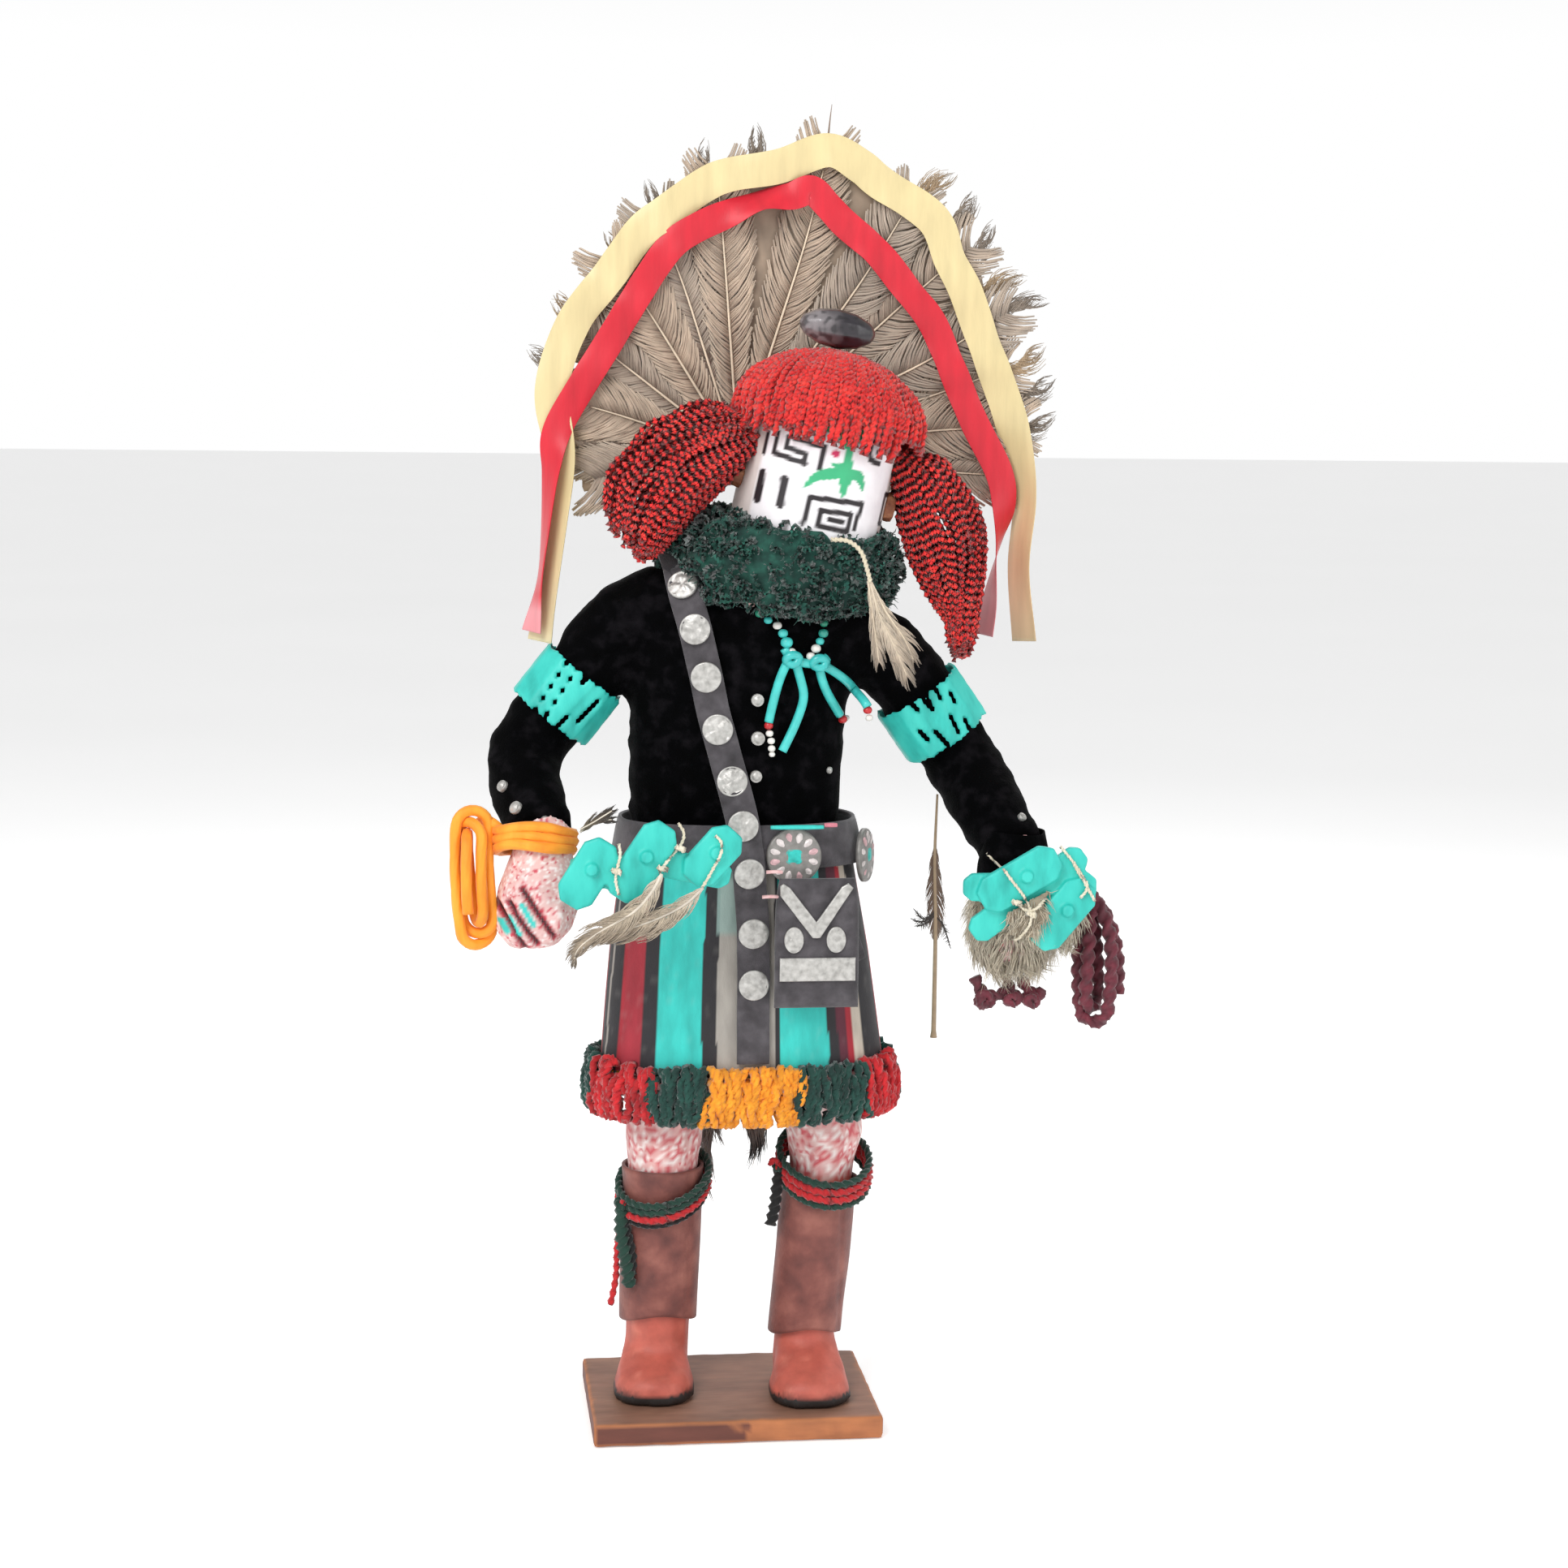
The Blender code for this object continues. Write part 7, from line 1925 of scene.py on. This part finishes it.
# %% Ruff
ruff_yarn = yarn_finish("green chenille", [rgb(10, 42, 38), rgb(20, 70, 60), rgb(40, 104, 88)], 0.9, 0.35)
ruff_core = finer("ruff", 0.0020, ruff_yarn, "ruff_yarn", 8, "ruff_core")
core_points, core_normals = points_of(ruff_core), normals_of(ruff_core)
lump = clouds(core_points, 0.007, 5)
move_points(ruff_core, core_points + core_normals * (-0.0022 + 0.0008 * lump)[:, None])
dice = random.Random(51)
places, ways = on_surface(ruff_core, 1040, dice)
loops = Bundle()
for place, normal in zip(places, ways):
    turn = Vector((dice.uniform(-1, 1), dice.uniform(-1, 1), dice.uniform(-1, 1)))
    across = Vector(normal).cross(turn).normalized()
    up_way = Vector(normal).cross(across)
    size = dice.uniform(0.0018, 0.0030)
    height = dice.uniform(0.0022, 0.0040)
    path = []
    for s in np.linspace(0, 1, 8):
        a = math.pi * (1.15 * s - 0.075)
        curl = up_way * math.sin(a * 2) * size * 0.5
        path.append(np.array(Vector(place) + across * math.cos(a) * size + Vector(normal) * math.sin(a) * height + curl))
    loops.strand(resampled(path, 0.0016), dice.uniform(0.0007, 0.00100), 4, 2, 0.003, dice.uniform(0, 6))
loops.made("ruff_loops", ruff_yarn, "ruff_yarn", "ruff")
fuzz = Bundle()
places, ways = on_surface(ruff_core, 1800, dice)
for place, normal in zip(places, ways):
    wild = np.array([dice.uniform(-1, 1) for _ in range(3)])
    start = place + normal * dice.uniform(0.0010, 0.0026)
    way = normal * 0.6 + wild * 0.8
    tip = start + way * dice.uniform(0.0014, 0.0030)
    middle = (start + tip) / 2 + np.cross(way, wild) * 0.0008
    fuzz.strand([start, middle, tip], (0.00026, 0.00020, 0.00006), 3)
fuzz.made("ruff_fuzz", ruff_yarn, "ruff_yarn")

# %% [markdown]
# Behind the head stands a fan of body feathers, their quills spread from one place like a hand of cards.
# Each feather is made of its quill and of flat barbs that slant away on both sides and thin out at the
# rim. Neighbours lie by turns in front and behind, as the maker glued them. A thin web behind, painted a
# darker tan than the vanes as painted shade, closes the gaps that light would show through, and gives the
# fan its plain back.

# %% Fan quills
QUILL_ROOT = np.array((2.7, 336.3)) * MM
FAN_MIDDLE = np.array((23.5, 353.0)) * MM
FAN_REACH, FAN_CROWN = 0.0835, 0.0110
FAN_FRONT, WEB_FRONT, WEB_BACK = 0.0203, 0.0213, 0.0222
QUILL_ANGLES = (-4, 6, 18, 28, 42, 56, 74, 95, 110, 124, 143, 163, 178, 190)
VANE_TAN, VANE_GREY, VANE_PALE = rgb(200, 176, 152), rgb(172, 160, 148), rgb(222, 204, 182)
fan_finish = make_finish(
    "fan feather", [rgb(222, 222, 222), rgb(255, 255, 255)], 0.006, 0.7, 0.0003, 0.00003, paint=True, vary=0.11,
    Sheen_Weight=0.2,
)


def fan_rim(degrees, share=1.0):
    """How far the fan reaches from where its quills meet, in one direction."""
    way = np.array((math.cos(math.radians(degrees)), math.sin(math.radians(degrees))))
    reach = FAN_REACH
    for _ in range(12):
        out = QUILL_ROOT + way * reach - FAN_MIDDLE
        lean = max(0.0, out[1] / np.linalg.norm(out))
        reach += FAN_REACH + FAN_CROWN * lean**2 - np.linalg.norm(out)
    return reach * share


def fan_place(degrees, reach, depth=FAN_FRONT):
    angle = math.radians(degrees)
    return np.array((QUILL_ROOT[0] + math.cos(angle) * reach, depth, QUILL_ROOT[1] + math.sin(angle) * reach))


dice = random.Random(41)
fan = Bundle()
for k, degrees in enumerate(QUILL_ANGLES):
    long = fan_rim(degrees) * (1 + 0.025 * math.sin(k * 2.3)) - 0.0075
    depth = FAN_FRONT - 0.0008 * (k % 2)
    bow = dice.uniform(-1.5, 1.5)
    route = [fan_place(degrees + bow * s * (1 - s) * 4, 0.016 + (long - 0.016) * s, depth) for s in (0, 0.33, 0.66, 1)]
    shaft = resampled(route, 0.0022)
    warm = dice.uniform(0.25, 1.0)

    def spread(s):
        tip = max(0.0, 1 - (max(0.0, s - 0.84) / 0.17) ** 2) ** 0.5
        return 0.0175 * min(1, 0.45 + 1.1 * s) * (0.35 + 0.65 * tip)

    def vane_colour(share, reach):
        base = np.array(VANE_TAN) * warm + np.array(VANE_GREY) * (1 - warm)
        cloud = 0.5 + 0.5 * noise.noise(Vector((share * 9 + k * 5, reach * 2.2, k)))
        return base * (0.78 + 0.30 * cloud) + np.array(VANE_PALE) * (0.16 * reach)

    feather_barbs(
        fan, shaft, spread, 112, dice, slant=0.95, curl=0.3, fray=0.10, fluff=0.02, width=0.0013, steps=4, arch=0.03,
        tip=0.45, tufts=(9, 22), colour=vane_colour,
    )
    for level in (depth - 0.0005, WEB_BACK + 0.0001):
        quill = shaft[: int(len(shaft) * 0.93)] * (1, 0, 1) + (0, level, 0)
        fan.strand(quill, np.linspace(0.00052, 0.00024, len(quill)), 6, colour=rgb(236, 216, 190))
print(len(QUILL_ANGLES), "feathers in the fan")

# %% [markdown]
# The rim is where feathers wear: grey down sticks out past the vanes in tufts, and one thin tip stands up
# at the crown. Each tuft is the same kind of feather, short, curled and badly frayed.

# %% Frayed rim
RIM_TUFTS = (  # x, z and length
    (72.4, 431.8, 17), (90.0, 412.8, 21), (106.3, 390.7, 18), (107.2, 371.1, 17), (111.0, 348.0, 18),
    (-10.8, 438.3, 18), (-39.8, 407.7, 15), (-28.0, 424.0, 15), (8.0, 443.5, 15), (-58.0, 386.0, 12),
    (-66.1, 368.9, 14), (-52.2, 336.5, 18), (98.0, 398.0, 15), (82.0, 422.0, 13), (110.2, 360.0, 14),
)
for k, (x, z, length) in enumerate(RIM_TUFTS):
    end = np.array((x, z)) * MM
    way = end - QUILL_ROOT
    way /= np.linalg.norm(way)
    depth = FAN_FRONT + 0.0010
    side = np.array((-way[1], way[0])) * dice.uniform(-0.12, 0.12) * length * MM
    root = end - way * length * MM
    route = [(p[0], depth, p[1]) for p in (root, (root + end) / 2 + side, end - way * 0.003)]
    grey = rgb(150, 136, 122) if k % 3 else rgb(186, 160, 128)
    feather_barbs(
        fan, resampled(route, 0.001), lambda s: 0.0085 * (0.75 + 0.25 * math.sin(s * 3)), 46, dice, slant=0.8,
        curl=0.9, fray=0.7, fluff=0.10, width=0.0006, steps=5, arch=0.02, tufts=(2, 5),
        colour=graded(np.array(grey), np.array(grey) * 1.12, np.array(grey) * 0.72),
    )
tip_route = [(31.5, 20.3, 438.0), (32.6, 20.3, 444.0), (33.2, 20.3, 450.0), (33.9, 20.3, 456.0)]
tip_path = resampled([np.array(p) * MM for p in tip_route], 0.001)
fan.strand(tip_path, np.linspace(0.0006, 0.0001, len(tip_path)), 5, colour=rgb(150, 128, 112))
fan.made("fan_feathers", fan_finish, "fan_feathers", "feather_fan", colours=True)

# %% Web behind the fan, painted as shade
WEB_ANGLES = np.linspace(-8, 194, 110)
WEB_STEPS = 18
sections, coats = [], []
for degrees in WEB_ANGLES:
    rim = fan_rim(degrees, 0.915) + 0.0016 * math.sin(math.radians(degrees) * 21)
    reaches = np.linspace(0.002, rim, WEB_STEPS)
    nearest = min(abs(degrees - a) for a in QUILL_ANGLES)
    ridge = 0.0003 * math.exp(-((nearest / 2.0) ** 2))
    front = [fan_place(degrees, r, WEB_FRONT) for r in reaches]
    back = [fan_place(degrees, r, WEB_BACK - ridge) for r in reaches[::-1]]
    sections.append(front + back)
    for r in list(reaches) + list(reaches[::-1]):
        cloud = 0.5 + 0.5 * noise.noise(Vector((degrees * 0.09 + r * 70, r * 60, 3)))
        lean = abs((degrees - min(QUILL_ANGLES, key=lambda a: abs(degrees - a))) * 0.55)
        stripe = 0.5 + 0.5 * math.sin(r * 2600 - lean * 1.4)
        # Painted shade: the web is a darker tan than the vanes, and darker still where it lies more than 5.5 degrees
        # from a quill.
        web_shade_tone = np.array(VANE_TAN) * (0.50 + 0.24 * cloud + 0.16 * stripe - 0.10 * (nearest > 5.5))
        coats.append(np.append(web_shade_tone[:3], 1))
web_rings = np.array(sections)
web = piece("fan_web", web_rings, capped(web_rings), fan_finish, "fan_feathers")
paint(web, coats)
print("the web has", len(web.data.vertices), "points")

# %% [markdown]
# Two satin ribbons are sewn round the fan, and their tails hang down on both sides. A ribbon is nearly as
# thin as paper, so it is one strip swept along its route and turned as it goes: flat over the feathers,
# where it still ripples between stitches, and rolled nearly edge-on in the tails. Satin's threads run
# lengthwise, which gives the long soft highlights, and the shader stretches its grain to match.

# %% Ribbons
RIBBON = 0.00034


def ribbon(name, node, finish, slot, width, depth, route, tones):
    """A satin ribbon along (x, z, turn) points; turn says in degrees how far it is rolled."""
    flat = resampled([(x * MM, turn * MM, z * MM) for x, z, turn in route], 0.0014)
    path = np.stack([flat[:, 0], np.full(len(flat), depth), flat[:, 2]], axis=1)
    turns = np.radians(flat[:, 1] / MM)
    round_ = np.arctan2(path[:, 2] - FAN_MIDDLE[1], path[:, 0] - FAN_MIDDLE[0])
    on_fan = np.clip((path[:, 2] - 0.335) / 0.03, 0, 1)
    ripple = np.sin(round_ * 17 + 0.8 * np.sin(round_ * 5)) * on_fan
    path[:, 1] += 0.0003 * ripple
    turns = turns + np.radians(9) * np.cos(round_ * 17 + 0.8 * np.sin(round_ * 5)) * on_fan
    along = np.gradient(path, axis=0)
    along /= np.linalg.norm(along, axis=1, keepdims=True)
    out = np.tile((0.0, -1.0, 0.0), (len(path), 1))
    side = np.cross(along, out)
    across = side * np.cos(turns)[:, None] + out * np.sin(turns)[:, None]
    rings = swept(path, across, strip_section(width, RIBBON))
    made = piece(name, rings, capped(rings), finish, slot, node)
    share = np.repeat(np.linspace(0, 1, len(path)), rings.shape[1])
    coat = np.array([np.interp(share, tones[0], [c[i] for c in tones[1]]) for i in range(4)]).T
    paint(made, coat)


satin = {"paint": True, "stretch": (1, 1, 0.12), "Sheen_Weight": 0.35, "Sheen_Roughness": 0.3}
cream_satin = make_finish("cream satin", [rgb(232, 232, 232), rgb(255, 255, 255)], 0.004, 0.42, 0.0005, 0.00004, **satin)
red_satin = make_finish("red satin", [rgb(226, 226, 226), rgb(255, 255, 255)], 0.004, 0.45, 0.0005, 0.00004, **satin)
CREAM_ROUTE = (
    (-66.3, 271.5, 48), (-64.3, 285.6, 55), (-60.7, 313.6, 50), (-59.3, 335.8, 30), (-62.1, 357.9, 8), (-55.2, 379.9, 0),
    (-42.8, 396.5, 0), (-31.7, 411.7, 0), (-23.4, 418.2, 0), (-10.1, 427.7, 0), (-1.3, 431.4, 0), (15.5, 434.5, 0),
    (32.2, 440.3, 0), (43.6, 435.1, 0), (50.7, 429.7, 0), (69.3, 417.7, 0), (75.3, 404.0, 0), (81.2, 393.0, 0),
    (88.7, 373.6, 0), (96.4, 354.1, -10), (101.1, 337.2, -38), (103.5, 320.3, -58), (101.9, 297.5, -62),
    (104.5, 271.7, -56),
)
RED_ROUTE = (
    (-69.2, 274.9, 52), (-66.5, 291.3, 82), (-64.6, 308.0, 78), (-62.6, 330.0, 56), (-60.4, 344.0, 12), (-51.1, 360.7, 0),
    (-44.2, 371.8, 0), (-29.0, 396.7, 0), (-20.7, 407.8, 0), (-12.4, 413.4, 0), (-1.3, 418.5, 18), (9.8, 423.0, 42),
    (19.6, 424.4, 30), (26.6, 426.6, 0), (32.4, 421.4, 0), (38.0, 415.7, 0), (49.4, 406.3, 0), (61.0, 392.7, 0),
    (69.7, 381.7, 0), (77.2, 365.1, 0), (84.7, 348.4, 0), (93.7, 331.5, 4), (95.9, 320.3, 22), (94.7, 308.9, 62),
    (92.9, 297.5, 86), (91.2, 284.7, 112), (89.1, 274.1, 128),
)
cream, tan, red, pink = rgb(226, 208, 156), rgb(220, 190, 150), rgb(216, 30, 50), rgb(236, 150, 156)
ribbon("cream_ribbon", "ribbon_cream", cream_satin, "cream_satin", 0.0117, 0.0170, CREAM_ROUTE,
       ((0, 0.12, 0.80, 1), (rgb(232, 214, 172), cream, cream, tan)))
# The pale pink at both ends of the red ribbon is a painted highlight on its rolled tails.
ribbon("red_ribbon", "ribbon_red", red_satin, "red_satin", 0.0100, 0.0156, RED_ROUTE,
       ((0, 0.03, 0.05, 0.92, 0.955, 1), (pink, pink, red, red, pink, pink)))

# %% [markdown]
# On the crown lies one large seed, dark and polished, turning lighter grey towards one end. It is the
# packed seed made fine, then painted from that grey end to its shiny side.

# %% Crown seed
seed_finish = make_finish(
    "seed coat", [rgb(236, 236, 236), rgb(255, 255, 255)], 0.003, 0.28, 0.0005, 0.00006, paint=True, Coat_Weight=0.3,
    Coat_Roughness=0.25,
)
seed = finer("crown_seed", 0.0006, seed_finish, "seed_coat", 10)
points = points_of(seed)
length_share = (points[:, 0] - points[:, 0].min()) / np.ptp(points[:, 0])
# Lighter grey towards the seed's left end, blended into the dark coat.
grey_end = near(length_share + 0.16 * clouds(points, 0.005, 3), 0.40, 0.35)
coat = blend_colours(np.tile(rgb(42, 38, 44), (len(points), 1)), rgb(134, 128, 130), grey_end)
coat = blend_colours(coat, rgb(20, 18, 22), near(clouds(points, 0.0022, 5), -0.18, 0.3) * 0.7)
paint(seed, coat)

# %% [markdown]
# A cotton string comes out of the collar and carries one limp plume. Its two plies are untwisted at the
# end, where they are tied round the plume's root, and the plume spreads and parts below.

# %% Neck feather
plume = Bundle()
string_route = [(27.5, -36.4, 309.6), (33.0, -37.6, 309.2), (37.4, -38.0, 305.6), (39.6, -38.2, 299.4), (40.6, -38.2, 295.6)]
string_path = resampled([np.array(p) * MM for p in string_route], 0.0008)
plume.strand(string_path, 0.00075, 8, 2, 0.0032, colour=rgb(232, 220, 192))
PLUMES = (  # route of (x, y, z), how wide and how many barbs
    (((40.4, -38.0, 296.4), (43.4, -38.2, 286.0), (48.6, -36.2, 275.6), (54.2, -33.0, 264.2)), 0.0105, 130),
    (((40.0, -37.6, 296.0), (41.6, -37.4, 286.0), (43.2, -35.4, 277.0), (44.6, -33.4, 269.0)), 0.0075, 90),
    (((40.8, -37.4, 296.0), (46.0, -36.8, 286.0), (52.6, -34.8, 277.0), (56.4, -32.2, 269.6)), 0.0080, 90),
)
for route, wide, count in PLUMES:
    shaft = resampled([np.array(p) * MM for p in route], 0.001)
    feather_barbs(
        plume, shaft, lambda s, w=wide: w * min(1, 0.16 + 1.7 * s) * (1 - 0.5 * max(0, s - 0.7) / 0.3), count, dice,
        slant=0.5, curl=0.5, fray=0.3, fluff=0.12, width=0.0006, steps=5, arch=0.05,
        colour=graded(rgb(212, 192, 166), rgb(222, 206, 184), rgb(196, 178, 158), rgb(150, 134, 118)),
    )
    plume.strand(shaft, np.linspace(0.0005, 0.0002, len(shaft)), 5, colour=rgb(226, 210, 186))
plume.made("neck_plume", feather_finish, "feather_down", "neck_feather", colours=True)

# %% [markdown]
# The necklace is a bundle of turquoise cords tied in two knots, with short strings of small beads above
# and glass beads on the lower ends. Everything lies on the velvet, so each route is dropped onto the
# shirt and the strap, and stands off by its own thickness.

# %% Necklace
chest = surface_of("shirt", "bandolier")
CORD_RADIUS, BEAD = 0.00155, 0.00155
TURQUOISE_BEAD, WHITE_BEAD, RED_BEAD, GREEN_BEAD, PINK_BEAD = (
    rgb(70, 206, 200), rgb(240, 236, 230), rgb(196, 40, 44), rgb(44, 150, 120), rgb(240, 196, 190),
)
CORDS = (
    ((15.5, 269.0), (12.6, 262.5), (10.4, 254.5), (8.9, 247.6)),
    ((17.6, 268.4), (19.6, 262.0), (20.9, 255.6), (18.0, 246.6), (13.7, 237.7)),
    ((25.6, 268.0), (27.0, 262.5), (29.4, 257.0), (34.6, 249.0)),
    ((26.3, 267.4), (31.4, 264.4), (36.0, 261.1), (39.8, 257.4), (42.5, 252.8)),
    ((13.8, 272.6), (16.6, 268.9), (21.4, 267.4), (26.3, 267.4), (29.0, 269.4)),
)
BEADS = (  # x, z, size and colour
    (2.7, 287.6, 1.0, PINK_BEAD), (5.5, 284.3, 1.05, GREEN_BEAD), (8.4, 282.0, 0.95, TURQUOISE_BEAD),
    (11.5, 280.2, 1.0, WHITE_BEAD), (13.4, 277.6, 1.1, TURQUOISE_BEAD), (14.6, 274.6, 1.35, TURQUOISE_BEAD),
    (16.3, 271.4, 1.0, WHITE_BEAD), (27.5, 280.8, 0.9, GREEN_BEAD), (27.3, 277.5, 1.1, rgb(52, 166, 150)),
    (26.2, 274.8, 0.95, TURQUOISE_BEAD), (24.8, 272.4, 1.1, WHITE_BEAD), (23.0, 269.8, 1.0, WHITE_BEAD),
    (8.9, 246.5, 1.0, RED_BEAD), (9.3, 243.8, 0.85, WHITE_BEAD), (9.9, 241.2, 0.85, WHITE_BEAD),
    (10.1, 238.6, 0.85, WHITE_BEAD), (10.3, 236.6, 0.7, WHITE_BEAD), (35.9, 247.2, 1.05, RED_BEAD),
    (38.4, 246.6, 0.85, WHITE_BEAD), (42.6, 251.6, 1.0, RED_BEAD), (43.2, 248.9, 0.85, WHITE_BEAD),
)
bead_finish = make_finish(
    "cords and beads", [rgb(224, 224, 224), rgb(255, 255, 255)], 0.004, 0.35, 0.0006, 0.00005, paint=True, Coat_Weight=0.2,
)


def on_chest(x, z, off):
    hit = chest.ray_cast(Vector((x, -1, z)), Vector((0, 1, 0)))
    return np.array((x, (hit[0].y if hit[0] else -0.022) - off, z))


necklace = Bundle()
for k, route in enumerate(CORDS):
    flat = resampled([(x * MM, 0, z * MM) for x, z in route], 0.0009)
    path = smoothed([on_chest(p[0], p[2], CORD_RADIUS * (1.05 + 0.5 * (k % 2))) for p in flat], 6)
    necklace.strand(path, CORD_RADIUS, 12, colour=TURQUOISE_BEAD)
for x, z in ((16.6, 268.9), (26.0, 267.6)):
    for k in range(2):
        turn = [
            on_chest((x + 2.3 * math.cos(a) * (1 - 0.2 * k)) * MM, (z + 1.7 * math.sin(a)) * MM, 0)
            - (0, (3.1 + 0.9 * math.sin(a + k * 2.4)) * MM, 0)
            for a in np.linspace(k, k + 5.6, 18)
        ]
        necklace.strand(smoothed(turn, 1), CORD_RADIUS * 0.95, 10, colour=rgb(62, 196, 192))
for x, z, size, colour in BEADS:
    rings = []
    for a in np.linspace(0.12, math.pi - 0.12, 9):
        wide, up = math.sin(a) ** 0.8 * BEAD * size, math.cos(a) * BEAD * size * 0.85
        centre = on_chest(x * MM, z * MM, BEAD * size * 1.1)
        rings.append([
            centre + (math.cos(b) * wide, math.sin(b) * wide, up) for b in np.linspace(0, 2 * math.pi, 14, endpoint=False)
        ])
    bead_rings = np.array(rings)
    faces = [tuple(reversed(face)) for face in capped(bead_rings)]
    necklace.add(bead_rings, faces, colour)
necklace.made("turquoise_necklace", bead_finish, "beads", "necklace", colours=True)
